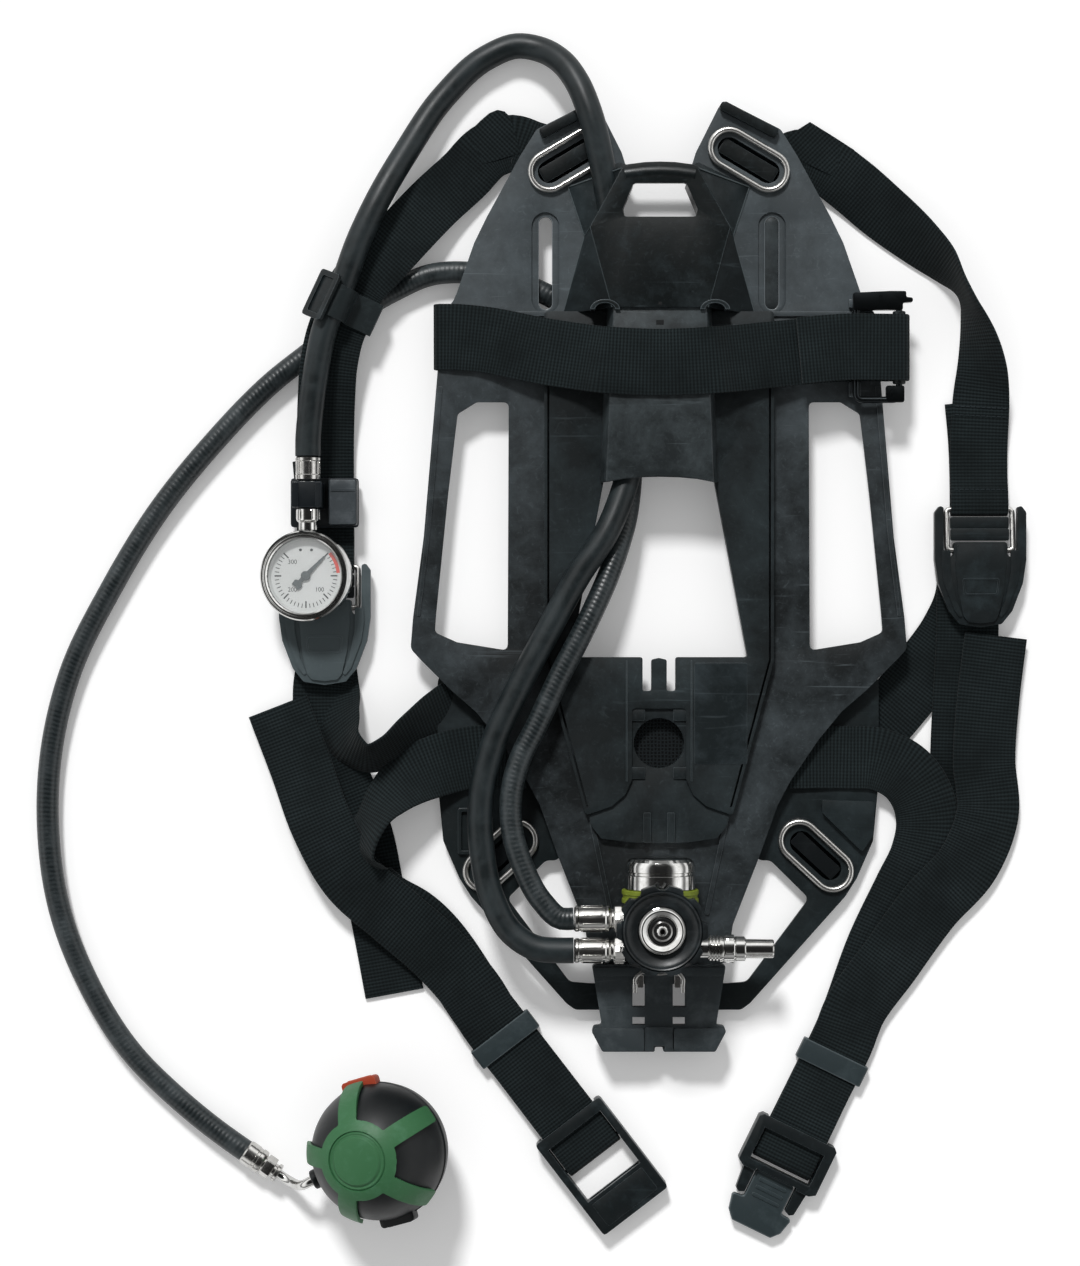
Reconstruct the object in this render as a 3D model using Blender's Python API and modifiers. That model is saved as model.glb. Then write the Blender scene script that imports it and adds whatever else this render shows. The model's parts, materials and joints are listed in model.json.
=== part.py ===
"""Air pack: the carrying set of a breathing apparatus, modelled in Blender.

Every length in this file is in millimetres; the helpers turn them into metres. The pack lies on its
back: +Z points away from the wearer, +Y towards the shoulders, and the origin is the middle of the
lumbar pad's resting face.
"""
import math

import bmesh
import bpy
from mathutils import Matrix, Vector

MM = 0.001

# Clearances
GAP = 0.3
RUNNING_GAP = 0.35

# Backplate levels and walls
PLATE_WALL = 3.0
HIP_BASE = 6.0
WING_TOP = 19.0
SPINE_TOP = 26.0
BRIDGE_TOP = 40.0
SADDLE_TOP = 42.0
HANDLE_DEPTH = 8.0
ROUND_HOLE_R = 15.2
WINDOW_ROUND = 6.0

# Webbing
WEB = 2.0
BELT_WIDTH = 38.0
SHOULDER_WIDTH = 38.0
CYLINDER_STRAP_WIDTH = 40.0

# Steel wire
RING_WIRE_R = 1.8
RING_R = 11.3
RING_HALF = 13.8
FRAME_WIRE_R = 1.7
BUCKLE_WIRE_R = 2.0
CLIP_WIRE_R = 1.2

# Cylinder strap buckle
ROLLER_X = 145.0
ROLLER_WALL = 1.6
BUCKLE_REACH = 26.0
BUCKLE_HALF = 31.5
BUCKLE_Y = 239.0

# Strap adjusters
ADJUSTER_BASE = 5.6
ADJUSTER_TOP = 14.6
ADJUSTER_HINGE_Z = 10.0
ADJUSTER_FRAME_RISE = 25.0
ADJUSTER_FRAME_HALF = 20.1
ADJUSTER_FRAME_END_Z = 5.5
RIGHT_ADJUSTER = (196.0, 117.0)
LEFT_ADJUSTER = (-203.0, 82.0)

# Belt buckle
BUCKLE_BASE = 0.3
BUCKLE_TOP = 12.4
BUCKLE_BAR_Z = 4.8
BUCKLE_BAR = 2.4
BUCKLE_SLOT_HALF = BELT_WIDTH / 2 + 1.0
SOCKET_PLACE = (-55.5, -230.5, -52.5)
SOCKET_BAR_U = 25.0
SOCKET_LENGTH = 69.0
SOCKET_HALF = BUCKLE_SLOT_HALF + 4.5
PLUG_PLACE = (86.0, -236.5, -116.0)
PLUG_BAR_U = 21.6
PLUG_HALF = BUCKLE_SLOT_HALF + 6.0
LATCH_HALF = PLUG_HALF - 13.3
LATCH_ROOT = 32.6
LATCH_END = 67.0

# Belt keepers
KEEPER_WALL = 1.8
KEEPER_LENGTH = 13.0
LEFT_KEEPER_BACK = 62.0
RIGHT_KEEPER_BACK = 46.0

# Reducer, about its connector's axis
REDUCER_Y = -109.0
BODY_R = 19.0
BODY_BORE_R = 15.0
BODY_LOW = -24.0
BODY_HIGH = 22.0
CAP_R = 21.0
CAP_END = 41.0
COLLAR_R = 23.0
COLLAR_LOW = 14.0
BOSS_R = 13.4
BOSS_TOP = 30.0
WHEEL_LOW = 24.6
WHEEL_TOP = 37.0
WHEEL_R = 26.5
WHEEL_DISH_R = 22.6
NIPPLE_R = 13.6
NIPPLE_TOP = 38.0
NIPPLE_SEAT_R = 9.2
PORT_R = 6.3
PORT_BORE_R = 1.6
SUPPLY_PORT_Y = 4.4
GAUGE_PORT_Y = -14.6
WHISTLE_Y = -13.5
REDUCER_Z = WING_TOP + GAP + COLLAR_R

# Hoses
GAUGE_HOSE_R = 7.75
SUPPLY_HOSE_R = 6.75
FERRULE_END = 51.6
FERRULE_R = 7.9
NUT_R = 8.6

# Gauge, about its dial's axis
GAUGE_PLACE = (-212.0, 101.0, 28.0)
GAUGE_ROLL = -9.0
BEZEL_R = 27.5
BEZEL_LIP_R = BEZEL_R - 5.5
CASE_R = BEZEL_R - 1.6
CASE_BORE_R = CASE_R - 3.1
CASE_LEDGE_R = CASE_R - 5.4
CASE_BASE = -10.0
CASE_RIM = 8.5
DIAL_SEAT = 4.5
DIAL_THICK = 0.8
LENS_R = CASE_R - 0.9
LENS_THICK = 1.3
SPINDLE_R = 1.2
TUBE_R = 2.0
STEM_R = 5.0
STEM_NUT_END = BEZEL_R + 13.5
STEM_END = STEM_NUT_END + 16.0
STEM_FERRULE_END = STEM_END + 15.0
HOLDER_LOW = BEZEL_R + 2.5
HOLDER_HIGH = HOLDER_LOW + 30.0
HOLDER_BASE = 5.6

# Demand valve, about its button's axis
VALVE_R = 41.0
VALVE_PLACE = (-168.0, -244.0, VALVE_R + 0.2)
VALVE_TILT = -17.0
VALVE_WALL = 2.5
VALVE_FOOT = 2.8 - VALVE_R
VALVE_OUTLET_R = 11.0
COVER_WALL = 2.2
COVER_ARM_HALF = 5.5
COVER_LOW = 6.0
COVER_ARM_ANGLES = (180.0, 108.0, 36.0, -36.0, -108.0)
BUTTON_R = 17.4
BUTTON_LOW = VALVE_R - 7.0
BUTTON_TOP = VALVE_R + 2.0
DIAPHRAGM_Z = VALVE_R - 13.0
VALVE_MOUTH_R = BUTTON_R + 2.6
COVER_RING_R = BUTTON_R + 6.6
SIDE_BUTTON_SIZE = (22.0, 9.0, 8.0)
SIDE_BUTTON_REACH = VALVE_R + 2.0
BYPASS_ANGLE = 107.0
RELEASE_ANGLE = -73.0
INLET_ANGLE = 205.8
INLET_Z = VALVE_PLACE[2] - 14.2
INLET_R = 6.0
ELBOW_R = 3.1

# Lumbar pad
PAD_HALF_X = 57.0
PAD_LOW_Y = -57.0
PAD_HIGH_Y = 44.0
PAD_DRAW = 3.0
PAD_ROUND = 4.0
PAD_TOP = WING_TOP - PLATE_WALL - GAP

# Right half of the plate's flat outlines, from the top to the bottom
WING_HALF = [
    (0, 300), (27, 303), (19, 345), (22.5, 357), (38.4, 386), (72, 369), (80.4, 355), (101.6, 319),
    (110, 303), (121, 273), (124, 268), (131.4, 260), (134.7, 218), (142.5, 125), (149, 76), (150.5, 57),
    (144, 50), (126, 32), (111, 19), (97, 2), (80, -23), (72, -38), (60.6, -70), (45, -110),
    (41.4, -134), (0, -134)]
SPINE_HALF = [(0, 261), (67, 261), (67, 50), (40, -59), (0, -59)]
BRIDGE_HALF = [(0, 263), (28, 263), (33, 156), (0, 156)]
SADDLE_HALF = [(0, 348), (19, 348), (22.8, 346), (42, 310), (29, 262), (0, 262)]
CENTRE_WINDOW_HALF = [(0, 160), (33.6, 158), (53.4, 52), (0, 52)]
SIDE_WINDOW = [(91, 203), (108, 203), (120.5, 197), (127.6, 150), (135, 78), (135.6, 67.5), (122.4, 61.6),
               (93, 56.5)]
HANDLE_HOLE_HALF = [(0, 335), (17.5, 335), (23.5, 317), (0, 317)]
HIP_OUTER = [(108, 44), (134.4, 41), (134.4, 12), (133.8, -30), (131, -60), (121, -83), (114, -94),
             (56, -159),
             (50.6, -163), (0, -163)]
HIP_INNER = [(106, 24), (92, 4), (76, -21), (67, -38), (58, -64), (60.6, -72), (68.4, -72), (90.6, -94),
             (90.6, -97), (54, -146), (42, -147), (0, -147)]
STEP_WALL = [(126, 32), (111, 19), (97, 2), (80, -23), (72, -38), (60.6, -70)]
WING_SLOT = (68.7, 291.0, 24.0, 4.0)
UPPER_RING = (54.5, 353.4, -30.7)
LOWER_RING = (96.0, -69.0, -42.7)
RING_SLOT_R = 7.0

# Foot bracket
FOOT_HALF = [(0, -134.3), (41.4, -134.3), (37, -171), (40.3, -172.5), (40.3, -182), (36, -187), (0, -187)]
FOOT_TOP = 22.0
FOOT_LIP_TOP = 26.0
FOOT_SLOT = (8.4, 16.0)

# Route of the gauge hose, from the reducer to the gauge
GAUGE_ROUTE = [
    (-FERRULE_END - GAP, REDUCER_Y + GAUGE_PORT_Y, REDUCER_Z), (-60, REDUCER_Y + GAUGE_PORT_Y, REDUCER_Z),
    (-75, -122, 42), (-89, -113, 41), (-100.5, -93, 39), (-107, -63, 37), (-107.5, -33, 35.6),
               (-100.5, -1, 34.9),
    (-86, 32, 34.7), (-67, 68, 34.9), (-49, 101, 34.9), (-31.5, 128, 33.8), (-24.6, 144, 30.8),
    (-19.5, 160, 28), (-16.6, 180, 27.8), (-16, 210, 28), (-16, 240, 28), (-16.6, 262, 28.2),
               (-21, 285, 28.9),
    (-26.5, 306, 30), (-31, 330, 31.1), (-35.5, 354, 31.9),
    (-42, 380, 31.9), (-50, 400, 27), (-59, 412, 19.5), (-71, 420, 12), (-85, 423, 8.6), (-100, 416, 8.3),
    (-124, 393, 9), (-148, 357, 17), (-166, 325, 26.6), (-178, 301, 27.9), (-189, 279.4, 27.6),
               (-194.9, 266.7, 27.6),
    (-200.8, 254, 27.6), (-206, 232, 27.6), (-210, 205, 27.8), (-212, 182, 28),
    (GAUGE_PLACE[0], GAUGE_PLACE[1] + STEM_FERRULE_END + 0.4, GAUGE_PLACE[2])]

# Route of the supply hose, from the reducer to the demand valve
SUPPLY_ROUTE = [
    (-FERRULE_END - GAP, REDUCER_Y + SUPPLY_PORT_Y, REDUCER_Z), (-59, REDUCER_Y + SUPPLY_PORT_Y, REDUCER_Z),
    (-71, -94, 41.8), (-82, -74, 40), (-89, -50, 38), (-89, -28, 36.8), (-84, -9, 35.6), (-74.5, 10, 34.8),
    (-60, 41, 34.2), (-43, 74, 33), (-28.5, 107, 26.5), (-19, 140, 17.5), (-16.5, 164, 11.4),
                (-17, 194, 8.2),
    (-27, 230, 7.4), (-48, 260, 7.2), (-72, 275, 7.1), (-96, 283, 7.1), (-117, 286.5, 7.1),
                (-139, 285, 7.1),
    (-160, 276, 7.1), (-185, 261, 7.1), (-207, 242, 7.1), (-237, 218, 7.1), (-270, 184, 7.1),
                (-304, 142, 7.1),
    (-334, 93, 7.1), (-358, 44, 7.1), (-370, -5, 7.1), (-372, -54, 7.1), (-365, -102, 7.1),
                (-347, -148, 7.1),
    (-322, -188, 7.1), (-292, -218, 7.4), (-270, -235.8, 8.4), (-258.5, -244, 9.2), (-251.5, -248.8, 9.6)]

PARTS = None
CUTTERS = None


def start_scene():
    """Empty the scene and make the collections for the pieces and for their cutters."""
    global PARTS, CUTTERS
    for obj in list(bpy.data.objects):
        bpy.data.objects.remove(obj)
    PARTS = bpy.data.collections.new("air_pack")
    CUTTERS = bpy.data.collections.new("cutters")
    bpy.context.scene.collection.children.link(PARTS)
    bpy.context.scene.collection.children.link(CUTTERS)


def finish(name, colour, roughness, metallic=0.0):
    """A Principled material from an sRGB hex colour."""
    material = bpy.data.materials.new(name)
    material.use_nodes = True
    shader = material.node_tree.nodes["Principled BSDF"]
    channels = [int(colour[i:i + 2], 16) / 255 for i in (1, 3, 5)]
    linear = [c / 12.92 if c <= 0.04045 else ((c + 0.055) / 1.055) ** 2.4 for c in channels]
    shader.inputs["Base Color"].default_value = (*linear, 1.0)
    shader.inputs["Roughness"].default_value = roughness
    shader.inputs["Metallic"].default_value = metallic
    return material


def add(name, data, material=None, parent=None, smooth=False):
    """Link a new object to the pieces, under its parent frame."""
    obj = bpy.data.objects.new(name, data)
    PARTS.objects.link(obj)
    obj.parent = parent
    if material:
        data.materials.append(material)
    if smooth:
        data.shade_smooth()
        data.set_sharp_from_angle(angle=math.radians(40))
    return obj


def frame_empty(name, place, turn=(0, 0, 0)):
    """An empty that carries a sub-assembly, turned by degrees."""
    empty = bpy.data.objects.new(name, None)
    PARTS.objects.link(empty)
    empty.location = Vector(place) * MM
    empty.rotation_euler = [math.radians(a) for a in turn]
    return empty


def as_mesh(obj):
    """Replace a curve object by its evaluated mesh with welded caps."""
    bpy.context.view_layer.update()
    evaluated = obj.evaluated_get(bpy.context.evaluated_depsgraph_get())
    mesh = bpy.data.meshes.new_from_object(evaluated)
    shape = bmesh.new()
    shape.from_mesh(mesh)
    bmesh.ops.remove_doubles(shape, verts=shape.verts, dist=0.002 * MM)
    bmesh.ops.recalc_face_normals(shape, faces=shape.faces)
    shape.to_mesh(mesh)
    shape.free()
    made = add(obj.name + "_mesh", mesh, parent=obj.parent)
    made.location = obj.location
    made.rotation_euler = obj.rotation_euler
    name = obj.name
    bpy.data.objects.remove(obj)
    made.name = name
    return made


def tool_for(target, tool, operation):
    """Join or cut target with tool by a Boolean, and put the tool among the cutters."""
    modifier = target.modifiers.new(tool.name, "BOOLEAN")
    modifier.operation = operation
    modifier.object = tool
    PARTS.objects.unlink(tool)
    CUTTERS.objects.link(tool)
    tool.hide_render = True
    tool.display_type = "WIRE"


def join(target, *tools):
    """Unite the tools with the target."""
    for tool in tools:
        tool_for(target, tool, "UNION")


def cut(target, *tools):
    """Cut the tools out of the target."""
    for tool in tools:
        tool_for(target, tool, "DIFFERENCE")


def mirrored(half):
    """A closed outline from its right half, top to bottom."""
    return list(half) + [(-x, y) for x, y in reversed(half) if x > 0]


def flipped(outline):
    """An outline on the other side of the plate's middle."""
    return [(-x, y) for x, y in reversed(outline)]


def rounded(outline, radius, steps=2):
    """Round the corners of a closed outline with short arcs."""
    made = []
    count = len(outline)
    for i, point in enumerate(outline):
        corner = Vector(point)
        before = Vector(outline[i - 1]) - corner
        after = Vector(outline[(i + 1) % count]) - corner
        half_turn = before.angle(after) / 2
        if half_turn > math.radians(82):
            made.append(tuple(corner))
            continue
        back = min(radius / math.tan(half_turn), 0.45 * before.length, 0.45 * after.length)
        first = corner + before.normalized() * back
        last = corner + after.normalized() * back
        for k in range(steps + 1):
            t = k / steps
            made.append(tuple(first * (1 - t) ** 2 + corner * (2 * t * (1 - t)) + last * t ** 2))
    return made


def stadium(x, y, half, radius, turn=0.0, steps=6):
    """A long round-ended outline about a centre, turned by degrees."""
    points = []
    for side, start in ((1, -90), (-1, 90)):
        for k in range(steps + 1):
            angle = math.radians(start + 180 * k / steps)
            points.append((side * half + radius * math.cos(angle), radius * math.sin(angle)))
    spin = math.radians(turn)
    return [(x + a * math.cos(spin) - b * math.sin(spin), y + a * math.sin(spin) + b * math.cos(spin))
            for a, b in points]


def box_outline(x0, x1, y0, y1):
    """A rectangle as an outline."""
    return [(x0, y0), (x1, y0), (x1, y1), (x0, y1)]


def corners(outline):
    """An outline without the points that lie on a straight run."""
    kept = []
    for i, point in enumerate(outline):
        before = Vector(point) - Vector(outline[i - 1])
        after = Vector(outline[(i + 1) % len(outline)]) - Vector(point)
        if abs(before.cross(after)) > 0.001 * before.length * after.length:
            kept.append(point)
    return kept


def prism(name, outlines, low, high, material=None, parent=None):
    """A flat outline, with any inner outlines as holes, between two heights."""
    outlines = [corners(outline) for outline in outlines]
    curve = bpy.data.curves.new(name, "CURVE")
    curve.dimensions = "2D"
    curve.fill_mode = "BOTH"
    curve.extrude = (high - low) / 2 * MM
    for outline in outlines:
        spline = curve.splines.new("POLY")
        spline.points.add(len(outline) - 1)
        for point, (x, y) in zip(spline.points, outline):
            point.co = (x * MM, y * MM, 0, 1)
        spline.use_cyclic_u = True
    obj = add(name, curve, parent=parent)
    obj.location = (0, 0, (low + high) / 2 * MM)
    made = as_mesh(obj)
    if material:
        made.data.materials.append(material)
    return made


def turned(name, profile, material=None, parent=None, steps=24, closed=False):
    """A turned piece about its local Z axis, from (radius, height) points down its outer side."""
    mesh = bpy.data.meshes.new(name)
    shape = bmesh.new()
    points = [shape.verts.new((r * MM, 0, z * MM)) for r, z in profile]
    for a, b in zip(points, points[1:] + (points[:1] if closed else [])):
        shape.edges.new((a, b))
    shape.to_mesh(mesh)
    shape.free()
    obj = add(name, mesh, material, parent, smooth=False)
    screw = obj.modifiers.new("turn", "SCREW")
    screw.steps = steps
    screw.render_steps = steps
    screw.use_merge_vertices = True
    screw.merge_threshold = 0.00001
    screw.use_smooth_shade = False
    return obj


def place(obj, location, axis="Z"):
    """Put a piece at a place with its turning axis along X, -X, Y or Z."""
    turns = {"X": (0, 90, 0), "-X": (0, -90, 0), "Y": (-90, 0, 0), "-Y": (90, 0, 0), "Z": (0, 0, 0)}
    obj.location = Vector(location) * MM
    obj.rotation_euler = [math.radians(a) for a in turns[axis]]
    return obj


def aim(obj, start, end):
    """Put a piece's origin at start with its Z axis towards end."""
    obj.location = Vector(start) * MM
    obj.rotation_euler = (Vector(end) - Vector(start)).to_track_quat("Z", "Y").to_euler()
    return obj


def smooth_curve(points, spacing):
    """Points about a spacing apart on a smooth curve through the given ones."""
    knots = [Vector(p) for p in points]
    spans = [(b - a).length for a, b in zip(knots, knots[1:])]
    slopes = []
    for i, knot in enumerate(knots):
        if i == 0:
            slopes.append((knots[1] - knot) / spans[0])
        elif i == len(knots) - 1:
            slopes.append((knot - knots[-2]) / spans[-1])
        else:
            ahead = (knots[i + 1] - knot) / spans[i]
            behind = (knot - knots[i - 1]) / spans[i - 1]
            slopes.append((ahead * spans[i - 1] + behind * spans[i]) / (spans[i] + spans[i - 1]))
    made = [knots[0]]
    for i, span in enumerate(spans):
        steps = max(1, round(span / spacing))
        for k in range(1, steps + 1):
            t = k / steps
            first = knots[i] * (2 * t ** 3 - 3 * t ** 2 + 1)
            first += slopes[i] * span * (t ** 3 - 2 * t ** 2 + t)
            last = knots[i + 1] * (3 * t ** 2 - 2 * t ** 3)
            last += slopes[i + 1] * span * (t ** 3 - t ** 2)
            made.append(first + last)
    return made


def even_curve(points, spacing):
    """Evenly spaced points on the smooth curve through the given ones."""
    fine = smooth_curve(points, 2.0)
    lengths = [0.0]
    for a, b in zip(fine, fine[1:]):
        lengths.append(lengths[-1] + (b - a).length)
    steps = max(2, round(lengths[-1] / spacing))
    made = []
    at = 0
    for k in range(steps + 1):
        want = lengths[-1] * k / steps
        while at < len(fine) - 2 and lengths[at + 1] < want:
            at += 1
        share = (want - lengths[at]) / (lengths[at + 1] - lengths[at])
        made.append(fine[at].lerp(fine[at + 1], share))
    return made


def tube(name, points, radius, material=None, parent=None, cyclic=False, resolution=2):
    """A round wire or hose along points."""
    curve = bpy.data.curves.new(name, "CURVE")
    curve.dimensions = "3D"
    curve.bevel_depth = radius * MM
    curve.bevel_resolution = resolution
    curve.use_fill_caps = True
    spline = curve.splines.new("POLY")
    spline.points.add(len(points) - 1)
    for point, co in zip(spline.points, points):
        point.co = (*(Vector(co) * MM), 1)
    spline.use_cyclic_u = cyclic
    return add(name, curve, material, parent)


def bight(x, y, heading, radius, middle, steps=4):
    """Stations of a strap that turns back round a bar, under it and over it, heading in degrees."""
    ahead = Vector((math.cos(math.radians(heading)), math.sin(math.radians(heading)), 0))
    centre = Vector((x, y, middle))
    stations = [centre - ahead * 4 - Vector((0, 0, radius))]
    for k in range(steps + 1):
        angle = math.radians(-90 + 180 * k / steps)
        lift = Vector((0, 0, radius * math.sin(angle)))
        stations.append(centre + ahead * (radius * math.cos(angle)) + lift)
    stations.append(centre - ahead * 4 + Vector((0, 0, radius)))
    return stations


def ribbon(name, stations, width, material, rolls=None, spacing=13.0):
    """A webbing strap along (x, y, z) stations; rolls tilts it about its run, in degrees."""
    path = smooth_curve(stations, spacing)
    rolls = rolls or {}
    tilt = [rolls.get(0, 0)]
    for i, (a, b) in enumerate(zip(stations, stations[1:])):
        steps = max(1, round((Vector(b) - Vector(a)).length / spacing))
        first, last = rolls.get(i, 0), rolls.get(i + 1, 0)
        tilt += [first + (last - first) * k / steps for k in range(1, steps + 1)]
    across = []
    last = None
    for i, point in enumerate(path):
        run = (path[min(i + 1, len(path) - 1)] - path[max(i - 1, 0)]).normalized()
        flat = Vector((-run.y, run.x, 0))
        if flat.length > 0.35 or last is None:
            side = flat.normalized()
            if last is not None and side.dot(last) < 0:
                side = -side
        else:
            side = (last - run * last.dot(run)).normalized()
        last = side
        across.append(Matrix.Rotation(math.radians(tilt[i]), 3, run) @ side)
    mesh = bpy.data.meshes.new(name)
    shape = bmesh.new()
    steps = len(path) - 1
    bmesh.ops.create_grid(shape, x_segments=steps, y_segments=1, size=1.0)
    for vert in shape.verts:
        i = round((vert.co.x + 1) / 2 * steps)
        vert.co = (path[i] + across[i] * (math.copysign(width / 2, vert.co.y))) * MM
    shape.to_mesh(mesh)
    shape.free()
    obj = add(name, mesh, material)
    thickness = obj.modifiers.new("thickness", "SOLIDIFY")
    thickness.thickness = WEB * MM
    thickness.offset = 0.0
    return obj


def ring_path(half, radius, steps=6):
    """A round-ended loop of wire in its own plane."""
    return [(x, y, 0) for x, y in stadium(0, 0, half, radius, steps=steps)]


def build_backplate(plastic):
    """The moulded plate: wings, raised spine, bridge, saddle panel with its handle and rear hip layer."""
    slots = [stadium(side * WING_SLOT[0], WING_SLOT[1], WING_SLOT[2], WING_SLOT[3], 90) for side in (1, -1)]
    eyes = [stadium(side * UPPER_RING[0], UPPER_RING[1], RING_HALF, RING_SLOT_R, side * UPPER_RING[2])
            for side in (1, -1)]
    window = rounded(SIDE_WINDOW, WINDOW_ROUND)
    wing_low = WING_TOP - PLATE_WALL
    plate = prism("backplate", [rounded(mirrored(WING_HALF), 7.0), window, flipped(window), *slots, *eyes],
                  wing_low, WING_TOP, plastic)
    join(plate, prism("spine", [rounded(mirrored(SPINE_HALF), 5.0)], wing_low + 1, SPINE_TOP))
    join(plate, prism("bridge", [mirrored(BRIDGE_HALF)], SPINE_TOP - 2, BRIDGE_TOP))
    join(plate, prism("saddle", [rounded(mirrored(SADDLE_HALF), 2.0)], wing_low + 1.5, SADDLE_TOP))
    hip = HIP_OUTER + flipped(HIP_OUTER)[1:]
    hip += [(-x, y) for x, y in HIP_INNER] + list(reversed(HIP_INNER))[1:]
    eyes_low = [stadium(side * LOWER_RING[0], LOWER_RING[1], RING_HALF - 2, RING_SLOT_R,
                        side * LOWER_RING[2])
                for side in (1, -1)]
    join(plate, prism("hips", [rounded(hip, 6.0), *eyes_low], HIP_BASE, HIP_BASE + PLATE_WALL))
    wall = [(x - 0.4, y + 0.3) for x, y in STEP_WALL]
    wall += [(x - 0.8 * PLATE_WALL, y + 0.6 * PLATE_WALL) for x, y in reversed(wall)]
    join(plate, prism("step_right", [wall], HIP_BASE + 1, WING_TOP - 1))
    join(plate, prism("step_left", [flipped(wall)], HIP_BASE + 1, WING_TOP - 1))
    rest_top = buckle_height() - BUCKLE_WIRE_R - GAP
    inner = ROLLER_X - BUCKLE_REACH
    near, far = BUCKLE_Y - BUCKLE_HALF, BUCKLE_Y + BUCKLE_HALF
    for low, high in ((near + 2, near + 11), (far - 7, far - 2)):
        rest = box_outline(inner - 4, inner + 3, low, high)
        join(plate, prism("buckle_rest", [rest], WING_TOP - 1, rest_top))
    skin = SPINE_TOP - PLATE_WALL
    column = [(67 - PLATE_WALL, 258), (67 - PLATE_WALL, 55), (57, 55), (37, 158), (31.5, 258)]
    cut(plate, prism("centre_window", [rounded(mirrored(CENTRE_WINDOW_HALF), 3.0)], 0, 60))
    cut(plate, prism("tunnel", [mirrored([(0, 270), (25, 270), (30, 150), (0, 150)])], 10,
                     BRIDGE_TOP - PLATE_WALL))
    cut(plate, prism("column_right", [column], 10, skin), prism("column_left", [flipped(column)], 10, skin))
    cut(plate, prism("lower_pocket", [mirrored([(0, 46), (57, 46), (37, -53), (0, -53)])], 10, skin))
    pocket = [(0, 340), (20, 340), (31, 352), (50, 318), (39.5, 309.5), (26.2, 265), (0, 265)]
    cut(plate, prism("saddle_pocket", [mirrored(pocket)], WING_TOP + 0.2, SADDLE_TOP - PLATE_WALL))
    bar = [(0, 347), (19, 347), (21.5, 345), (17, 337), (0, 337)]
    join(plate, prism("handle_bar", [mirrored(bar)], SADDLE_TOP - HANDLE_DEPTH, SADDLE_TOP - 1))
    cut(plate, prism("handle_hole", [rounded(mirrored(HANDLE_HOLE_HALF), 3.0)], 0, 60))
    cut(plate, prism("round_hole", [stadium(0, 0, 0.01, ROUND_HOLE_R, steps=10)], 0, 60))
    belt_low = HIP_BASE + PLATE_WALL + 0.2
    belt_room = box_outline(64, 122, -9 - BELT_WIDTH / 2 - 2, -9 + BELT_WIDTH / 2 + 2)
    cut(plate, prism("belt_room_right", [belt_room], belt_low, wing_low - 0.2),
        prism("belt_room_left", [flipped(belt_room)], belt_low, wing_low - 0.2))


def build_pad(mesh_foam):
    """The lumbar pad: drawn-in sides, rounded edges and a flat resting face."""
    low, high, wide = PAD_LOW_Y, PAD_HIGH_Y, PAD_HALF_X
    middle = (low + high) / 2
    outline = [(0, high - PAD_DRAW), (wide * 0.6, high - PAD_DRAW * 0.6), (wide, high),
               (wide - PAD_DRAW, middle), (wide, low), (wide * 0.6, low + PAD_DRAW * 0.6),
               (0, low + PAD_DRAW)]
    pad = prism("lumbar_pad", [rounded(mirrored(outline), 14.0)], 0, PAD_TOP, mesh_foam)
    edge = pad.modifiers.new("soft_edge", "BEVEL")
    edge.width = PAD_ROUND * MM
    edge.segments = 2
    edge.limit_method = "ANGLE"
    edge.angle_limit = math.radians(60)


def build_foot(plastic, steel):
    """The foot that the reducer hangs on, and the bent wire that keeps it there."""
    base = HIP_BASE + PLATE_WALL + GAP
    slots = []
    for side in (1, -1):
        near, far = (side * FOOT_SLOT[0], side * FOOT_SLOT[1])
        slots.append(box_outline(min(near, far), max(near, far), -160, -146))
        slots.append(box_outline(min(near, far), max(near, far), -171, -166))
    foot = prism("foot_bracket", [rounded(mirrored(FOOT_HALF), 2.0), *slots], base, FOOT_TOP, plastic)
    lip = [(0, -173), (39.6, -173), (39.6, -181.5), (35.5, -186.3), (3.5, -186.3), (3.5, -181), (0, -181)]
    join(foot, prism("lip", [rounded(mirrored(lip), 1.2)], FOOT_TOP - 2, FOOT_LIP_TOP))
    height = FOOT_TOP + GAP + CLIP_WIRE_R
    leg = FOOT_SLOT[1] - 1.5
    path = [(leg, -157, height), (leg, -142, height), (leg - 3, -139.5, height), (-leg + 3, -139.5, height),
            (-leg, -142, height), (-leg, -157, height)]
    tube("reducer_clip", path, CLIP_WIRE_R, steel)


def build_rings(steel):
    """The four oval strap rings, lying on the plate round their slots."""
    upper = WING_TOP + GAP + RING_WIRE_R
    lower = HIP_BASE + PLATE_WALL + GAP + RING_WIRE_R
    for name, spot, height in (("ring_upper", UPPER_RING, upper), ("ring_lower", LOWER_RING, lower)):
        for side, word in ((1, "right"), (-1, "left")):
            ring = tube(f"{name}_{word}", ring_path(RING_HALF, RING_R), RING_WIRE_R, steel, cyclic=True)
            ring.location = Vector((side * spot[0], spot[1], height)) * MM
            ring.rotation_euler = (0, 0, math.radians(side * spot[2]))


def buckle_height():
    """Height of the cylinder strap's buckle, set by the strap that runs under its roller."""
    return WING_TOP + WEB + 1.0 + BUCKLE_WIRE_R + GAP + ROLLER_WALL


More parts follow.
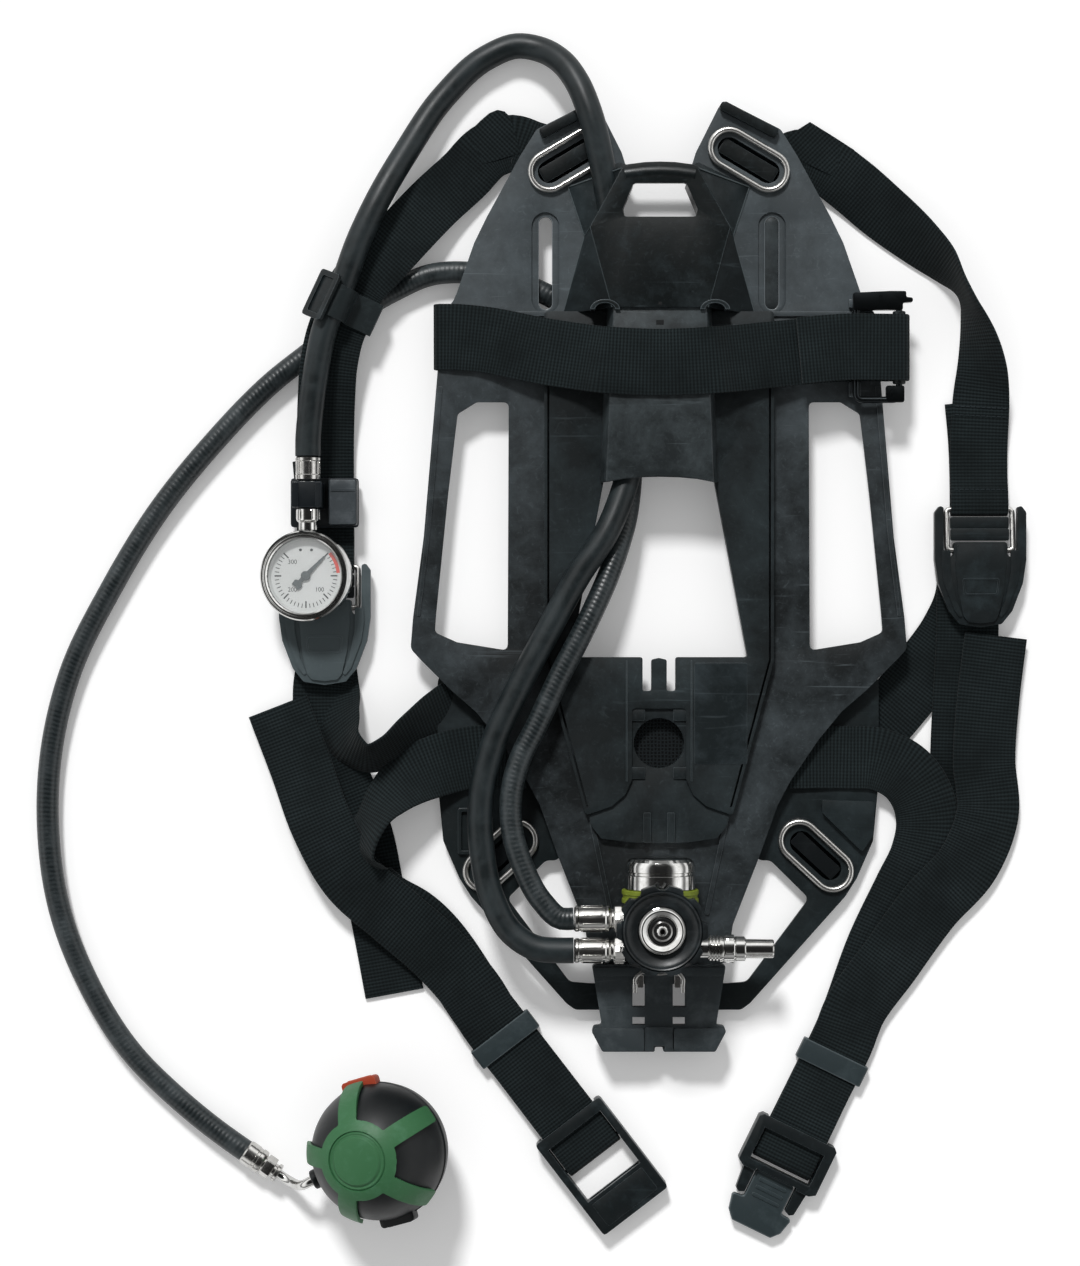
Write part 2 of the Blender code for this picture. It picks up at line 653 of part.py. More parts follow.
def build_cylinder_strap(webbing, steel, plastic):
    """The cylinder strap over the bridge, its wire buckle and the roller that it turns round."""
    height = buckle_height()
    frame = [(ROLLER_X, -BUCKLE_HALF + 4), (ROLLER_X, BUCKLE_HALF - 4), (ROLLER_X - 4, BUCKLE_HALF),
             (ROLLER_X - BUCKLE_REACH + 4, BUCKLE_HALF), (ROLLER_X - BUCKLE_REACH, BUCKLE_HALF - 4),
             (ROLLER_X - BUCKLE_REACH, -BUCKLE_HALF + 4), (ROLLER_X - BUCKLE_REACH + 4, -BUCKLE_HALF),
             (ROLLER_X - 4, -BUCKLE_HALF)]
    tube("strap_buckle", [(x, BUCKLE_Y + y, height) for x, y in frame], BUCKLE_WIRE_R, steel, cyclic=True)
    bore = BUCKLE_WIRE_R + GAP
    outer = bore + ROLLER_WALL
    half = CYLINDER_STRAP_WIDTH / 2 + 2
    roller = turned("strap_roller", [(outer, half), (outer, -half), (bore, -half), (bore, half)], plastic,
                    steps=16, closed=True)
    place(roller, (ROLLER_X, BUCKLE_Y, height), "Y")
    over = WEB / 2 + 0.5
    low = WING_TOP + over
    turn = outer + over
    under = WING_TOP - PLATE_WALL - over
    stations = [(-112, 247.5, under), (-128, 248, under - 0.8), (-137.4, 248, WING_TOP - PLATE_WALL - 0.6),
                (-138.6, 248, WING_TOP - PLATE_WALL / 2), (-137.4, 248, WING_TOP + 0.8),
                (-130, 248, low + 0.7),
                (-108, 244.5, low + 1.5), (-72, 237, SPINE_TOP + over + 2), (-43, 232, BRIDGE_TOP - 3.5),
                (-34, 230.5, BRIDGE_TOP + over - 0.3), (-27, 230, BRIDGE_TOP + over + 0.2),
                (0, 229, BRIDGE_TOP + over),
                (27, 230, BRIDGE_TOP + over + 0.2), (34, 230.5, BRIDGE_TOP + over - 0.3),
                (43, 231.5, BRIDGE_TOP - 3.5),
                (72, 235, SPINE_TOP + over + 2), (108, 238.5, low + 0.8), (128, BUCKLE_Y, height - turn),
                *bight(ROLLER_X, BUCKLE_Y, 0, turn, height),
                (112, BUCKLE_Y, height + turn + 0.8), (84, 236.5, height + turn + 3.6)]
    ribbon("cylinder_strap", stations, CYLINDER_STRAP_WIDTH, webbing, spacing=16.0)


def build_adjuster(word, spot, plastic, steel):
    """A strap adjuster: a plastic body that tilts on a bent steel frame."""
    pivot = frame_empty(f"adjuster_pivot_{word}", (*spot, ADJUSTER_HINGE_Z))
    low = ADJUSTER_BASE - ADJUSTER_HINGE_Z
    high = ADJUSTER_TOP - ADJUSTER_HINGE_Z
    room = ADJUSTER_FRAME_HALF + FRAME_WIRE_R + 0.6
    knuckle = room - 6.0
    ear = room + 5.4
    half = [(0, 5), (knuckle, 5), (knuckle, -4), (room, -4), (room, 26), (room + 2.4, 27), (ear, 23),
            (ear, -6),
            (ear - 2, -20), (ear - 8.5, -37), (ear - 15, -45), (0, -47)]
    body = prism(f"adjuster_body_{word}", [rounded(mirrored(half), 2.5)], low, high, plastic, pivot)
    bore = turned(f"bore_{word}", [(0, 40), (FRAME_WIRE_R + RUNNING_GAP, 40),
                                   (FRAME_WIRE_R + RUNNING_GAP, -40),
                                   (0, -40)], parent=pivot, steps=16)
    cut(body, place(bore, (0, 0, 0), "X"))
    drop = ADJUSTER_FRAME_END_Z - ADJUSTER_HINGE_Z
    side = ADJUSTER_FRAME_HALF
    rise = ADJUSTER_FRAME_RISE
    loop = [(-side + 1, 0), (side - 1, 0), (side, 1), (side, rise - 1), (side - 1, rise), (-side + 1, rise),
            (-side, rise - 1), (-side, 1)]
    path = [(x, y, drop * y / rise) for x, y in loop]
    tube(f"adjuster_frame_{word}", path, FRAME_WIRE_R, steel, pivot, cyclic=True)


def build_shoulder_strap(word, run, spot, webbing):
    """A shoulder strap from behind its lug to the loop round its adjuster's frame."""
    x, y = spot
    bar = y + ADJUSTER_FRAME_RISE
    turn = FRAME_WIRE_R + 0.5 + WEB / 2
    loop = bight(x, bar, -90, turn, ADJUSTER_FRAME_END_Z)[::-1]
    tail = [(x, bar + 18, 1.5), (x, bar + 36, 1.35)]
    stations = run + [(x, bar + 36, 4.1), (x, bar + 22, 4.4)] + loop + tail
    ribbon(f"shoulder_strap_{word}", stations, SHOULDER_WIDTH - 3, webbing)


def build_harness(webbing, plastic, steel):
    """Both sides of the harness: shoulder straps, adjusters, pull straps, belts and keepers."""
    build_adjuster("right", RIGHT_ADJUSTER, plastic, steel)
    build_adjuster("left", LEFT_ADJUSTER, plastic, steel)
    build_shoulder_strap("right", [(58, 356, 13), (87, 355, 9), (111, 347, 4), (136, 331, 1.5),
                                   (171, 297, 1.4),
                                   (190, 258, 1.4), (196, 209, 3)], RIGHT_ADJUSTER, webbing)
    build_shoulder_strap("left", [(-58, 361, 13), (-84, 360, 10), (-109, 350, 6), (-133, 330, 9),
                                  (-151, 314, 14.5),
                                  (-167, 298, 17.8), (-183, 276.8, 18.2), (-189, 264, 18.2),
                                  (-195, 251.2, 18.2),
                                  (-200, 231, 17), (-202, 208, 12), (-203, 184, 6)], LEFT_ADJUSTER, webbing)
    step = WEB + 0.6
    under = [(110, -16, 3), (128, 2, 3), (146, 22, 2), (164, 45, 1.35), (179, 66, 1.35), (188, 86, 1.35)]
    back = [(189, 62, 1.35 + step), (187.5, 35, 1.35 + step), (186, 5, 2.6), (185, -30, 1.35),
            (182, -74, 1.35)]
    ribbon("pull_strap_right", under + bight(190, 100, 86, step / 2, 1.35 + step / 2) + back, BELT_WIDTH,
           webbing)
    under = [(-106, 30, 2.6), (-124, 20, 2.6), (-140, 9, 3), (-154, 2, 9), (-166, -2.5, 18.2),
             (-175, -3.5, 18.6),
             (-184, -2.5, 15.6), (-192, 7, 7.4), (-198, 20, 1.6), (-201.5, 40, 1.35)]
    back = [(-205, 32, 1.35 + step), (-203, 4, 1.35 + step), (-193, -24, 1.35), (-180, -57, 1.35),
            (-173, -91, 1.35),
            (-166, -127, 1.35), (-161, -154, 1.35)]
    ribbon("pull_strap_left", under + bight(-203, 56, 94, step / 2, 1.35 + step / 2) + back, BELT_WIDTH - 2,
           webbing,
           rolls={3: -24, 4: -61, 5: -62, 6: -48, 7: -18})
    build_belt("right", [(80, -9, 12.2), (114, -9, 10.8), (135, -10.5, 11), (151, -19, 9.8), (161, -33, 7),
                         (164.5, -50, 4.4),
                         (161, -69, 3.9), (151, -90, 3.4), (136, -121, 3.4)], RIGHT_KEEPER_BACK, PLUG_PLACE,
               PLUG_BAR_U,
               [(118, -168, 6), (142, -133, 6), (166, -100, 6.2), (190, -73, 6.4), (201, -44, 6.8),
                (199, -11, 6.8),
                (206, 26, 6.8), (216, 62, 6.8)], webbing, plastic)
    build_belt("left", [(-80, -9, 12.2), (-114, -10, 10.8), (-134, -14, 11), (-151, -31, 9.8),
                        (-162.5, -47, 6.6),
                        (-170, -63, 4.6), (-169, -78, 4), (-158, -94, 3.9), (-139, -116, 3.6)],
               LEFT_KEEPER_BACK, SOCKET_PLACE, SOCKET_BAR_U,
               [(-112, -154.5, 6), (-133, -130, 6.2), (-160, -106, 6.6), (-187, -81, 6.8), (-204, -51, 6.8),
                (-218, -14, 6.8), (-233, 22, 6.8)], webbing, plastic)


def build_belt(word, outward, keeper_back, buckle, bar_u, homeward, webbing, plastic):
    """A waist belt out to its buckle, round the bar and back as a tail, with its sliding keeper."""
    heading = math.radians(buckle[2])
    ahead = Vector((math.cos(heading), math.sin(heading)))
    turn = 0.75 * BUCKLE_BAR + 0.6 + WEB / 2
    bar = Vector(buckle[:2]) + ahead * bar_u
    low, high = 3.4, 6.0
    spot = Vector(buckle[:2]) - ahead * keeper_back
    near, far = spot - ahead * 18, spot + ahead * 18
    gate = Vector(buckle[:2]) + ahead * 3
    stations = outward + [(*near, low), (*far, low), (*gate, BUCKLE_BAR_Z - turn + 0.4)]
    stations += bight(*bar, buckle[2], turn, BUCKLE_BAR_Z)
    stations += [(*gate, BUCKLE_BAR_Z + turn - 0.5), (*far, high), (*near, high)] + homeward
    ribbon(f"waist_belt_{word}", stations, BELT_WIDTH, webbing)
    pivot = frame_empty(f"keeper_frame_{word}", (*spot, 0), (0, 0, buckle[2]))
    half = BELT_WIDTH / 2 + 0.8
    floor = low - WEB / 2 - GAP
    roof = high + WEB / 2 + GAP
    outer = rounded(box_outline(-half - KEEPER_WALL, half + KEEPER_WALL, floor - KEEPER_WALL,
                                roof + KEEPER_WALL), 1.5)
    inner = box_outline(-half, half, floor, roof)
    band = prism(f"belt_keeper_{word}", [outer, inner], -KEEPER_LENGTH / 2, KEEPER_LENGTH / 2, plastic,
                 pivot)
    band.rotation_euler = (math.radians(90), 0, math.radians(90))


def slab(name, u, v, low, high, parent):
    """A block in a buckle's own frame, across its width from -v to v."""
    return prism(name, [box_outline(u[0], u[1], -v, v)], low, high, parent=parent)


def build_buckle(plastic):
    """The belt buckle: socket with its open window, plug with its prongs, and the springy latch."""
    socket_frame = frame_empty("socket_frame", (*SOCKET_PLACE[:2], 0), (0, 0, SOCKET_PLACE[2]))
    slot = BUCKLE_SLOT_HALF
    outline = rounded(box_outline(0, SOCKET_LENGTH, -SOCKET_HALF, SOCKET_HALF), 2.0)
    bar = (SOCKET_BAR_U - BUCKLE_BAR / 2, SOCKET_BAR_U + BUCKLE_BAR / 2)
    holes = [box_outline(7, bar[0], -slot, slot), box_outline(bar[1], 47, -slot, slot)]
    socket = prism("buckle_socket", [outline, *holes], BUCKLE_BASE, BUCKLE_TOP, plastic, socket_frame)
    strap_roof = BUCKLE_TOP - 2.6
    bar_low, bar_high = BUCKLE_BAR_Z - BUCKLE_BAR / 2, BUCKLE_BAR_Z + BUCKLE_BAR / 2
    cut(socket, slab("socket_entry", (-2, 7.5), slot + 0.4, -2, strap_roof, socket_frame),
        slab("socket_under_bar", (bar[0] - 1, bar[1] + 1), slot + 0.2, -2, bar_low, socket_frame),
        slab("socket_over_bar", (bar[0] - 1, bar[1] + 1), slot + 0.2, bar_high, BUCKLE_TOP + 2,
             socket_frame),
        slab("socket_mouth", (46, SOCKET_LENGTH + 2), slot - 1.5, 3.0, 9.0, socket_frame))
    plug_frame = frame_empty("plug_frame", (*PLUG_PLACE[:2], 0), (0, 0, PLUG_PLACE[2]))
    wide = PLUG_HALF
    gap = LATCH_HALF + 1.0
    half = [(0, wide - 2), (2, wide), (31, wide), (33, wide - 3), (34, wide - 5), (48, wide - 6.5),
            (49.5, wide - 9), (48, gap),
            (LATCH_ROOT - 0.6, gap), (LATCH_ROOT - 0.6, 0)]
    outline = half + [(u, -v) for u, v in reversed(half) if v > 0]
    bar = (PLUG_BAR_U - BUCKLE_BAR / 2, PLUG_BAR_U + BUCKLE_BAR / 2)
    holes = [box_outline(7, bar[0], -slot, slot), box_outline(bar[1], LATCH_ROOT - 4.6, -slot, slot)]
    plug = prism("buckle_plug", [outline, *holes], BUCKLE_BASE, BUCKLE_TOP, plastic, plug_frame)
    cut(plug, slab("plug_entry", (-2, 7.5), slot + 0.4, -2, strap_roof, plug_frame),
        slab("plug_under_bar", (bar[0] - 1, bar[1] + 1), slot + 0.2, -2, bar_low, plug_frame),
        slab("plug_over_bar", (bar[0] - 1, bar[1] + 1), slot + 0.2, bar_high, BUCKLE_TOP + 2, plug_frame),
        slab("prong_top", (33.5, 60), wide + 14, 9.2, 20, plug_frame),
        slab("prong_under", (33.5, 60), wide + 14, -5, 2.8, plug_frame))
    hinge = frame_empty("latch_hinge", (LATCH_ROOT, 0, BUCKLE_BAR_Z))
    hinge.parent = plug_frame
    reach = LATCH_END - LATCH_ROOT
    tab = [(0, LATCH_HALF), (reach - 16, LATCH_HALF), (reach - 15.5, wide - 6), (reach - 5, wide - 8.5),
           (reach, wide - 13)]
    outline = tab + [(u, -v) for u, v in reversed(tab)]
    prism("buckle_latch", [rounded(outline, 1.5)], 3.4 - BUCKLE_BAR_Z, 8.2 - BUCKLE_BAR_Z, plastic, hinge)


def build_hose_keeper(rubber):
    """The band that holds the gauge hose down on the left shoulder strap."""
    strap = Vector((-189, 264))
    heading = -115.0
    pivot = frame_empty("hose_keeper_frame", (*strap, 0), (0, 0, heading))
    strap_z, hose_z, hose_y = 18.2, 27.6, -6.5
    wall = 1.5

    def section(out):
        low = strap_z - WEB / 2 - GAP - out
        side = (SHOULDER_WIDTH - 3) / 2 + 0.8 + out
        reach = GAUGE_HOSE_R + 0.6 + out
        arc = [(hose_y + reach * math.cos(math.radians(a)), hose_z + reach * math.sin(math.radians(a)))
               for a in range(0, 181, 22)]
        shoulder = strap_z + WEB / 2 + GAP + out
        return [(-side, low), (side, low), (side, shoulder), (hose_y + reach, shoulder + 1), *arc,
                (hose_y - reach, shoulder + 1), (-side, shoulder)]

    band = prism("hose_keeper", [section(wall), section(0)], -10, 10, rubber, pivot)
    band.rotation_euler = (math.radians(90), 0, math.radians(90))


def build_reducer(plastic, chrome, olive, rubber, steel):
    """The pressure reducer with its piston, spring, connector, handwheel and fittings."""
    centre = frame_empty("reducer_frame", (0, REDUCER_Y, REDUCER_Z))
    bore_low = BODY_LOW + 8
    body = turned("reducer_body", [(0, BODY_LOW), (BODY_R - 2, BODY_LOW), (BODY_R, BODY_LOW + 2),
                                   (BODY_R, BODY_HIGH),
                                   (BODY_BORE_R, BODY_HIGH), (BODY_BORE_R, bore_low), (0, bore_low)][::-1],
                  plastic, centre)
    place(body, (0, 0, 0), "Y")
    boss = turned("connector_boss", [(0, BOSS_TOP), (BOSS_R, BOSS_TOP), (BOSS_R, BODY_BORE_R + 1),
                                     (0, BODY_BORE_R + 1)],
                  parent=centre)
    join(body, boss)
    lug_low, lug_high = -COLLAR_R + 3.0, -BODY_R + 9.0
    join(body, prism("foot_lug", [box_outline(-9, 9, BODY_LOW - 3, BODY_LOW + 6)], lug_low, lug_high,
                     parent=centre))
    cap = turned("reducer_cap", [(0, CAP_END), (CAP_R - 3, CAP_END), (CAP_R, CAP_END - 3),
                                 (CAP_R, BODY_HIGH + GAP),
                                 (BODY_BORE_R, BODY_HIGH + GAP), (BODY_BORE_R, CAP_END - 4),
                                 (0, CAP_END - 4)],
                 chrome, centre)
    place(cap, (0, 0, 0), "Y")
    inner = BODY_R + GAP
    collar = turned("reducer_collar", [(COLLAR_R, BODY_HIGH), (COLLAR_R, COLLAR_LOW), (inner, COLLAR_LOW),
                                       (inner, BODY_HIGH)], olive, centre, closed=True)
    place(collar, (0, 0, 0), "Y")
    piston_r = BODY_BORE_R - RUNNING_GAP
    piston_low = bore_low + 1.5
    piston = turned("reducer_piston", [(0, piston_low + 9), (piston_r, piston_low + 9),
                                       (piston_r, piston_low),
                                       (0, piston_low)], steel, centre, steps=20)
    place(piston, (0, 0, 0), "Y")
    wire = 1.4
    start = piston_low + 9 + GAP + wire
    rise = (CAP_END - 4 - GAP - wire) - start
    coil_r = BODY_BORE_R - 3.5
    coil = []
    for k in range(49):
        angle = math.radians(45 * k)
        coil.append((coil_r * math.cos(angle), start + rise * k / 48, coil_r * math.sin(angle)))
    tube("reducer_spring", coil, wire, steel, centre, resolution=1)
    build_connector(centre, plastic, chrome, rubber)
    supply = fitting("supply_ferrule", FERRULE_R, chrome, centre)
    place(supply, (0, SUPPLY_PORT_Y, 0), "-X")
    gauge = fitting("gauge_ferrule", FERRULE_R - 0.4, chrome, centre)
    place(gauge, (0, GAUGE_PORT_Y, 0), "-X")
    side = BODY_R + GAP
    whistle = turned("whistle", [(0, 68), (4.6, 68), (5.75, 67), (5.75, 51), (7.2, 51), (7.2, 45),
                                 (8.4, 44.5), (8.4, 38),
                                 (7.0, 38), (7.0, 37), (8.6, 36.6), (8.6, 28.5), (6.2, 28.5), (6.2, side),
                                 (0, side)],
                     chrome, centre, steps=20)
    place(whistle, (0, WHISTLE_Y, 0), "X")


def fitting(name, radius, chrome, parent):
    """A union nut and crimped ferrule from the reducer's side to its hose."""
    side = BODY_R + GAP
    return turned(name, [(0, FERRULE_END), (radius - 0.6, FERRULE_END), (radius, FERRULE_END - 1),
                         (radius, 30),
                         (radius - 1.6, 29), (NUT_R, 28), (NUT_R, side + 2), (NUT_R - 2, side), (0, side)],
                  chrome, parent, steps=18)


def build_connector(centre, plastic, chrome, rubber):
    """The threaded connector with its seal, and the lobed handwheel that turns round it."""
    rim = []
    for k in range(40):
        angle = math.radians(9 * k)
        reach = WHEEL_R - 0.9 + 0.9 * math.cos(10 * angle)
        rim.append((reach * math.cos(angle), reach * math.sin(angle)))
    wheel = prism("handwheel", [rim], WHEEL_LOW, WHEEL_TOP, plastic, centre)
    web_low = BOSS_TOP + GAP
    web_high = web_low + 3.0
    eye = turned("wheel_eye", [(0, web_high + 1), (NIPPLE_R + RUNNING_GAP, web_high + 1),
                               (NIPPLE_R + RUNNING_GAP, WHEEL_LOW - 1), (0, WHEEL_LOW - 1)], parent=centre)
    dish = turned("wheel_dish", [(0, WHEEL_TOP + 1), (WHEEL_DISH_R + 1.5, WHEEL_TOP + 1),
                                 (NIPPLE_R + 2.4, web_high),
                                 (0, web_high)], parent=centre)
    cut(wheel, eye, dish)
    seat = NIPPLE_TOP - 3.5
    turned("connector_nipple", [(NIPPLE_SEAT_R, NIPPLE_TOP), (NIPPLE_R - 0.8, NIPPLE_TOP),
                                (NIPPLE_R, NIPPLE_TOP - 0.8),
                                (NIPPLE_R, BOSS_TOP + GAP), (PORT_BORE_R, BOSS_TOP + GAP),
                                (PORT_BORE_R, NIPPLE_TOP - 0.5), (PORT_R, NIPPLE_TOP - 0.5), (PORT_R, seat),
                                (NIPPLE_SEAT_R, seat)], chrome, centre, closed=True)
    ring_low = seat + GAP
    turned("connector_seal", [(NIPPLE_SEAT_R - GAP, ring_low + 1.4), (NIPPLE_SEAT_R - GAP, ring_low),
                              (PORT_R + GAP, ring_low), (PORT_R + GAP, ring_low + 1.4)], rubber, centre,
           closed=True)


def build_hoses(rubber, chrome):
    """The gauge hose and the supply hose, and the ferrules at their far ends."""
    hoses = (("gauge_hose", GAUGE_ROUTE, GAUGE_HOSE_R), ("supply_hose", SUPPLY_ROUTE, SUPPLY_HOSE_R))
    for name, route, radius in hoses:
        between = even_curve(route[1:-1], 4.4 * radius)
        tube(name, [route[0], *between, route[-1]], radius, rubber)
    start = Vector(SUPPLY_ROUTE[-1])
    run = (start - Vector(SUPPLY_ROUTE[-2])).normalized()
    ferrule = turned("valve_ferrule", [(0, 20), (5.4, 20), (6.2, 19), (6.2, 14), (7.6, 13), (7.6, 1),
                                       (7.2, GAP), (0, GAP)],
                     chrome, steps=18)
    aim(ferrule, start, start + run)
    end = start + run * (20 + GAP)
    inlet = inlet_point(VALVE_R - 4.2)
    mouth = inlet_point(VALVE_R + 8)
    lead = end + run * 6
    bend = lead.lerp(inlet_point(VALVE_R + 14), 0.55) + Vector((-1.5, -2.5, -1))
    path = smooth_curve([lead, bend, inlet_point(VALVE_R + 14), mouth], 5.0)
    tube("swivel_elbow", [end, *path, inlet], ELBOW_R, chrome)


def inlet_point(reach):
    """A point on the demand valve's inlet axis, at a distance from the valve's middle in plan."""
    angle = math.radians(INLET_ANGLE)
    x, y = reach * math.cos(angle), reach * math.sin(angle)
    return Vector((VALVE_PLACE[0] + x, VALVE_PLACE[1] + y, INLET_Z))


def build_gauge(chrome, white, glass, black, brass, plastic):
    """The pressure gauge with its movement, its stem and the holder on the shoulder strap."""
    centre = frame_empty("gauge_frame", GAUGE_PLACE, (0, GAUGE_ROLL, 0))
    floor = CASE_BASE + 2
    turned("gauge_case", [(0, floor), (CASE_LEDGE_R, floor), (CASE_LEDGE_R, DIAL_SEAT),
                          (CASE_BORE_R, DIAL_SEAT),
                          (CASE_BORE_R, CASE_RIM), (CASE_R, CASE_RIM), (CASE_R, CASE_BASE + 2),
                          (CASE_R - 2, CASE_BASE), (0, CASE_BASE)], chrome, centre, steps=24)
    lens_low = CASE_RIM + GAP
    lens_top = lens_low + LENS_THICK
    lip = lens_top + GAP
    turned("gauge_bezel", [(BEZEL_LIP_R, lip + 1.6), (BEZEL_R - 1.5, lip + 1.6), (BEZEL_R, lip),
                           (BEZEL_R, 1),
                           (CASE_R + GAP, 1), (CASE_R + GAP, lip), (BEZEL_LIP_R, lip)], chrome, centre,
           steps=24, closed=True)
    turned("gauge_lens", [(0, lens_top), (LENS_R, lens_top), (LENS_R, lens_low), (0, lens_low)], glass,
           centre, steps=24)
    dial_low = DIAL_SEAT + GAP
    dial_top = dial_low + DIAL_THICK
    hole = SPINDLE_R + 0.6
    turned("gauge_dial", [(CASE_BORE_R - GAP, dial_top), (CASE_BORE_R - GAP, dial_low), (hole, dial_low),
                          (hole, dial_top)], white, centre, steps=24, closed=True)
    hub_low = dial_top + GAP
    hub_top = hub_low + 1.2
    eye = SPINDLE_R + RUNNING_GAP
    needle = [(0, 2.0), (14, 0.6), (14, -0.6), (0, -2.0), (-8, -1.5), (-10, -2.4), (-10, 2.4), (-8, 1.5)]
    ring = stadium(0, 0, 0.01, eye, steps=6)
    pointer = prism("gauge_pointer", [needle, ring], hub_low, hub_top, black, centre)
    pointer.rotation_euler = (0, 0, math.radians(45))
    turned("gauge_movement", [(0, hub_top + 0.2), (SPINDLE_R, hub_top + 0.2), (SPINDLE_R, -5), (9, -5),
                              (9, floor + GAP),
                              (0, floor + GAP)], brass, centre, steps=16)
    arc_r = CASE_LEDGE_R - GAP - TUBE_R
    turns = [math.radians(a) for a in range(-180, 91, 18)]
    arc = [(arc_r * math.cos(a), arc_r * math.sin(a), floor + 4) for a in turns]
    tube("bourdon_tube", arc, TUBE_R, brass, centre)
    stem = turned("gauge_stem", [(0, STEM_END), (STEM_R, STEM_END), (STEM_R, STEM_NUT_END),
                                 (7.4, STEM_NUT_END - 1),
                                 (7.4, STEM_NUT_END - 8), (5.6, STEM_NUT_END - 9), (5.6, BEZEL_R + GAP),
                                 (0, BEZEL_R + GAP)],
                  chrome, centre, steps=12)
    place(stem, (0, 0, 0), "Y")
    ferrule = turned("stem_ferrule", [(0, STEM_FERRULE_END), (7.0, STEM_FERRULE_END),
                                      (7.7, STEM_FERRULE_END - 1),
                                      (7.7, STEM_END + 3), (6.4, STEM_END + GAP), (0, STEM_END + GAP)],
                     chrome, centre, steps=18)
    place(ferrule, (0, 0, 0), "Y")
    build_holder(plastic)


def build_holder(plastic):
    """The holder on the strap: a base plate, a clip round the gauge's stem and a block beside it."""
    x, y, z = GAUGE_PLACE
    low, high = y + HOLDER_LOW, y + HOLDER_HIGH
    clip_low, clip_high = y + STEM_NUT_END + GAP, y + STEM_END - GAP
    base_top = HOLDER_BASE + 2.6
    base = prism("gauge_holder", [rounded(box_outline(x - 12, x + 29.5, low, high), 2.0)], HOLDER_BASE,
                 base_top, plastic)
    clip = prism("holder_clip", [box_outline(x - 9.5, x + 8.5, clip_low, clip_high)], base_top - 1, z + 8)
    block = prism("holder_block", [rounded(box_outline(x + 12, x + 29, low + 1, high - 1), 1.5)],
                  base_top - 1, base_top + 13)
    join(base, clip, block)
    reach = STEM_R + GAP
    bore = turned("holder_bore", [(0, 90), (reach, 90), (reach, 20), (0, 20)], steps=16)
    cut(base, place(bore, GAUGE_PLACE, "Y"))


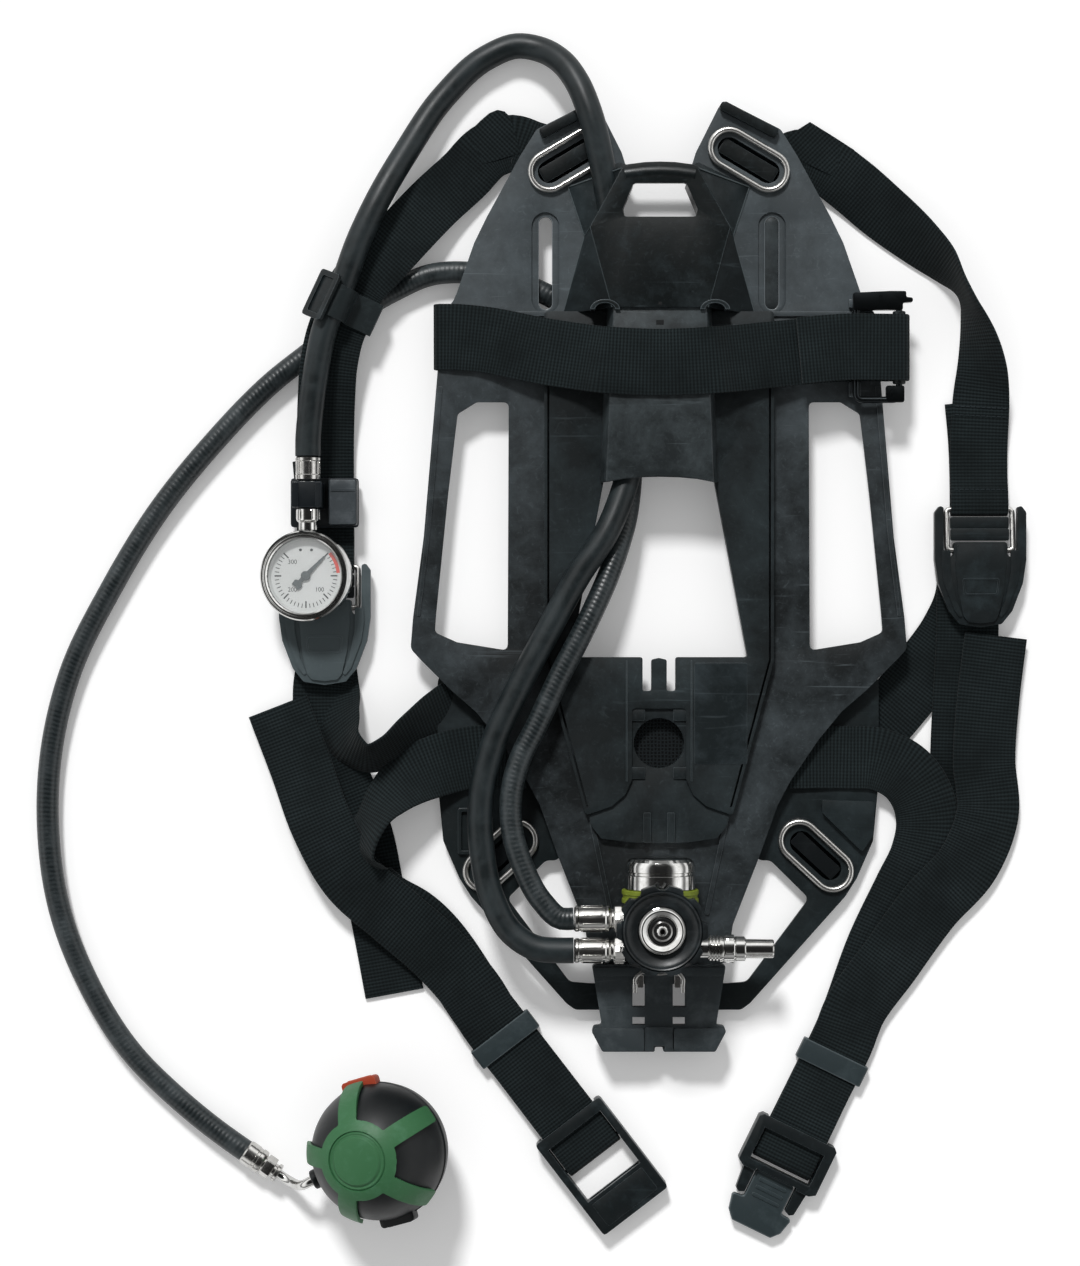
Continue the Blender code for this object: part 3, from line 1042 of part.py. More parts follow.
def build_valve(black, green, red, chrome, rubber):
    """The demand valve: hollow housing, ribbed cover, buttons and diaphragm."""
    centre = frame_empty("valve_frame", VALVE_PLACE, (0, VALVE_TILT, 0))

    def sphere(radius, low, high, steps=8):
        first, last = math.acos(high / radius), math.acos(low / radius)
        angles = [first + (last - first) * k / steps for k in range(steps + 1)]
        return [(radius * math.sin(a), radius * math.cos(a)) for a in angles]

    def top(radius):
        return math.sqrt(radius ** 2 - (BUTTON_R + GAP) ** 2)

    inner_r = VALVE_R - VALVE_WALL
    mouth = math.sqrt(VALVE_R ** 2 - VALVE_MOUTH_R ** 2)
    inner_mouth = math.sqrt(inner_r ** 2 - VALVE_MOUTH_R ** 2)
    shell = sphere(VALVE_R, VALVE_FOOT, mouth)
    hollow = sphere(inner_r, VALVE_FOOT + 3, inner_mouth)
    profile = shell + [(VALVE_OUTLET_R, VALVE_FOOT), (VALVE_OUTLET_R, VALVE_FOOT + 3)] + hollow[::-1]
    housing = turned("valve_housing", profile, black, centre, steps=24, closed=True)
    boss_end = VALVE_R + 5
    boss = turned("inlet_boss", [(0, boss_end), (INLET_R - 1, boss_end), (INLET_R, boss_end - 1),
                                 (INLET_R, VALVE_R - 5.8), (0, VALVE_R - 5.8)], steps=16)
    join(housing, aim(boss, inlet_point(0), inlet_point(1)))
    bore_r = ELBOW_R + RUNNING_GAP
    bore = turned("inlet_bore", [(0, boss_end + 14), (bore_r, boss_end + 14), (bore_r, VALVE_R - 11),
                                 (0, VALVE_R - 11)], steps=16)
    cut(housing, aim(bore, inlet_point(0), inlet_point(1)))
    for name, angle, material in (("bypass_button", BYPASS_ANGLE, red),
                                  ("release_button", RELEASE_ANGLE, black)):
        pivot = frame_empty(name + "_frame", (0, 0, 0), (0, 0, angle))
        pivot.parent = centre
        wide, deep, tall = SIDE_BUTTON_SIZE
        outline = rounded(box_outline(SIDE_BUTTON_REACH - deep, SIDE_BUTTON_REACH, -wide / 2, wide / 2),
                          2.5)
        prism(name, [outline], -tall / 2, tall / 2, material, pivot)
        room = box_outline(SIDE_BUTTON_REACH - deep - 6, SIDE_BUTTON_REACH + 6, -wide / 2 - GAP,
                           wide / 2 + GAP)
        cut(housing, prism(name + "_room", [room], -tall / 2 - GAP, tall / 2 + GAP, parent=centre))
        housing.modifiers[-1].object.rotation_euler = (0, 0, math.radians(angle))
    low_r = VALVE_R + 2 * GAP
    high_r = low_r + COVER_WALL
    shell = sphere(high_r, -2, top(high_r)) + sphere(low_r, -2, top(low_r))[::-1]
    cover = turned("valve_cover", shell, green, centre, steps=24, closed=True)
    above = VALVE_R + 19
    star = turned("cover_ring", [(0, above), (COVER_RING_R, above), (COVER_RING_R, 4), (0, 4)],
                  parent=centre, steps=24)
    for angle in COVER_ARM_ANGLES:
        limb = box_outline(8, above, -COVER_ARM_HALF, COVER_ARM_HALF)
        arm = prism("cover_arm", [limb], COVER_LOW, above + 1, parent=centre)
        arm.rotation_euler = (0, 0, math.radians(angle))
        join(star, arm)
    tool_for(cover, star, "INTERSECT")
    turned("purge_button", [(0, BUTTON_TOP), (BUTTON_R * 0.5, BUTTON_TOP - 0.8),
                            (BUTTON_R - 1, BUTTON_TOP - 3),
                            (BUTTON_R, BUTTON_TOP - 4), (BUTTON_R, BUTTON_LOW), (0, BUTTON_LOW)], green,
           centre, steps=24)
    rim = math.sqrt(inner_r ** 2 - DIAPHRAGM_Z ** 2) - 1.0
    turned("valve_diaphragm", [(0, DIAPHRAGM_Z), (rim, DIAPHRAGM_Z), (rim, DIAPHRAGM_Z - 1.2),
                               (0, DIAPHRAGM_Z - 1.2)],
           rubber, centre, steps=24)


def build_air_pack():
    """Build every piece of the pack."""
    start_scene()
    plastic = finish("moulded_plate", "#2B3032", 0.55)
    webbing = finish("webbing", "#161D1E", 0.9)
    steel = finish("steel_wire", "#C9C9C6", 0.25, 1.0)
    chrome = finish("chrome", "#D9D9D6", 0.12, 1.0)
    brass = finish("brass", "#B08D4A", 0.35, 1.0)
    rubber = finish("hose_rubber", "#262A2C", 0.6)
    buckle = finish("buckle_plastic", "#20272A", 0.5)
    foam = finish("pad_mesh", "#101314", 0.95)
    white = finish("dial_white", "#D8D7CE", 0.5)
    glass = finish("lens", "#E8EEF0", 0.05)
    green = finish("cover_green", "#437A50", 0.5)
    red = finish("button_red", "#A5462F", 0.5)
    olive = finish("collar_olive", "#7E8C2B", 0.5)
    build_backplate(plastic)
    build_pad(foam)
    build_foot(plastic, steel)
    build_rings(steel)
    build_cylinder_strap(webbing, steel, buckle)
    build_harness(webbing, buckle, steel)
    build_buckle(buckle)
    build_hose_keeper(rubber)
    build_reducer(plastic, chrome, olive, rubber, steel)
    build_hoses(rubber, chrome)
    build_gauge(chrome, white, glass, buckle, brass, buckle)
    build_valve(buckle, green, red, chrome, rubber)
    bpy.context.view_layer.update()


build_air_pack()
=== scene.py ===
"""Looks of the air pack: moulded plate, webbing harness, reducer, hoses, gauge and demand valve.

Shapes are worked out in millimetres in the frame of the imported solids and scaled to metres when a
piece is finished. +Z points away from the wearer and +Y towards the shoulders.
"""
from __future__ import annotations

import json
import logging
import math
from dataclasses import dataclass, field, replace
from enum import Enum
from typing import Any, Callable, Iterable, Sequence

import bmesh
import bpy
import numpy as np
from mathutils import Matrix, Vector

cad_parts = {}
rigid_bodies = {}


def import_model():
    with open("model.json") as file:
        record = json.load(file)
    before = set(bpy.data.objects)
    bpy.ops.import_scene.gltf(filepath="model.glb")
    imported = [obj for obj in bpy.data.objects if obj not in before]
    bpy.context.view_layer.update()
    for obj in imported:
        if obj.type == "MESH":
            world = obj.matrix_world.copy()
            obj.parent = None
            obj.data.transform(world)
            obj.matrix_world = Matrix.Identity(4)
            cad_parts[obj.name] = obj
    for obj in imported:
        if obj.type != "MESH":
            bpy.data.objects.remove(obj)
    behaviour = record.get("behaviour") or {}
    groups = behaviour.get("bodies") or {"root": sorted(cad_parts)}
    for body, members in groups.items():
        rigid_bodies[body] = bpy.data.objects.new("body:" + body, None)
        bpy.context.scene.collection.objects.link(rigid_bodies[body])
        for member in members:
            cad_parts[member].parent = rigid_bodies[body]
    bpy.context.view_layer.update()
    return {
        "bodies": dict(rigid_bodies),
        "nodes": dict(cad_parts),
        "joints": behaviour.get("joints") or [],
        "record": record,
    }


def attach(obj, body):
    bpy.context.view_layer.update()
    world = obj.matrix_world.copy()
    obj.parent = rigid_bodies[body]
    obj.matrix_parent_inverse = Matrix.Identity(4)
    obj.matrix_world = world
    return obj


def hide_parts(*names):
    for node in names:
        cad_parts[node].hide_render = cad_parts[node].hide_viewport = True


LOG = logging.getLogger("air_pack")
# Metres in a millimetre.
MM = 0.001
# Thickness of the webbing, and the heights at which a strap and the supply hose lie on the floor, in mm.
WEB = 2.0
STRAP_LIES = 1.35
HOSE_LIES = 7.1
# Name of the UV map along straps and hoses, in mm.
WEAVE = "weave"

Point = tuple[float, float]
Station = tuple[float, float, float]
Socket = bpy.types.NodeSocket


class Body(str, Enum):
    """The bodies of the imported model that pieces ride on."""

    PACK = "pack"
    WHEEL = "handwheel"
    POINTER = "pointer"
    LEFT_ADJUSTER = "left_adjuster"
    RIGHT_ADJUSTER = "right_adjuster"
    LEFT_KEEPER = "left_keeper"
    RIGHT_KEEPER = "right_keeper"
    LATCH = "latch"
    ROLLER = "roller"
    VALVE = "demand_valve"
    PURGE = "purge"
    BYPASS = "bypass"
    RELEASE = "release"


class Side(Enum):
    """The two sides of the harness, by the sign of X."""

    RIGHT = 1
    LEFT = -1

    @property
    def word(self) -> str:
        """The side's name in the node names."""
        return self.name.lower()


def spin(degrees: float, axis: str = "Z") -> Matrix:
    """A turn about an axis."""
    return Matrix.Rotation(math.radians(degrees), 4, axis)


def laid(x: float, y: float, heading: float) -> Matrix:
    """A place on the floor, turned to a heading in degrees."""
    return Matrix.Translation((x, y, 0)) @ spin(heading)


def aimed(way: Vector) -> Matrix:
    """A turn that lays the Z axis along a direction."""
    return way.to_track_quat("Z", "Y").to_matrix().to_4x4()


class Axis(Enum):
    """Turns about X and Y, in degrees, that lay a turned piece's Z axis along another axis."""

    X = (0.0, 90.0)
    MINUS_X = (0.0, -90.0)
    Y = (-90.0, 0.0)

    def matrix(self, x: float = 0.0, y: float = 0.0, z: float = 0.0) -> Matrix:
        """The axis turned into place at a point."""
        return Matrix.Translation((x, y, z)) @ (spin(self.value[1], "Y") @ spin(self.value[0], "X"))


def linear(colour: str) -> tuple[float, float, float, float]:
    """An sRGB hex colour as linear RGBA.

    Args:
        colour: the colour as #RRGGBB.

    Returns:
        Four linear channels.
    """
    channels = [int(colour[i:i + 2], 16) / 255 for i in (1, 3, 5)]
    return (*(c / 12.92 if c <= 0.04045 else ((c + 0.055) / 1.055) ** 2.4 for c in channels), 1.0)


def paler(colour: str, share: float) -> str:
    """A hex colour mixed with some white."""
    channels = [int(colour[i:i + 2], 16) for i in (1, 3, 5)]
    return "#" + "".join(f"{round(c + (255 - c) * share):02X}" for c in channels)


def add_node(tree: bpy.types.NodeTree, kind: str, inputs: dict[Any, Any] | None = None,
             **settings: Any) -> bpy.types.Node:
    """Add a node with its settings, values and links.

    Args:
        tree: the node tree.
        kind: the node's type name.
        inputs: input name or index to a value, or to an output socket to link from.
        settings: attributes of the node.

    Returns:
        The new node.
    """
    made = tree.nodes.new(kind)
    for key, value in settings.items():
        setattr(made, key, value)
    for key, value in (inputs or {}).items():
        if isinstance(value, bpy.types.NodeSocket):
            tree.links.new(value, made.inputs[key])
        else:
            made.inputs[key].default_value = value
    return made


def per_metre(size_mm: float) -> float:
    """Texture scale that gives features of a size in millimetres on Object coordinates."""
    return 1000.0 / size_mm


def noise(tree: bpy.types.NodeTree, where: Socket, size_mm: float, detail: float, roughness: float = 0.5,
          distortion: float = 0.0) -> Socket:
    """Add soft noise with features of a size.

    Args:
        tree: the node tree.
        where: the coordinates.
        size_mm: size of the features.
        detail: layers of finer noise.
        roughness: strength of those layers.
        distortion: how far the noise is pulled about.

    Returns:
        The noise's value.
    """
    return add_node(tree, "ShaderNodeTexNoise", {
        "Vector": where, "Scale": per_metre(size_mm), "Detail": detail, "Roughness": roughness,
        "Distortion": distortion}).outputs[0]


def spread(tree: bpy.types.NodeTree, value: Socket, low: float, high: float, to_low: float = 0.0,
           to_high: float = 1.0) -> Socket:
    """Add a map from one range of a value to another, held at both ends.

    Args:
        tree: the node tree.
        value: the value.
        low: start of its range.
        high: end of its range.
        to_low: what the start becomes.
        to_high: what the end becomes.

    Returns:
        The mapped value.
    """
    return add_node(tree, "ShaderNodeMapRange", {
        "Value": value, "From Min": low, "From Max": high, "To Min": to_low, "To Max": to_high}).outputs[0]


def combined(tree: bpy.types.NodeTree, operation: str, *values: Any, clamp: bool = False) -> Socket:
    """Add a sum of values.

    Args:
        tree: the node tree.
        operation: Blender's name of the sum.
        values: numbers or sockets.
        clamp: whether the result stays between 0 and 1.

    Returns:
        The result.
    """
    return add_node(tree, "ShaderNodeMath", dict(enumerate(values)), operation=operation,
                    use_clamp=clamp).outputs[0]


def blended(tree: bpy.types.NodeTree, share: Socket, first: str, second: str) -> Socket:
    """Add a mix of two hex colours by a share of the second."""
    return add_node(tree, "ShaderNodeMix", {0: share, 6: linear(first), 7: linear(second)},
                    data_type="RGBA").outputs[2]


def bumped(tree: bpy.types.NodeTree, height: Socket, strength: float, depth_mm: float) -> Socket:
    """Add a relief of some depth."""
    return add_node(tree, "ShaderNodeBump", {
        "Height": height, "Strength": strength, "Distance": depth_mm * MM}).outputs[0]


def object_place(tree: bpy.types.NodeTree) -> Socket:
    """Add the place on the object, in metres."""
    return add_node(tree, "ShaderNodeTexCoord").outputs["Object"]


def weave_place(tree: bpy.types.NodeTree) -> tuple[Socket, Socket]:
    """Add the place along and across a strap or hose, in millimetres."""
    place = add_node(tree, "ShaderNodeUVMap", uv_map=WEAVE).outputs[0]
    return tuple(add_node(tree, "ShaderNodeSeparateXYZ", {0: place}).outputs)[:2]


def waves(tree: bpy.types.NodeTree, along: Socket, length_mm: float) -> Socket:
    """Add a sine wave of a length."""
    return combined(tree, "SINE", combined(tree, "MULTIPLY", along, 2 * math.pi / length_mm))


def feed(tree: bpy.types.NodeTree, shader: bpy.types.Node, links: dict[str, Socket]) -> None:
    """Link sockets to a shader's inputs by name."""
    for name, socket in links.items():
        tree.links.new(socket, shader.inputs[name])


@dataclass(frozen=True)
class Finish:
    """A procedural material; each kind of surface adds its own pattern."""

    name: str
    slot: str
    colour: str
    roughness: float = 0.5
    specular: float = 0.4

    def material(self) -> bpy.types.Material:
        """Make the Blender material.

        Returns:
            The material with its nodes linked.
        """
        made = bpy.data.materials.new(self.name)
        made.use_nodes = True
        tree = made.node_tree
        shader = tree.nodes["Principled BSDF"]
        shader.inputs["Base Color"].default_value = linear(self.colour)
        shader.inputs["Roughness"].default_value = self.roughness
        shader.inputs["Specular IOR Level"].default_value = self.specular
        self.pattern(tree, shader)
        return made

    def edge_wear_and_highlight(self) -> Finish:
        """The finish of edges, which most surfaces share with the rest; some make it paler for wear and a
        painted highlight.
        """
        return self

    def pattern(self, tree: bpy.types.NodeTree, shader: bpy.types.Node) -> None:
        """Link the surface's own pattern to its shader."""


@dataclass(frozen=True)
class Moulded(Finish):
    """Injection-moulded plastic: satin skin, fine spark-eroded grain and cloudy flow marks."""

    cloud: str = "#3C4245"
    cloud_mm: float = 46.0
    cloud_from: float = 0.5
    cloud_to: float = 0.78
    grain_mm: float = 1.1
    grain: float = 0.12
    scuff_mm: float = 6.0
    scuff: float = 0.35
    # Hair scratches to the metre along X, Y and Z: long across the plate and close together.
    hairs: Station = (14.0, 300.0, 60.0)
    # How much paler a painted sheen makes the plastic towards the shoulders, where the light comes from, and
    # the Y in metres where that starts and ends.
    fade: float = 0.0
    fade_from: float = 0.12
    fade_to: float = 0.3
    # Whether the edges get a paler finish, and how much paler: wear, and a painted highlight along the edges.
    worn_highlit_edges: bool = True
    edge: float = 0.04

    def edge_wear_and_highlight(self) -> Finish:
        """The paler look of the same plastic on its edges: wear, and a painted highlight along them.

        Returns:
            The finish for edges.
        """
        if not self.worn_highlit_edges:
            return self
        return replace(self, name=self.name + "_edge", colour=paler(self.cloud, self.edge),
                       cloud=paler(self.cloud, self.edge + 0.12), roughness=self.roughness - 0.08)

    def pattern(self, tree: bpy.types.NodeTree, shader: bpy.types.Node) -> None:
        """Cloudy flow marks, scuffs and hair scratches, a painted sheen towards the shoulders, uneven gloss
        and a fine grain.

        Args:
            tree: the material's nodes.
            shader: the shader to feed.
        """
        where = object_place(tree)
        flow = noise(tree, where, self.cloud_mm, 8.0, 0.68, 0.2)
        clouds = spread(tree, flow, self.cloud_from, self.cloud_to)
        marks = spread(tree, noise(tree, where, self.scuff_mm, 5.0, 0.7, 2.2), 0.56, 0.8, 0.0, self.scuff)
        drawn = add_node(tree, "ShaderNodeVectorMath", {0: where, 1: self.hairs}, operation="MULTIPLY")
        hair = noise(tree, drawn.outputs[0], 1 / MM, 3.0, 0.5, 1.4)
        lines = spread(tree, hair, 0.66, 0.74, 0.0, self.scuff)
        # Painted sheen: paler towards the shoulders, where the light comes from.
        along = add_node(tree, "ShaderNodeSeparateXYZ", {0: where}).outputs[1]
        painted_sheen = spread(tree, along, self.fade_from, self.fade_to, 0.0, self.fade)
        base = combined(tree, "ADD", clouds, painted_sheen)
        share = combined(tree, "ADD", base, combined(tree, "MAXIMUM", marks, lines), clamp=True)
        grit = noise(tree, where, self.grain_mm, 2.0)
        feed(tree, shader, {
            "Base Color": blended(tree, share, self.colour, self.cloud),
            "Roughness": spread(tree, flow, 0.3, 0.75, self.roughness + 0.1, self.roughness - 0.1),
            "Normal": bumped(tree, grit, self.grain, 0.2)})


@dataclass(frozen=True)
class Woven(Finish):
    """Polyester webbing: rows of weft ribs over close warp columns, dull with a slight sheen.

    The real rib spacing of about 1.4 mm is drawn coarser so that it shows in the render.
    """

    # Colour of the rib tops: a painted highlight.
    rib: str = "#2A3133"
    rib_mm: float = 2.1
    warp: float = 0.4
    dust_mm: float = 38.0

    def pattern(self, tree: bpy.types.NodeTree, shader: bpy.types.Node) -> None:
        """Ribs along the strap's own UV with their tops painted paler as highlight, broken up by the warp and
        by worn, dusty patches.

        Args:
            tree: the material's nodes.
            shader: the shader to feed.
        """
        weft, warp = (waves(tree, way, self.rib_mm) for way in weave_place(tree))
        height = combined(tree, "MULTIPLY_ADD", warp, self.warp, weft)
        lit = spread(tree, height, -1 - self.warp, 1 + self.warp)
        dust = noise(tree, object_place(tree), self.dust_mm, 6.0, 0.65)
        share = combined(tree, "MULTIPLY", lit, spread(tree, dust, 0.3, 0.75, 0.25, 1.0))
        feed(tree, shader, {"Base Color": blended(tree, share, self.colour, self.rib),
                            "Normal": bumped(tree, height, 0.45, 0.3)})
        shader.inputs["Sheen Weight"].default_value = 0.06
        shader.inputs["Sheen Roughness"].default_value = 0.5


@dataclass(frozen=True)
class Hose(Finish):
    """Extruded rubber cover, with the fine spiral left by the wrapping tape where it has one."""

    wrap: str = "#3A3F42"
    wrap_mm: float = 3.0
    spiral: float = 1.0
    girth_mm: float = 42.4
    dust_mm: float = 22.0

    def pattern(self, tree: bpy.types.NodeTree, shader: bpy.types.Node) -> None:
        """A spiral along the hose's own UV, dusty streaks and a soft sheen.

        Args:
            tree: the material's nodes.
            shader: the shader to feed.
        """
        along, round_it = weave_place(tree)
        lead = combined(tree, "MULTIPLY_ADD", round_it, self.wrap_mm / self.girth_mm, along)
        wave = waves(tree, lead, self.wrap_mm)
        dust = noise(tree, object_place(tree), self.dust_mm, 6.0, 0.7, 0.5)
        fleck = spread(tree, dust, 0.4, 0.8, 0.0, 0.8)
        share = combined(tree, "MAXIMUM", spread(tree, wave, -1.0, 1.0, 0.0, 0.5 * self.spiral), fleck)
        feed(tree, shader, {
            "Base Color": blended(tree, share, self.colour, self.wrap),
            "Roughness": spread(tree, dust, 0.3, 0.7, self.roughness - 0.06, self.roughness + 0.12),
            "Normal": bumped(tree, wave, 0.35 * self.spiral, 0.3)})


@dataclass(frozen=True)
class Metal(Finish):
    """Plated or bare metal: mirror-like, with faint handling marks."""

    tarnish: str = "#A9A7A2"
    haze_mm: float = 9.0
    grain_mm: float = 5.0

    def pattern(self, tree: bpy.types.NodeTree, shader: bpy.types.Node) -> None:
        """Uneven polish and faint dents.

        Args:
            tree: the material's nodes.
            shader: the shader to feed.
        """
        shader.inputs["Metallic"].default_value = 1.0
        where = object_place(tree)
        haze = noise(tree, where, self.haze_mm, 6.0, 0.7, 0.8)
        dull = spread(tree, haze, 0.42, 0.85)
        feed(tree, shader, {
            "Base Color": blended(tree, dull, self.colour, self.tarnish),
            "Roughness": spread(tree, haze, 0.3, 0.8, self.roughness - 0.04, self.roughness + 0.08),
            "Normal": bumped(tree, noise(tree, where, self.grain_mm, 3.0), 0.04, 0.2)})


@dataclass(frozen=True)
class MeshCloth(Finish):
    """Spacer mesh over foam: small open cells in a soft knitted skin."""

    cell_mm: float = 3.2
    thread: str = "#2C3133"

    def pattern(self, tree: bpy.types.NodeTree, shader: bpy.types.Node) -> None:
        """Open cells with paler threads between them.

        Args:
            tree: the material's nodes.
            shader: the shader to feed.
        """
        cells = add_node(tree, "ShaderNodeTexVoronoi", {
            "Vector": object_place(tree), "Scale": per_metre(self.cell_mm), "Randomness": 0.25},
            feature="DISTANCE_TO_EDGE")
        thread = spread(tree, cells.outputs[0], 0.06, 0.3, 1.0, 0.0)
        feed(tree, shader, {"Base Color": blended(tree, thread, self.colour, self.thread),
                            "Normal": bumped(tree, thread, 0.8, 0.6)})
        shader.inputs["Sheen Weight"].default_value = 0.1


@dataclass(frozen=True)
class Clear(Finish):
    """Thin clear glass over the dial: almost all of what is under it shows."""

    smear_mm: float = 14.0
    cover: float = 0.07

    def pattern(self, tree: bpy.types.NodeTree, shader: bpy.types.Node) -> None:
        """Mostly see-through, with a faint smear in its gloss.

        Args:
            tree: the material's nodes.
            shader: the shader to feed.
        """
        smear = noise(tree, object_place(tree), self.smear_mm, 4.0)
        feed(tree, shader, {"Roughness": spread(tree, smear, 0.0, 1.0, 0.02, 0.12)})
        shader.inputs["Alpha"].default_value = self.cover


# Glass-filled nylon, moulded: a satin black that clouds to grey, with pale scuffs, and paler edges for wear
# and a painted highlight.
PLATE = Moulded("plate_glass_filled_nylon", "plate", "#0A1113", 0.42, 0.35, cloud="#374043",
                cloud_from=0.42, cloud_to=0.9, scuff=0.5)
# The same nylon where it has greyed with use, with a painted sheen that makes it paler towards the shoulders.
WING = Moulded("wing_glass_filled_nylon", "plate", "#0A1012", 0.42, 0.35, cloud="#525A5E", cloud_mm=40.0,
               cloud_from=0.42, cloud_to=0.98, scuff=0.45, fade=0.44)
# The same nylon on the bridge, evenly rubbed to a mid grey; its edges get no paler finish of wear and painted
# highlight.
BRIDGE = Moulded("bridge_glass_filled_nylon", "plate", "#1A2022", 0.42, 0.35, cloud="#4A5255",
                 cloud_mm=30.0, cloud_from=0.42, cloud_to=0.8, scuff=0.5, worn_highlit_edges=False)
# The same nylon round the handle, darker and a little glossier, with many scratches.
SADDLE = Moulded("saddle_glass_filled_nylon", "plate", "#090F10", 0.36, 0.35, cloud="#353D40",
                 cloud_mm=30.0, cloud_from=0.5, cloud_to=0.88, scuff=0.6)
# The same nylon on the hip layer, less handled and so more even.
HIP = Moulded("hip_glass_filled_nylon", "plate", "#11191B", 0.4, 0.35, cloud="#363F42", cloud_from=0.48,
              cloud_to=0.9)
# The same nylon on the foot, worn to a dusty grey.
FOOT = Moulded("foot_glass_filled_nylon", "plate", "#2E3538", 0.42, 0.35, cloud="#50575A", cloud_mm=30.0)
# Polyester film: smoother and glossier than the plastic under it.
PANEL = Moulded("name_panel_gloss_film", "plate", "#141B1D", 0.34, 0.3, cloud="#3E464A", cloud_from=0.46,
                cloud_to=0.82, grain=0.02)
# Moulded rubber behind the rings: matt and almost black.
BACKING = Moulded("ring_backing_rubber", "plate", "#0B0F11", 0.7, 0.1, cloud="#15191B", cloud_mm=12.0)
# Moulded nylon handwheel: black with a soft gloss on its lobes.
WHEEL = Moulded("wheel_moulded_nylon", "plate", "#0D1214", 0.38, 0.4, cloud="#343B3E", cloud_mm=25.0)
# Black paint on cast brass: even and deep, hardly clouded.
BODY = Moulded("reducer_black_paint", "plate", "#0D1113", 0.42, 0.25, cloud="#1B2124", cloud_mm=20.0)
# Moulded acetal: slick and black, with clearly paler edges for wear and a painted highlight along them.
ACETAL = Moulded("buckle_acetal", "buckle", "#0D1416", 0.4, 0.35, cloud="#2E373A", cloud_mm=26.0, edge=0.12)
# Moulded acetal of the right adjuster: slick and black.
ADJUSTER = Moulded("adjuster_acetal", "buckle", "#0E1517", 0.42, 0.35, cloud="#2C3538", cloud_mm=24.0)
# Moulded acetal of the left adjuster, which light has faded to grey.
PALE_ADJUSTER = Moulded("adjuster_faded_acetal", "buckle", "#434D50", 0.46, 0.35, cloud="#586265",
                        cloud_mm=34.0)
# Moulded nylon of the keepers: dark grey and satin. The latch takes it too, paler than the buckle as painted
# light on its inclined face.
KEEPER_AND_LIT_LATCH = Moulded("keeper_nylon_and_painted_latch_light", "buckle", "#293336", 0.42, 0.3, cloud="#3E484B", cloud_mm=20.0)
# Moulded polyamide of the holder's block: a dull mid grey, quite uneven.
CLIP_GREY = Moulded("holder_grey_polyamide", "buckle", "#353B3F", 0.5, 0.3, cloud="#595F63", cloud_mm=16.0,
                    cloud_from=0.42, cloud_to=0.75)
# Moulded polyamide of the holder's clip: nearly black and satin.
CLIP_DARK = Moulded("holder_dark_polyamide", "buckle", "#0E1418", 0.4, 0.3, cloud="#1B2227", cloud_mm=18.0)
# Soft-touch rubber moulded over the valve: deep black with a broad, soft highlight.
SHELL = Moulded("valve_soft_touch_rubber", "buckle", "#080C0E", 0.42, 0.35, cloud="#12181A", cloud_mm=30.0)
# Coloured polyamide, moulded: a dusty mid green with pale scuffs.
GREEN = Moulded("cover_green_polyamide", "green", "#33633F", 0.48, 0.3, cloud="#477456", cloud_mm=24.0,
                scuff=0.5)
# Coloured polyamide, moulded: a brick red button.
RED = Moulded("button_red_polyamide", "red", "#9A3A22", 0.5, 0.25, cloud="#AF5238", cloud_mm=12.0)
# Coloured polyamide, moulded: an olive band between chrome and black.
OLIVE = Moulded("collar_olive_polyamide", "olive", "#6E7B22", 0.5, 0.25, cloud="#84923A", cloud_mm=10.0)
# Moulded rubber band: dull, dusty black.
BAND = Moulded("band_rubber", "rubber", "#161E20", 0.55, 0.25, cloud="#353E41", cloud_mm=18.0)
# Moulded seal rubber: matt black. The same black is laid as thin patches over small holes and ports, as
# painted shade in them.
SEAL_AND_HOLE_SHADE = Moulded("seal_rubber", "rubber", "#0A0C0D", 0.6, 0.25, cloud="#151819", cloud_mm=6.0)
# Woven polyester: fine ribs across the strap, black, with the rib tops painted paler as highlight, most where
# it is dusty.
WEBBING = Woven("webbing_polyester", "webbing", "#080D0E", 0.85, 0.1, rib="#273032")
# Tape-wrapped rubber hose: a faint close spiral and a grey sheen.
SUPPLY_RUBBER = Hose("supply_hose_wrapped_rubber", "rubber", "#11181A", 0.36, 0.45, wrap="#454D50",
                     wrap_mm=2.8, spiral=0.5)
# Extruded rubber hose: smooth and black with a long soft highlight.
GAUGE_RUBBER = Hose("gauge_hose_smooth_rubber", "rubber", "#0D1517", 0.42, 0.36, wrap="#2C3538", spiral=0.0)
# Polished chrome plate on turned brass: near-mirror bands of light and dark.
CHROME = Metal("chrome_plate", "chrome", "#DCDCDA", 0.1, 0.5)
# Satin chrome on crimped ferrules: the same bands, blurred.
SATIN_CHROME = Metal("satin_chrome_plate", "chrome", "#D2D1CE", 0.2, 0.5)
# Drawn stainless wire: bright with a soft line of light along it.
WIRE = Metal("stainless_wire", "steel", "#DEDDDA", 0.3, 0.5)
# Black oxide on bent steel: dark metal with a dim gleam.
BLACK_STEEL = Metal("black_oxide_steel", "steel", "#34383A", 0.3, 0.5, tarnish="#232628")
# Knitted spacer mesh: black cells with dull threads between them.
MESH = MeshCloth("pad_spacer_mesh", "pad", "#060809", 0.95, 0.1, cell_mm=2.2, thread="#1A1F21")
# Flat gauge glass: only its gloss shows.
GLASS = Clear("gauge_glass", "lens", "#F2F5F5", 0.05, 0.5)
# Printed enamel on the dial: flat and off-white.
DIAL = Moulded("dial_printed_enamel", "dial", "#CDCFCE", 0.45, 0.3, cloud="#C4C6C4", cloud_mm=14.0,
               grain=0.03, scuff=0.1)
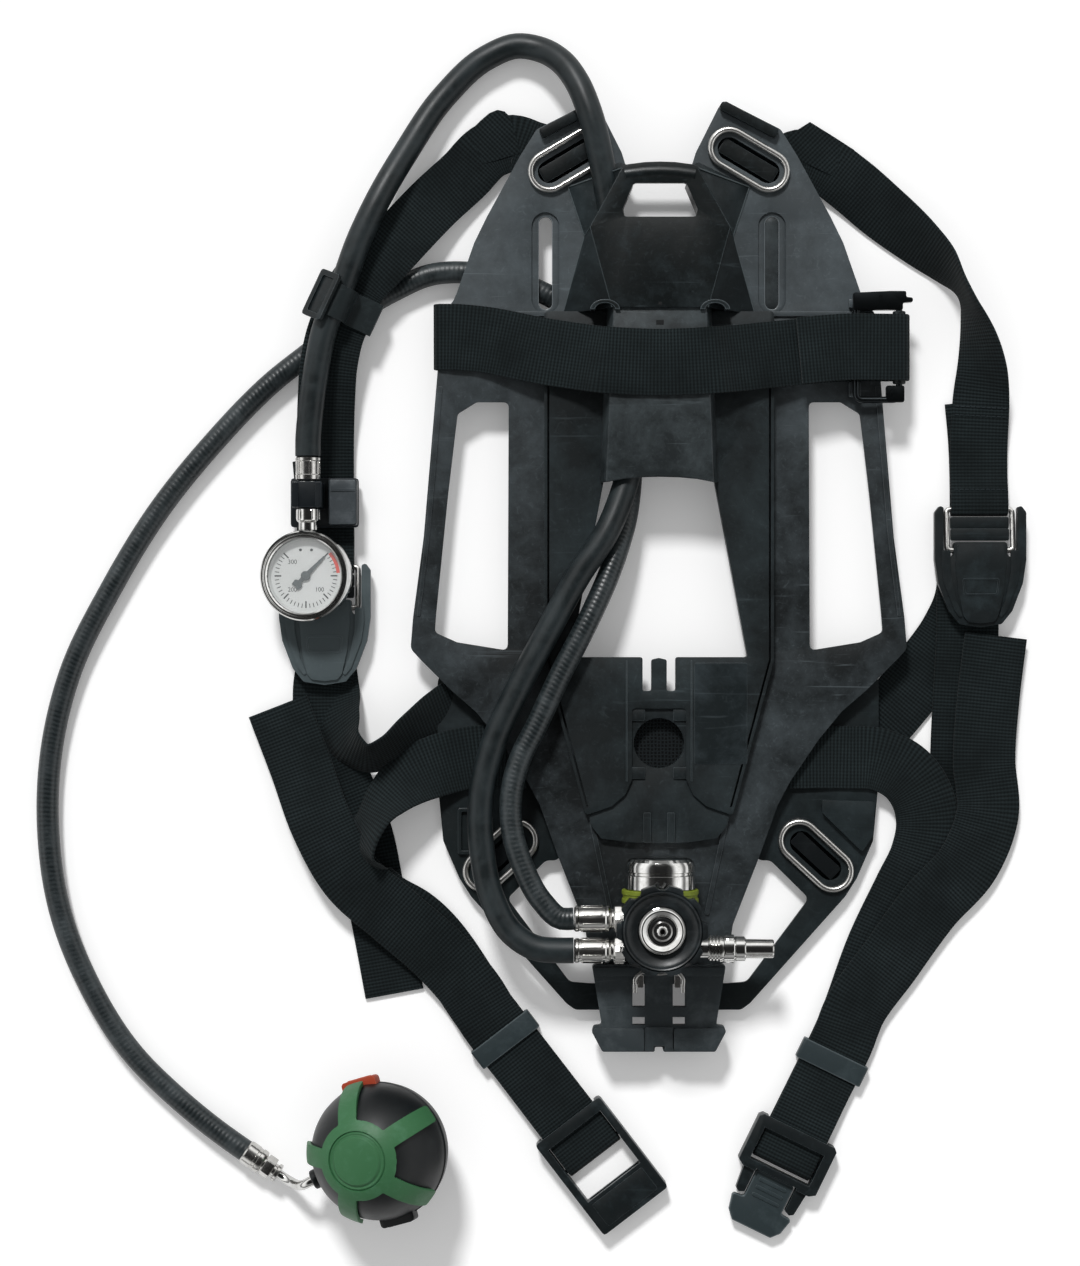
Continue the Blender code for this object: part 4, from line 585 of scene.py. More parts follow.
# Printing inks on the dial: flat and matt.
INK = Moulded("dial_black_ink", "dial", "#24282A", 0.6, 0.2, cloud="#34383A", cloud_mm=8.0, grain=0.02)
RED_INK = Moulded("dial_red_ink", "dial", "#D03A2B", 0.6, 0.2, cloud="#D95546", cloud_mm=8.0, grain=0.02)
# Paint on a stamped pointer: an even dark grey.
NEEDLE = Moulded("pointer_grey_paint", "buckle", "#3E4749", 0.45, 0.4, cloud="#4C5557", cloud_mm=6.0,
                 grain=0.03)
# Twisted polyester thread: a little paler than the webbing it holds.
THREAD = Moulded("stitch_thread", "webbing", "#20272A", 0.8, 0.2, cloud="#2C3336", cloud_mm=4.0)


def smooth_curve(points: Sequence[Sequence[float]], spacing: float) -> list[Vector]:
    """Points about a spacing apart on the smooth curve through the given ones.

    Args:
        points: the stations to pass through.
        spacing: the distance to aim for between points, in mm.

    Returns:
        The points, the given ones among them.
    """
    knots = [Vector(p) for p in points]
    spans = [(b - a).length for a, b in zip(knots, knots[1:])]
    slopes = [(knots[1] - knots[0]) / spans[0]]
    for i in range(1, len(knots) - 1):
        ahead = (knots[i + 1] - knots[i]) / spans[i]
        behind = (knots[i] - knots[i - 1]) / spans[i - 1]
        slopes.append((ahead * spans[i - 1] + behind * spans[i]) / (spans[i] + spans[i - 1]))
    slopes.append((knots[-1] - knots[-2]) / spans[-1])
    made = [knots[0]]
    for i, span in enumerate(spans):
        steps = max(1, round(span / spacing))
        for k in range(1, steps + 1):
            t = k / steps
            spot = knots[i] * (2 * t ** 3 - 3 * t ** 2 + 1)
            spot += slopes[i] * span * (t ** 3 - 2 * t ** 2 + t)
            spot += knots[i + 1] * (3 * t ** 2 - 2 * t ** 3)
            spot += slopes[i + 1] * span * (t ** 3 - t ** 2)
            made.append(spot)
    return made


def rounded(outline: Sequence[Point], radius: float, steps: int = 5) -> list[Point]:
    """Round the corners of a closed outline.

    Args:
        outline: the corners.
        radius: the rounding, in mm.
        steps: segments for each corner.

    Returns:
        The rounded outline.
    """
    made: list[Point] = []
    count = len(outline)
    for i, point in enumerate(outline):
        corner = Vector(point)
        before = Vector(outline[i - 1]) - corner
        after = Vector(outline[(i + 1) % count]) - corner
        half_turn = before.angle(after) / 2
        if half_turn > math.radians(86):
            made.append((corner.x, corner.y))
            continue
        back = min(radius / math.tan(half_turn), 0.45 * before.length, 0.45 * after.length)
        first = corner + before.normalized() * back
        last = corner + after.normalized() * back
        for k in range(steps + 1):
            t = k / steps
            spot = first * (1 - t) ** 2 + corner * (2 * t * (1 - t)) + last * t ** 2
            made.append((spot.x, spot.y))
    return made


def mirrored(half: Sequence[Point]) -> list[Point]:
    """A closed outline from its right half, top to bottom."""
    return list(half) + [(-x, y) for x, y in reversed(half) if x > 0]


def flipped(outline: Sequence[Point]) -> list[Point]:
    """An outline on the other side of the plate's middle."""
    return [(-x, y) for x, y in reversed(outline)]


def block(x0: float, x1: float, y0: float, y1: float) -> list[Point]:
    """A rectangle as an outline."""
    return [(x0, y0), (x1, y0), (x1, y1), (x0, y1)]


def stadium(x: float, y: float, half: float, radius: float, turn: float = 0.0,
            steps: int = 12) -> list[Point]:
    """A long round-ended outline about a centre.

    Args:
        x: the centre's X.
        y: the centre's Y.
        half: half the straight length.
        radius: radius of the ends.
        turn: turn in degrees.
        steps: segments for each end.

    Returns:
        The outline.
    """
    spots = []
    for side, start in ((1, -90), (-1, 90)):
        for k in range(steps + 1):
            angle = math.radians(start + 180 * k / steps)
            spots.append((side * half + radius * math.cos(angle), radius * math.sin(angle)))
    c, s = math.cos(math.radians(turn)), math.sin(math.radians(turn))
    return [(x + a * c - b * s, y + a * s + b * c) for a, b in spots]


def signed_distance(spots: np.ndarray, outline: Sequence[Point]) -> np.ndarray:
    """Distance of points to an outline, positive inside it.

    Args:
        spots: N by 2 array of points.
        outline: the closed outline.

    Returns:
        N distances in mm.
    """
    nearest = np.full(len(spots), 1e9)
    inside = np.zeros(len(spots), bool)
    corners = np.array(outline, float)
    for a, b in zip(corners, np.roll(corners, -1, axis=0)):
        run = b - a
        share = np.clip(((spots - a) @ run) / max(run @ run, 1e-9), 0, 1)
        nearest = np.minimum(nearest, np.linalg.norm(spots - (a + share[:, None] * run), axis=1))
        crosses = (a[1] > spots[:, 1]) != (b[1] > spots[:, 1])
        height = np.where(run[1] == 0, 1e-9, run[1])
        inside ^= crosses & (spots[:, 0] < run[0] * (spots[:, 1] - a[1]) / height + a[0])
    return np.where(inside, nearest, -nearest)


class Shape:
    """A mesh in millimetres while it is being worked on."""

    def __init__(self) -> None:
        """Start with an empty mesh."""
        self.bm = bmesh.new()

    @classmethod
    def turned(cls, profile: Sequence[Point], steps: int = 72, closed: bool = False) -> Shape:
        """Spin a profile about Z.

        Args:
            profile: (radius, height) points.
            steps: segments of the full turn.
            closed: whether the last point joins the first.

        Returns:
            The turned shape.
        """
        made = cls()
        verts = [made.bm.verts.new((r, 0.0, z)) for r, z in profile]
        pairs = list(zip(verts, verts[1:])) + ([(verts[-1], verts[0])] if closed else [])
        edges = [made.bm.edges.new(pair) for pair in pairs]
        bmesh.ops.spin(made.bm, geom=verts + edges, cent=(0, 0, 0), axis=(0, 0, 1), angle=2 * math.pi,
                       steps=steps, use_merge=True)
        return made.cleaned()

    @classmethod
    def flat(cls, outlines: Sequence[Sequence[Point]]) -> Shape:
        """A flat face at Z = 0 with any further outlines as holes.

        Args:
            outlines: the outer outline, then any holes.

        Returns:
            The face.
        """
        made = cls()
        edges = []
        for outline in outlines:
            verts = [made.bm.verts.new((x, y, 0.0)) for x, y in outline]
            edges += [made.bm.edges.new(pair) for pair in zip(verts, verts[1:] + verts[:1])]
        bmesh.ops.triangle_fill(made.bm, use_beauty=True, use_dissolve=False, edges=edges,
                                normal=(0, 0, 1))
        return made

    @classmethod
    def prism(cls, outlines: Sequence[Sequence[Point]], low: float, high: float) -> Shape:
        """A flat outline, with further outlines as holes, between two heights."""
        return cls.flat(outlines).thickened(high, high - low)

    @classmethod
    def slab(cls, outline: Sequence[Point], low: float, high: float, edge: float, segments: int = 2,
             angle: float = 35.0) -> Shape:
        """A flat outline between two heights with its edges rounded."""
        return cls.prism([outline], low, high).bevelled(edge, segments, angle)

    @classmethod
    def frustum(cls, top: Sequence[Point], foot: Sequence[Point], low: float, high: float) -> Shape:
        """A block whose sides lean from one outline to another with as many corners.

        Args:
            top: the outline at the upper height.
            foot: the outline at the lower height.
            low: the lower height.
            high: the upper height.

        Returns:
            The block.
        """
        made = cls()
        upper = [made.bm.verts.new((x, y, high)) for x, y in top]
        lower = [made.bm.verts.new((x, y, low)) for x, y in foot]
        made.bm.faces.new(upper)
        made.bm.faces.new(lower[::-1])
        rims = [made.bm.edges.get(pair) for ring in (upper, lower)
                for pair in zip(ring, ring[1:] + ring[:1])]
        bmesh.ops.bridge_loops(made.bm, edges=rims)
        return made.cleaned()

    @classmethod
    def swept(cls, path: Sequence[Vector], across: Sequence[Vector], section: Sequence[Point],
              labels: Sequence[float], loop: bool = False) -> Shape:
        """Sweep a closed section along a path and give it a UV map in millimetres.

        Args:
            path: points of the centre line.
            across: the section's first axis at each point.
            section: (across, up) points of the section.
            labels: V coordinate of each section point and of the closing one.
            loop: whether the path closes on itself.

        Returns:
            The swept shape.
        """
        made = cls()
        line, sides = list(path), list(across)
        if loop:
            line.append(line[0])
            sides.append(sides[0])
        steps, count = len(line) - 1, len(section)
        bmesh.ops.create_grid(made.bm, x_segments=steps, y_segments=count, size=1.0)
        lengths = [0.0]
        for a, b in zip(line, line[1:]):
            lengths.append(lengths[-1] + (b - a).length)
        cells = {}
        for vert in made.bm.verts:
            i, j = round((vert.co.x + 1) / 2 * steps), round((vert.co.y + 1) / 2 * count)
            cells[vert] = (i, j)
            before = line[-2] if loop and i == 0 else line[max(i - 1, 0)]
            after = line[1] if loop and i == steps else line[min(i + 1, steps)]
            run = (after - before).normalized()
            a, b = section[j % count]
            vert.co = line[i] + sides[i] * a + run.cross(sides[i]).normalized() * b
        layer = made.bm.loops.layers.uv.new(WEAVE)
        for face in made.bm.faces:
            for corner in face.loops:
                i, j = cells[corner.vert]
                corner[layer].uv = (lengths[i], labels[j])
        bmesh.ops.remove_doubles(made.bm, verts=made.bm.verts, dist=0.001)
        rims = [e for e in made.bm.edges if e.is_boundary]
        if rims:
            bmesh.ops.holes_fill(made.bm, edges=rims, sides=0)
        return made.cleaned()

    @classmethod
    def tube(cls, path: Sequence[Vector], radius: float, loop: bool = False, sides: int = 20) -> Shape:
        """A round wire or hose along a path, with a UV map in millimetres.

        Args:
            path: points of the centre line.
            radius: its radius in mm.
            loop: whether the path closes on itself.
            sides: segments round it.

        Returns:
            The wire or hose.
        """
        section = [(radius * math.cos(2 * math.pi * k / sides), radius * math.sin(2 * math.pi * k / sides))
                   for k in range(sides)]
        labels = [2 * math.pi * radius * k / sides for k in range(sides + 1)]
        across = []
        last = Vector((0, 0, 1))
        for i, _ in enumerate(path):
            before = path[i - 1] if loop or i else path[0]
            after = path[(i + 1) % len(path)] if loop or i + 1 < len(path) else path[i]
            run = (after - before).normalized()
            if i == 0 and abs(run.z) > 0.8:
                last = Vector((1, 0, 0))
            last = (last - run * last.dot(run)).normalized()
            across.append(last)
        return cls.swept(path, across, section, labels, loop)

    @classmethod
    def copied(cls, node: bpy.types.Object) -> Shape:
        """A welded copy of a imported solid, with its flat areas made whole again.

        Args:
            node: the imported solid.

        Returns:
            The copy.
        """
        made = cls()
        made.bm.from_mesh(node.data)
        for face in made.bm.faces:
            face.material_index = 0
        for layer in list(made.bm.loops.layers.uv.values()):
            made.bm.loops.layers.uv.remove(layer)
        bmesh.ops.scale(made.bm, vec=(1 / MM,) * 3, verts=made.bm.verts)
        bmesh.ops.remove_doubles(made.bm, verts=made.bm.verts, dist=0.01)
        bmesh.ops.dissolve_limit(made.bm, angle_limit=math.radians(1.0), verts=made.bm.verts,
                                 edges=made.bm.edges)
        return made

    def cleaned(self) -> Shape:
        """Merge doubles and turn every face outwards.

        Returns:
            This shape.
        """
        bmesh.ops.remove_doubles(self.bm, verts=self.bm.verts, dist=0.001)
        bmesh.ops.recalc_face_normals(self.bm, faces=self.bm.faces)
        return self

    def walled(self) -> list[bmesh.types.BMVert]:
        """Extrude every face where it is and give back the new points."""
        walls = bmesh.ops.extrude_face_region(self.bm, geom=list(self.bm.faces))
        return [g for g in walls["geom"] if isinstance(g, bmesh.types.BMVert)]

    def thickened(self, top: float, depth: float) -> Shape:
        """Raise a sheet to a height and give it depth below that.

        Args:
            top: the upper height.
            depth: how far it reaches down.

        Returns:
            This shape.
        """
        bmesh.ops.translate(self.bm, vec=(0, 0, top), verts=self.bm.verts)
        bmesh.ops.translate(self.bm, vec=(0, 0, -depth), verts=self.walled())
        return self.cleaned()

    def sliced(self, pitch: float) -> Shape:
        """Cut a flat sheet into a net so that it can be formed.

        Args:
            pitch: size of the net in mm.

        Returns:
            This shape.
        """
        spots = [v.co for v in self.bm.verts]
        for axis in (0, 1):
            normal = Vector((1, 0, 0)) if axis == 0 else Vector((0, 1, 0))
            low, high = min(s[axis] for s in spots), max(s[axis] for s in spots)
            for k in range(math.floor(low / pitch) + 1, math.ceil(high / pitch)):
                bmesh.ops.bisect_plane(self.bm, geom=[*self.bm.verts, *self.bm.edges, *self.bm.faces],
                                       dist=0.02, plane_co=normal * (k * pitch), plane_no=normal)
        bmesh.ops.remove_doubles(self.bm, verts=self.bm.verts, dist=0.35)
        return self

    def formed(self, height: Callable[[np.ndarray], np.ndarray]) -> Shape:
        """Raise each point of a sheet to a height that depends on its place.

        Args:
            height: gives the heights at N by 2 places.

        Returns:
            This shape.
        """
        verts = list(self.bm.verts)
        heights = height(np.array([(v.co.x, v.co.y) for v in verts]))
        for vert, z in zip(verts, heights):
            vert.co.z = float(z)
        return self

    def bevelled(self, width: float, segments: int = 2, angle: float = 35.0) -> Shape:
        """Round every edge that is sharper than an angle and give the rounds the paler edge finish of wear
        and painted highlight.

        Args:
            width: width of the rounds in mm.
            segments: faces in each round.
            angle: edges flatter than this stay, in degrees.

        Returns:
            This shape.
        """
        sharp = [e for e in self.bm.edges
                 if len(e.link_faces) == 2 and e.calc_face_angle(0.0) > math.radians(angle)]
        rounds = bmesh.ops.bevel(self.bm, geom=sharp, offset=width, offset_type="OFFSET", affect="EDGES",
                                 segments=segments, profile=0.5, material=-1, clamp_overlap=True)
        for face in rounds["faces"]:
            face.material_index = 1
        return self

    def placed(self, matrix: Matrix) -> Shape:
        """Move the shape by a matrix."""
        bmesh.ops.transform(self.bm, matrix=matrix, verts=self.bm.verts)
        return self

    def mesh(self, name: str) -> bpy.types.Mesh:
        """Turn the shape into a mesh, which uses it up.

        Args:
            name: the mesh's name.

        Returns:
            The mesh.
        """
        made = bpy.data.meshes.new(name)
        self.bm.to_mesh(made)
        self.bm.free()
        return made

    def joined(self, *others: Shape) -> Shape:
        """Take other shapes into this one as further shells.

        Args:
            others: the shapes, which are used up.

        Returns:
            This shape.
        """
        for other in others:
            spare = other.mesh("spare")
            self.bm.from_mesh(spare)
            bpy.data.meshes.remove(spare)
        return self


def added(name: str, data: bpy.types.ID) -> bpy.types.Object:
    """Put a new object into the scene.

    Args:
        name: the object's name.
        data: its mesh, camera, light or text.

    Returns:
        The object.
    """
    made = bpy.data.objects.new(name, data)
    bpy.context.scene.collection.objects.link(made)
    return made


@dataclass
class Workshop:
    """Makes finished pieces and keeps the materials that they share."""

    nodes: dict[str, bpy.types.Object]
    materials: dict[str, bpy.types.Material] = field(default_factory=dict)

    def dressed(self, finish: Finish) -> bpy.types.Material:
        """The finish's material, made once."""
        if finish.name not in self.materials:
            self.materials[finish.name] = finish.material()
        return self.materials[finish.name]

    def piece(self, name: str, shape: Shape, finish: Finish, body: Body = Body.PACK,
              stands_for: Iterable[str] = (), smooth: float = 24.0) -> bpy.types.Object:
        """Turn a shape into a finished object.

        Args:
            name: the piece's name.
            shape: its mesh in millimetres, which is used up.
            finish: its material.
            body: the body it rides on.
            stands_for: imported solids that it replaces.
            smooth: edges sharper than this angle stay sharp, in degrees.

        Returns:
            The object, at the origin.
        """
        bmesh.ops.scale(shape.bm, vec=(MM,) * 3, verts=shape.bm.verts)
        mesh = shape.mesh(name)
        mesh.materials.append(self.dressed(finish))
        # Second material: the paler edge finish, wear and a painted highlight.
        mesh.materials.append(self.dressed(finish.edge_wear_and_highlight()))
        mesh.shade_smooth()
        mesh.set_sharp_from_angle(angle=math.radians(smooth))
        obj = added(name, mesh)
        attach(obj, body.value)
        stands_for = list(stands_for)
        if stands_for:
            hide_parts(*stands_for)
        LOG.info("%s: %d faces", name, len(mesh.polygons))
        return obj

    def skin(self, node: str, how: str, shape: Shape, finish: Finish, body: Body = Body.PACK,
             smooth: float = 24.0) -> bpy.types.Object:
        """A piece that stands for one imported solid, named for it and for how it is made."""
        return self.piece(f"{node}_{how}", shape, finish, body, [node], smooth)

    def solid(self, node: str, finish: Finish, width: float, body: Body = Body.PACK,
              segments: int = 2, angle: float = 35.0) -> bpy.types.Object:
        """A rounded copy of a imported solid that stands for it."""
        shape = Shape.copied(self.nodes[node]).bevelled(width, segments, angle)
        return self.skin(node, "skin", shape, finish, body)

    def hidden(self, node: str, finish: Finish) -> None:
        """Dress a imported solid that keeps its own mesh.

        Args:
            node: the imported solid.
            finish: the material.
        """
        data = self.nodes[node].data
        data.materials.clear()
        data.materials.append(self.dressed(finish))


@dataclass
class Studio:
    """Camera straight above the pack, soft light from the shoulder end and a pale floor."""

    eye: Station = (-72.0, 66.6, 2000.0)
    lens_mm: float = 92.9
    sun_elevation: float = 46.0
    sun_strength: float = 2.35
    sun_spread: float = 10.0
    sun_turn: float = 14.0
    fill: float = 0.46
    floor_half_m: float = 6.0
    floor_drop_m: float = 0.0004
    floor_glow: float = 0.12

    def camera(self) -> None:
        """Make the camera at the photograph's viewing angle."""
        data = bpy.data.cameras.new("camera")
        data.sensor_width = 36.0
        data.lens = self.lens_mm
        data.clip_end = 50.0
        eye = added("camera", data)
        eye.location = Vector(self.eye) * MM
        bpy.context.scene.camera = eye
        bpy.context.scene.view_settings.view_transform = "Standard"

    def lights(self) -> None:
        """One broad soft light, an even fill, and bright panels low down that only show in gloss."""
        data = bpy.data.lights.new("key", "SUN")
        data.energy = self.sun_strength
        data.angle = math.radians(self.sun_spread)
        key = added("key", data)
        key.rotation_euler = (-math.radians(90 - self.sun_elevation), 0, math.radians(self.sun_turn))
        world = bpy.data.worlds.new("studio")
        bpy.context.scene.world = world
        world.use_nodes = True
        tree = world.node_tree
        tree.nodes.clear()
        rays = add_node(tree, "ShaderNodeLightPath").outputs
        way = add_node(tree, "ShaderNodeTexCoord").outputs["Generated"]
        x, y, z = add_node(tree, "ShaderNodeSeparateXYZ", {0: way}).outputs
        skirt = spread(tree, z, 0.16, 0.34, 0.25, 1.3)
        crown = spread(tree, z, 0.6, 0.8, 1.0, 0.05)
        facing = combined(tree, "MAXIMUM", combined(tree, "ABSOLUTE", x), y)
        panels = spread(tree, facing, 0.3, 0.65, 0.3, 1.0)
        ceiling = combined(tree, "MULTIPLY", combined(tree, "MULTIPLY", skirt, crown), panels)
        glossy = add_node(tree, "ShaderNodeMix", {0: rays["Is Glossy Ray"], 2: self.fill, 3: ceiling},
                          data_type="FLOAT")
        shown = combined(tree, "MAXIMUM", rays["Is Camera Ray"], rays["Is Transmission Ray"])
        strength = add_node(tree, "ShaderNodeMix", {0: shown, 2: glossy.outputs[0], 3: 1.0},
                            data_type="FLOAT")
        sky = add_node(tree, "ShaderNodeBackground", {
            "Color": (1, 1, 1, 1), "Strength": strength.outputs[0]})
        add_node(tree, "ShaderNodeOutputWorld", {"Surface": sky.outputs[0]})

    def floor(self) -> None:
        """A wide white sheet just under the pack."""
        shape = Shape()
        bmesh.ops.create_grid(shape.bm, x_segments=8, y_segments=8, size=self.floor_half_m)
        bmesh.ops.translate(shape.bm, vec=(0, 0, -self.floor_drop_m), verts=shape.bm.verts)
        mesh = shape.mesh("floor")
        # White paper: matt and even, lit a little from within so that the camera sees it as plain white.
        made = bpy.data.materials.new("white_paper_sweep")
        made.use_nodes = True
        shader = made.node_tree.nodes["Principled BSDF"]
        shader.inputs["Base Color"].default_value = (0.97, 0.97, 0.97, 1)
        shader.inputs["Roughness"].default_value = 0.9
        shader.inputs["Specular IOR Level"].default_value = 0.0
        shader.inputs["Emission Color"].default_value = (1, 1, 1, 1)
        tree = made.node_tree
        rays = add_node(tree, "ShaderNodeLightPath").outputs
        feed(tree, shader, {
            "Emission Strength": combined(tree, "MULTIPLY", rays["Is Camera Ray"], self.floor_glow)})
        mesh.materials.append(made)
        added("floor", mesh)

    def build(self) -> None:
        """Set up camera, light and floor."""
        self.camera()
        self.lights()
        self.floor()


# Places that more than one sub-assembly needs, in mm and degrees: (x, y, z), or (x, y, heading).
GAUGE_SPOT: Station = (-212.0, 101.0, 28.0)
VALVE_SPOT: Station = (-168.0, -244.0, 41.2)
UPPER_RING: Station = (54.5, 353.4, -30.7)
LOWER_RING: Station = (96.0, -69.0, -42.7)
SOCKET: Station = (-55.5, -230.5, -52.5)
PLUG: Station = (86.0, -236.5, -116.0)
# The valve's inlet: its heading and height.
INLET_TURN = 205.8
INLET_Z = 27.0
REDUCER = Matrix.Translation((0.0, -109.0, 42.3))
GAUGE = Matrix.Translation(GAUGE_SPOT) @ spin(-9.0, "Y")
VALVE = Matrix.Translation(VALVE_SPOT) @ spin(-17.0, "Y")


def ring_slot(ring: Station, side: int, half: float, radius: float, steps: int = 12) -> list[Point]:
    """A round-ended slot at a ring's place, on the right (1) or the left (-1)."""
    return stadium(side * ring[0], ring[1], half, radius, side * ring[2], steps)


@dataclass
class Hoses:
    """The two hoses from the reducer, laid as the photograph shows them from end to end."""

    gauge_radius: float = 7.75
    supply_radius: float = 6.75
    spacing: float = 3.2
    gauge_route: tuple[Station, ...] = (
        (-51.9, -123.6, 42.3), (-60, -123.6, 42.3), (-75, -122, 42), (-89, -113, 41), (-100.5, -93, 39),
        (-107, -63, 37), (-107.5, -33, 35.6), (-100.5, -1, 34.9), (-86, 32, 34.7), (-67, 68, 34.9),
        (-49, 101, 34.9), (-31.5, 128, 33.8), (-24.6, 144, 30.8), (-19.5, 160, 28), (-16.6, 180, 27.8),
        (-16, 210, 28), (-16, 240, 28), (-16.6, 262, 28.2), (-21, 285, 28.9), (-26.5, 306, 30),
        (-31, 330, 31.1), (-35.5, 354, 31.9), (-42, 380, 31.9), (-50, 400, 27), (-59, 413, 19.5),
        (-71, 421.4, 12), (-86, 424.4, 8.6), (-105, 417, 8.3), (-130, 394, 9), (-153.4, 358.4, 17),
        (-171, 326, 26.6), (-182, 302, 27.9), (-190, 279.8, 27.6), (-194.9, 266.7, 27.6),
        (-200.8, 254, 27.6), (-206, 232, 27.6), (-210, 205, 27.8), (-212, 182, 28), (-212, 173.4, 28))
    supply_route: tuple[Station, ...] = (
        (-51.9, -104.6, 42.3), (-59, -104.6, 42.3), (-71, -94, 41.8), (-82, -74, 40), (-89, -50, 38),
        (-89, -28, 36.8), (-84, -9, 35.6), (-74.5, 10, 34.8), (-60, 41, 34.2), (-43, 74, 33),
        (-28.5, 107, 26.5), (-19, 140, 17.5), (-16.5, 164, 11.4), (-17, 194, 8.2), (-27, 230, 7.4),
        (-48, 260, 7.2), (-72, 275, HOSE_LIES), (-96, 283, HOSE_LIES), (-117, 286.5, HOSE_LIES),
        (-139, 285, HOSE_LIES), (-160, 276, HOSE_LIES), (-185, 261, HOSE_LIES), (-207, 242, HOSE_LIES),
        (-237, 218, HOSE_LIES), (-270, 184, HOSE_LIES), (-304, 142, HOSE_LIES), (-334, 93, HOSE_LIES),
        (-358, 44, HOSE_LIES), (-370, -5, HOSE_LIES), (-372, -54, HOSE_LIES), (-365, -102, HOSE_LIES),
        (-347, -148, HOSE_LIES), (-322, -188, HOSE_LIES), (-292, -218, 7.4), (-270, -235.8, 8.4),
        (-258.5, -244, 9.2), (-251.5, -248.8, 9.6))

    def lay(self, shop: Workshop, name: str, route: Sequence[Station], radius: float, finish: Finish) -> None:
        """Args:
            shop: where pieces are made.
            name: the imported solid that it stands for.
            route: stations in mm.
            radius: the hose's radius in mm.
            finish: its material.
        """
        path = smooth_curve(route, self.spacing)
        obj = shop.skin(name, "rubber", Shape.tube(path, radius, sides=28), finish)

    def build(self, shop: Workshop, ends: Sequence[bpy.types.Object]) -> None:
        """Lay both hoses."""
        self.lay(shop, "gauge_hose", self.gauge_route, self.gauge_radius, GAUGE_RUBBER)
        self.lay(shop, "supply_hose", self.supply_route, self.supply_radius, SUPPLY_RUBBER)


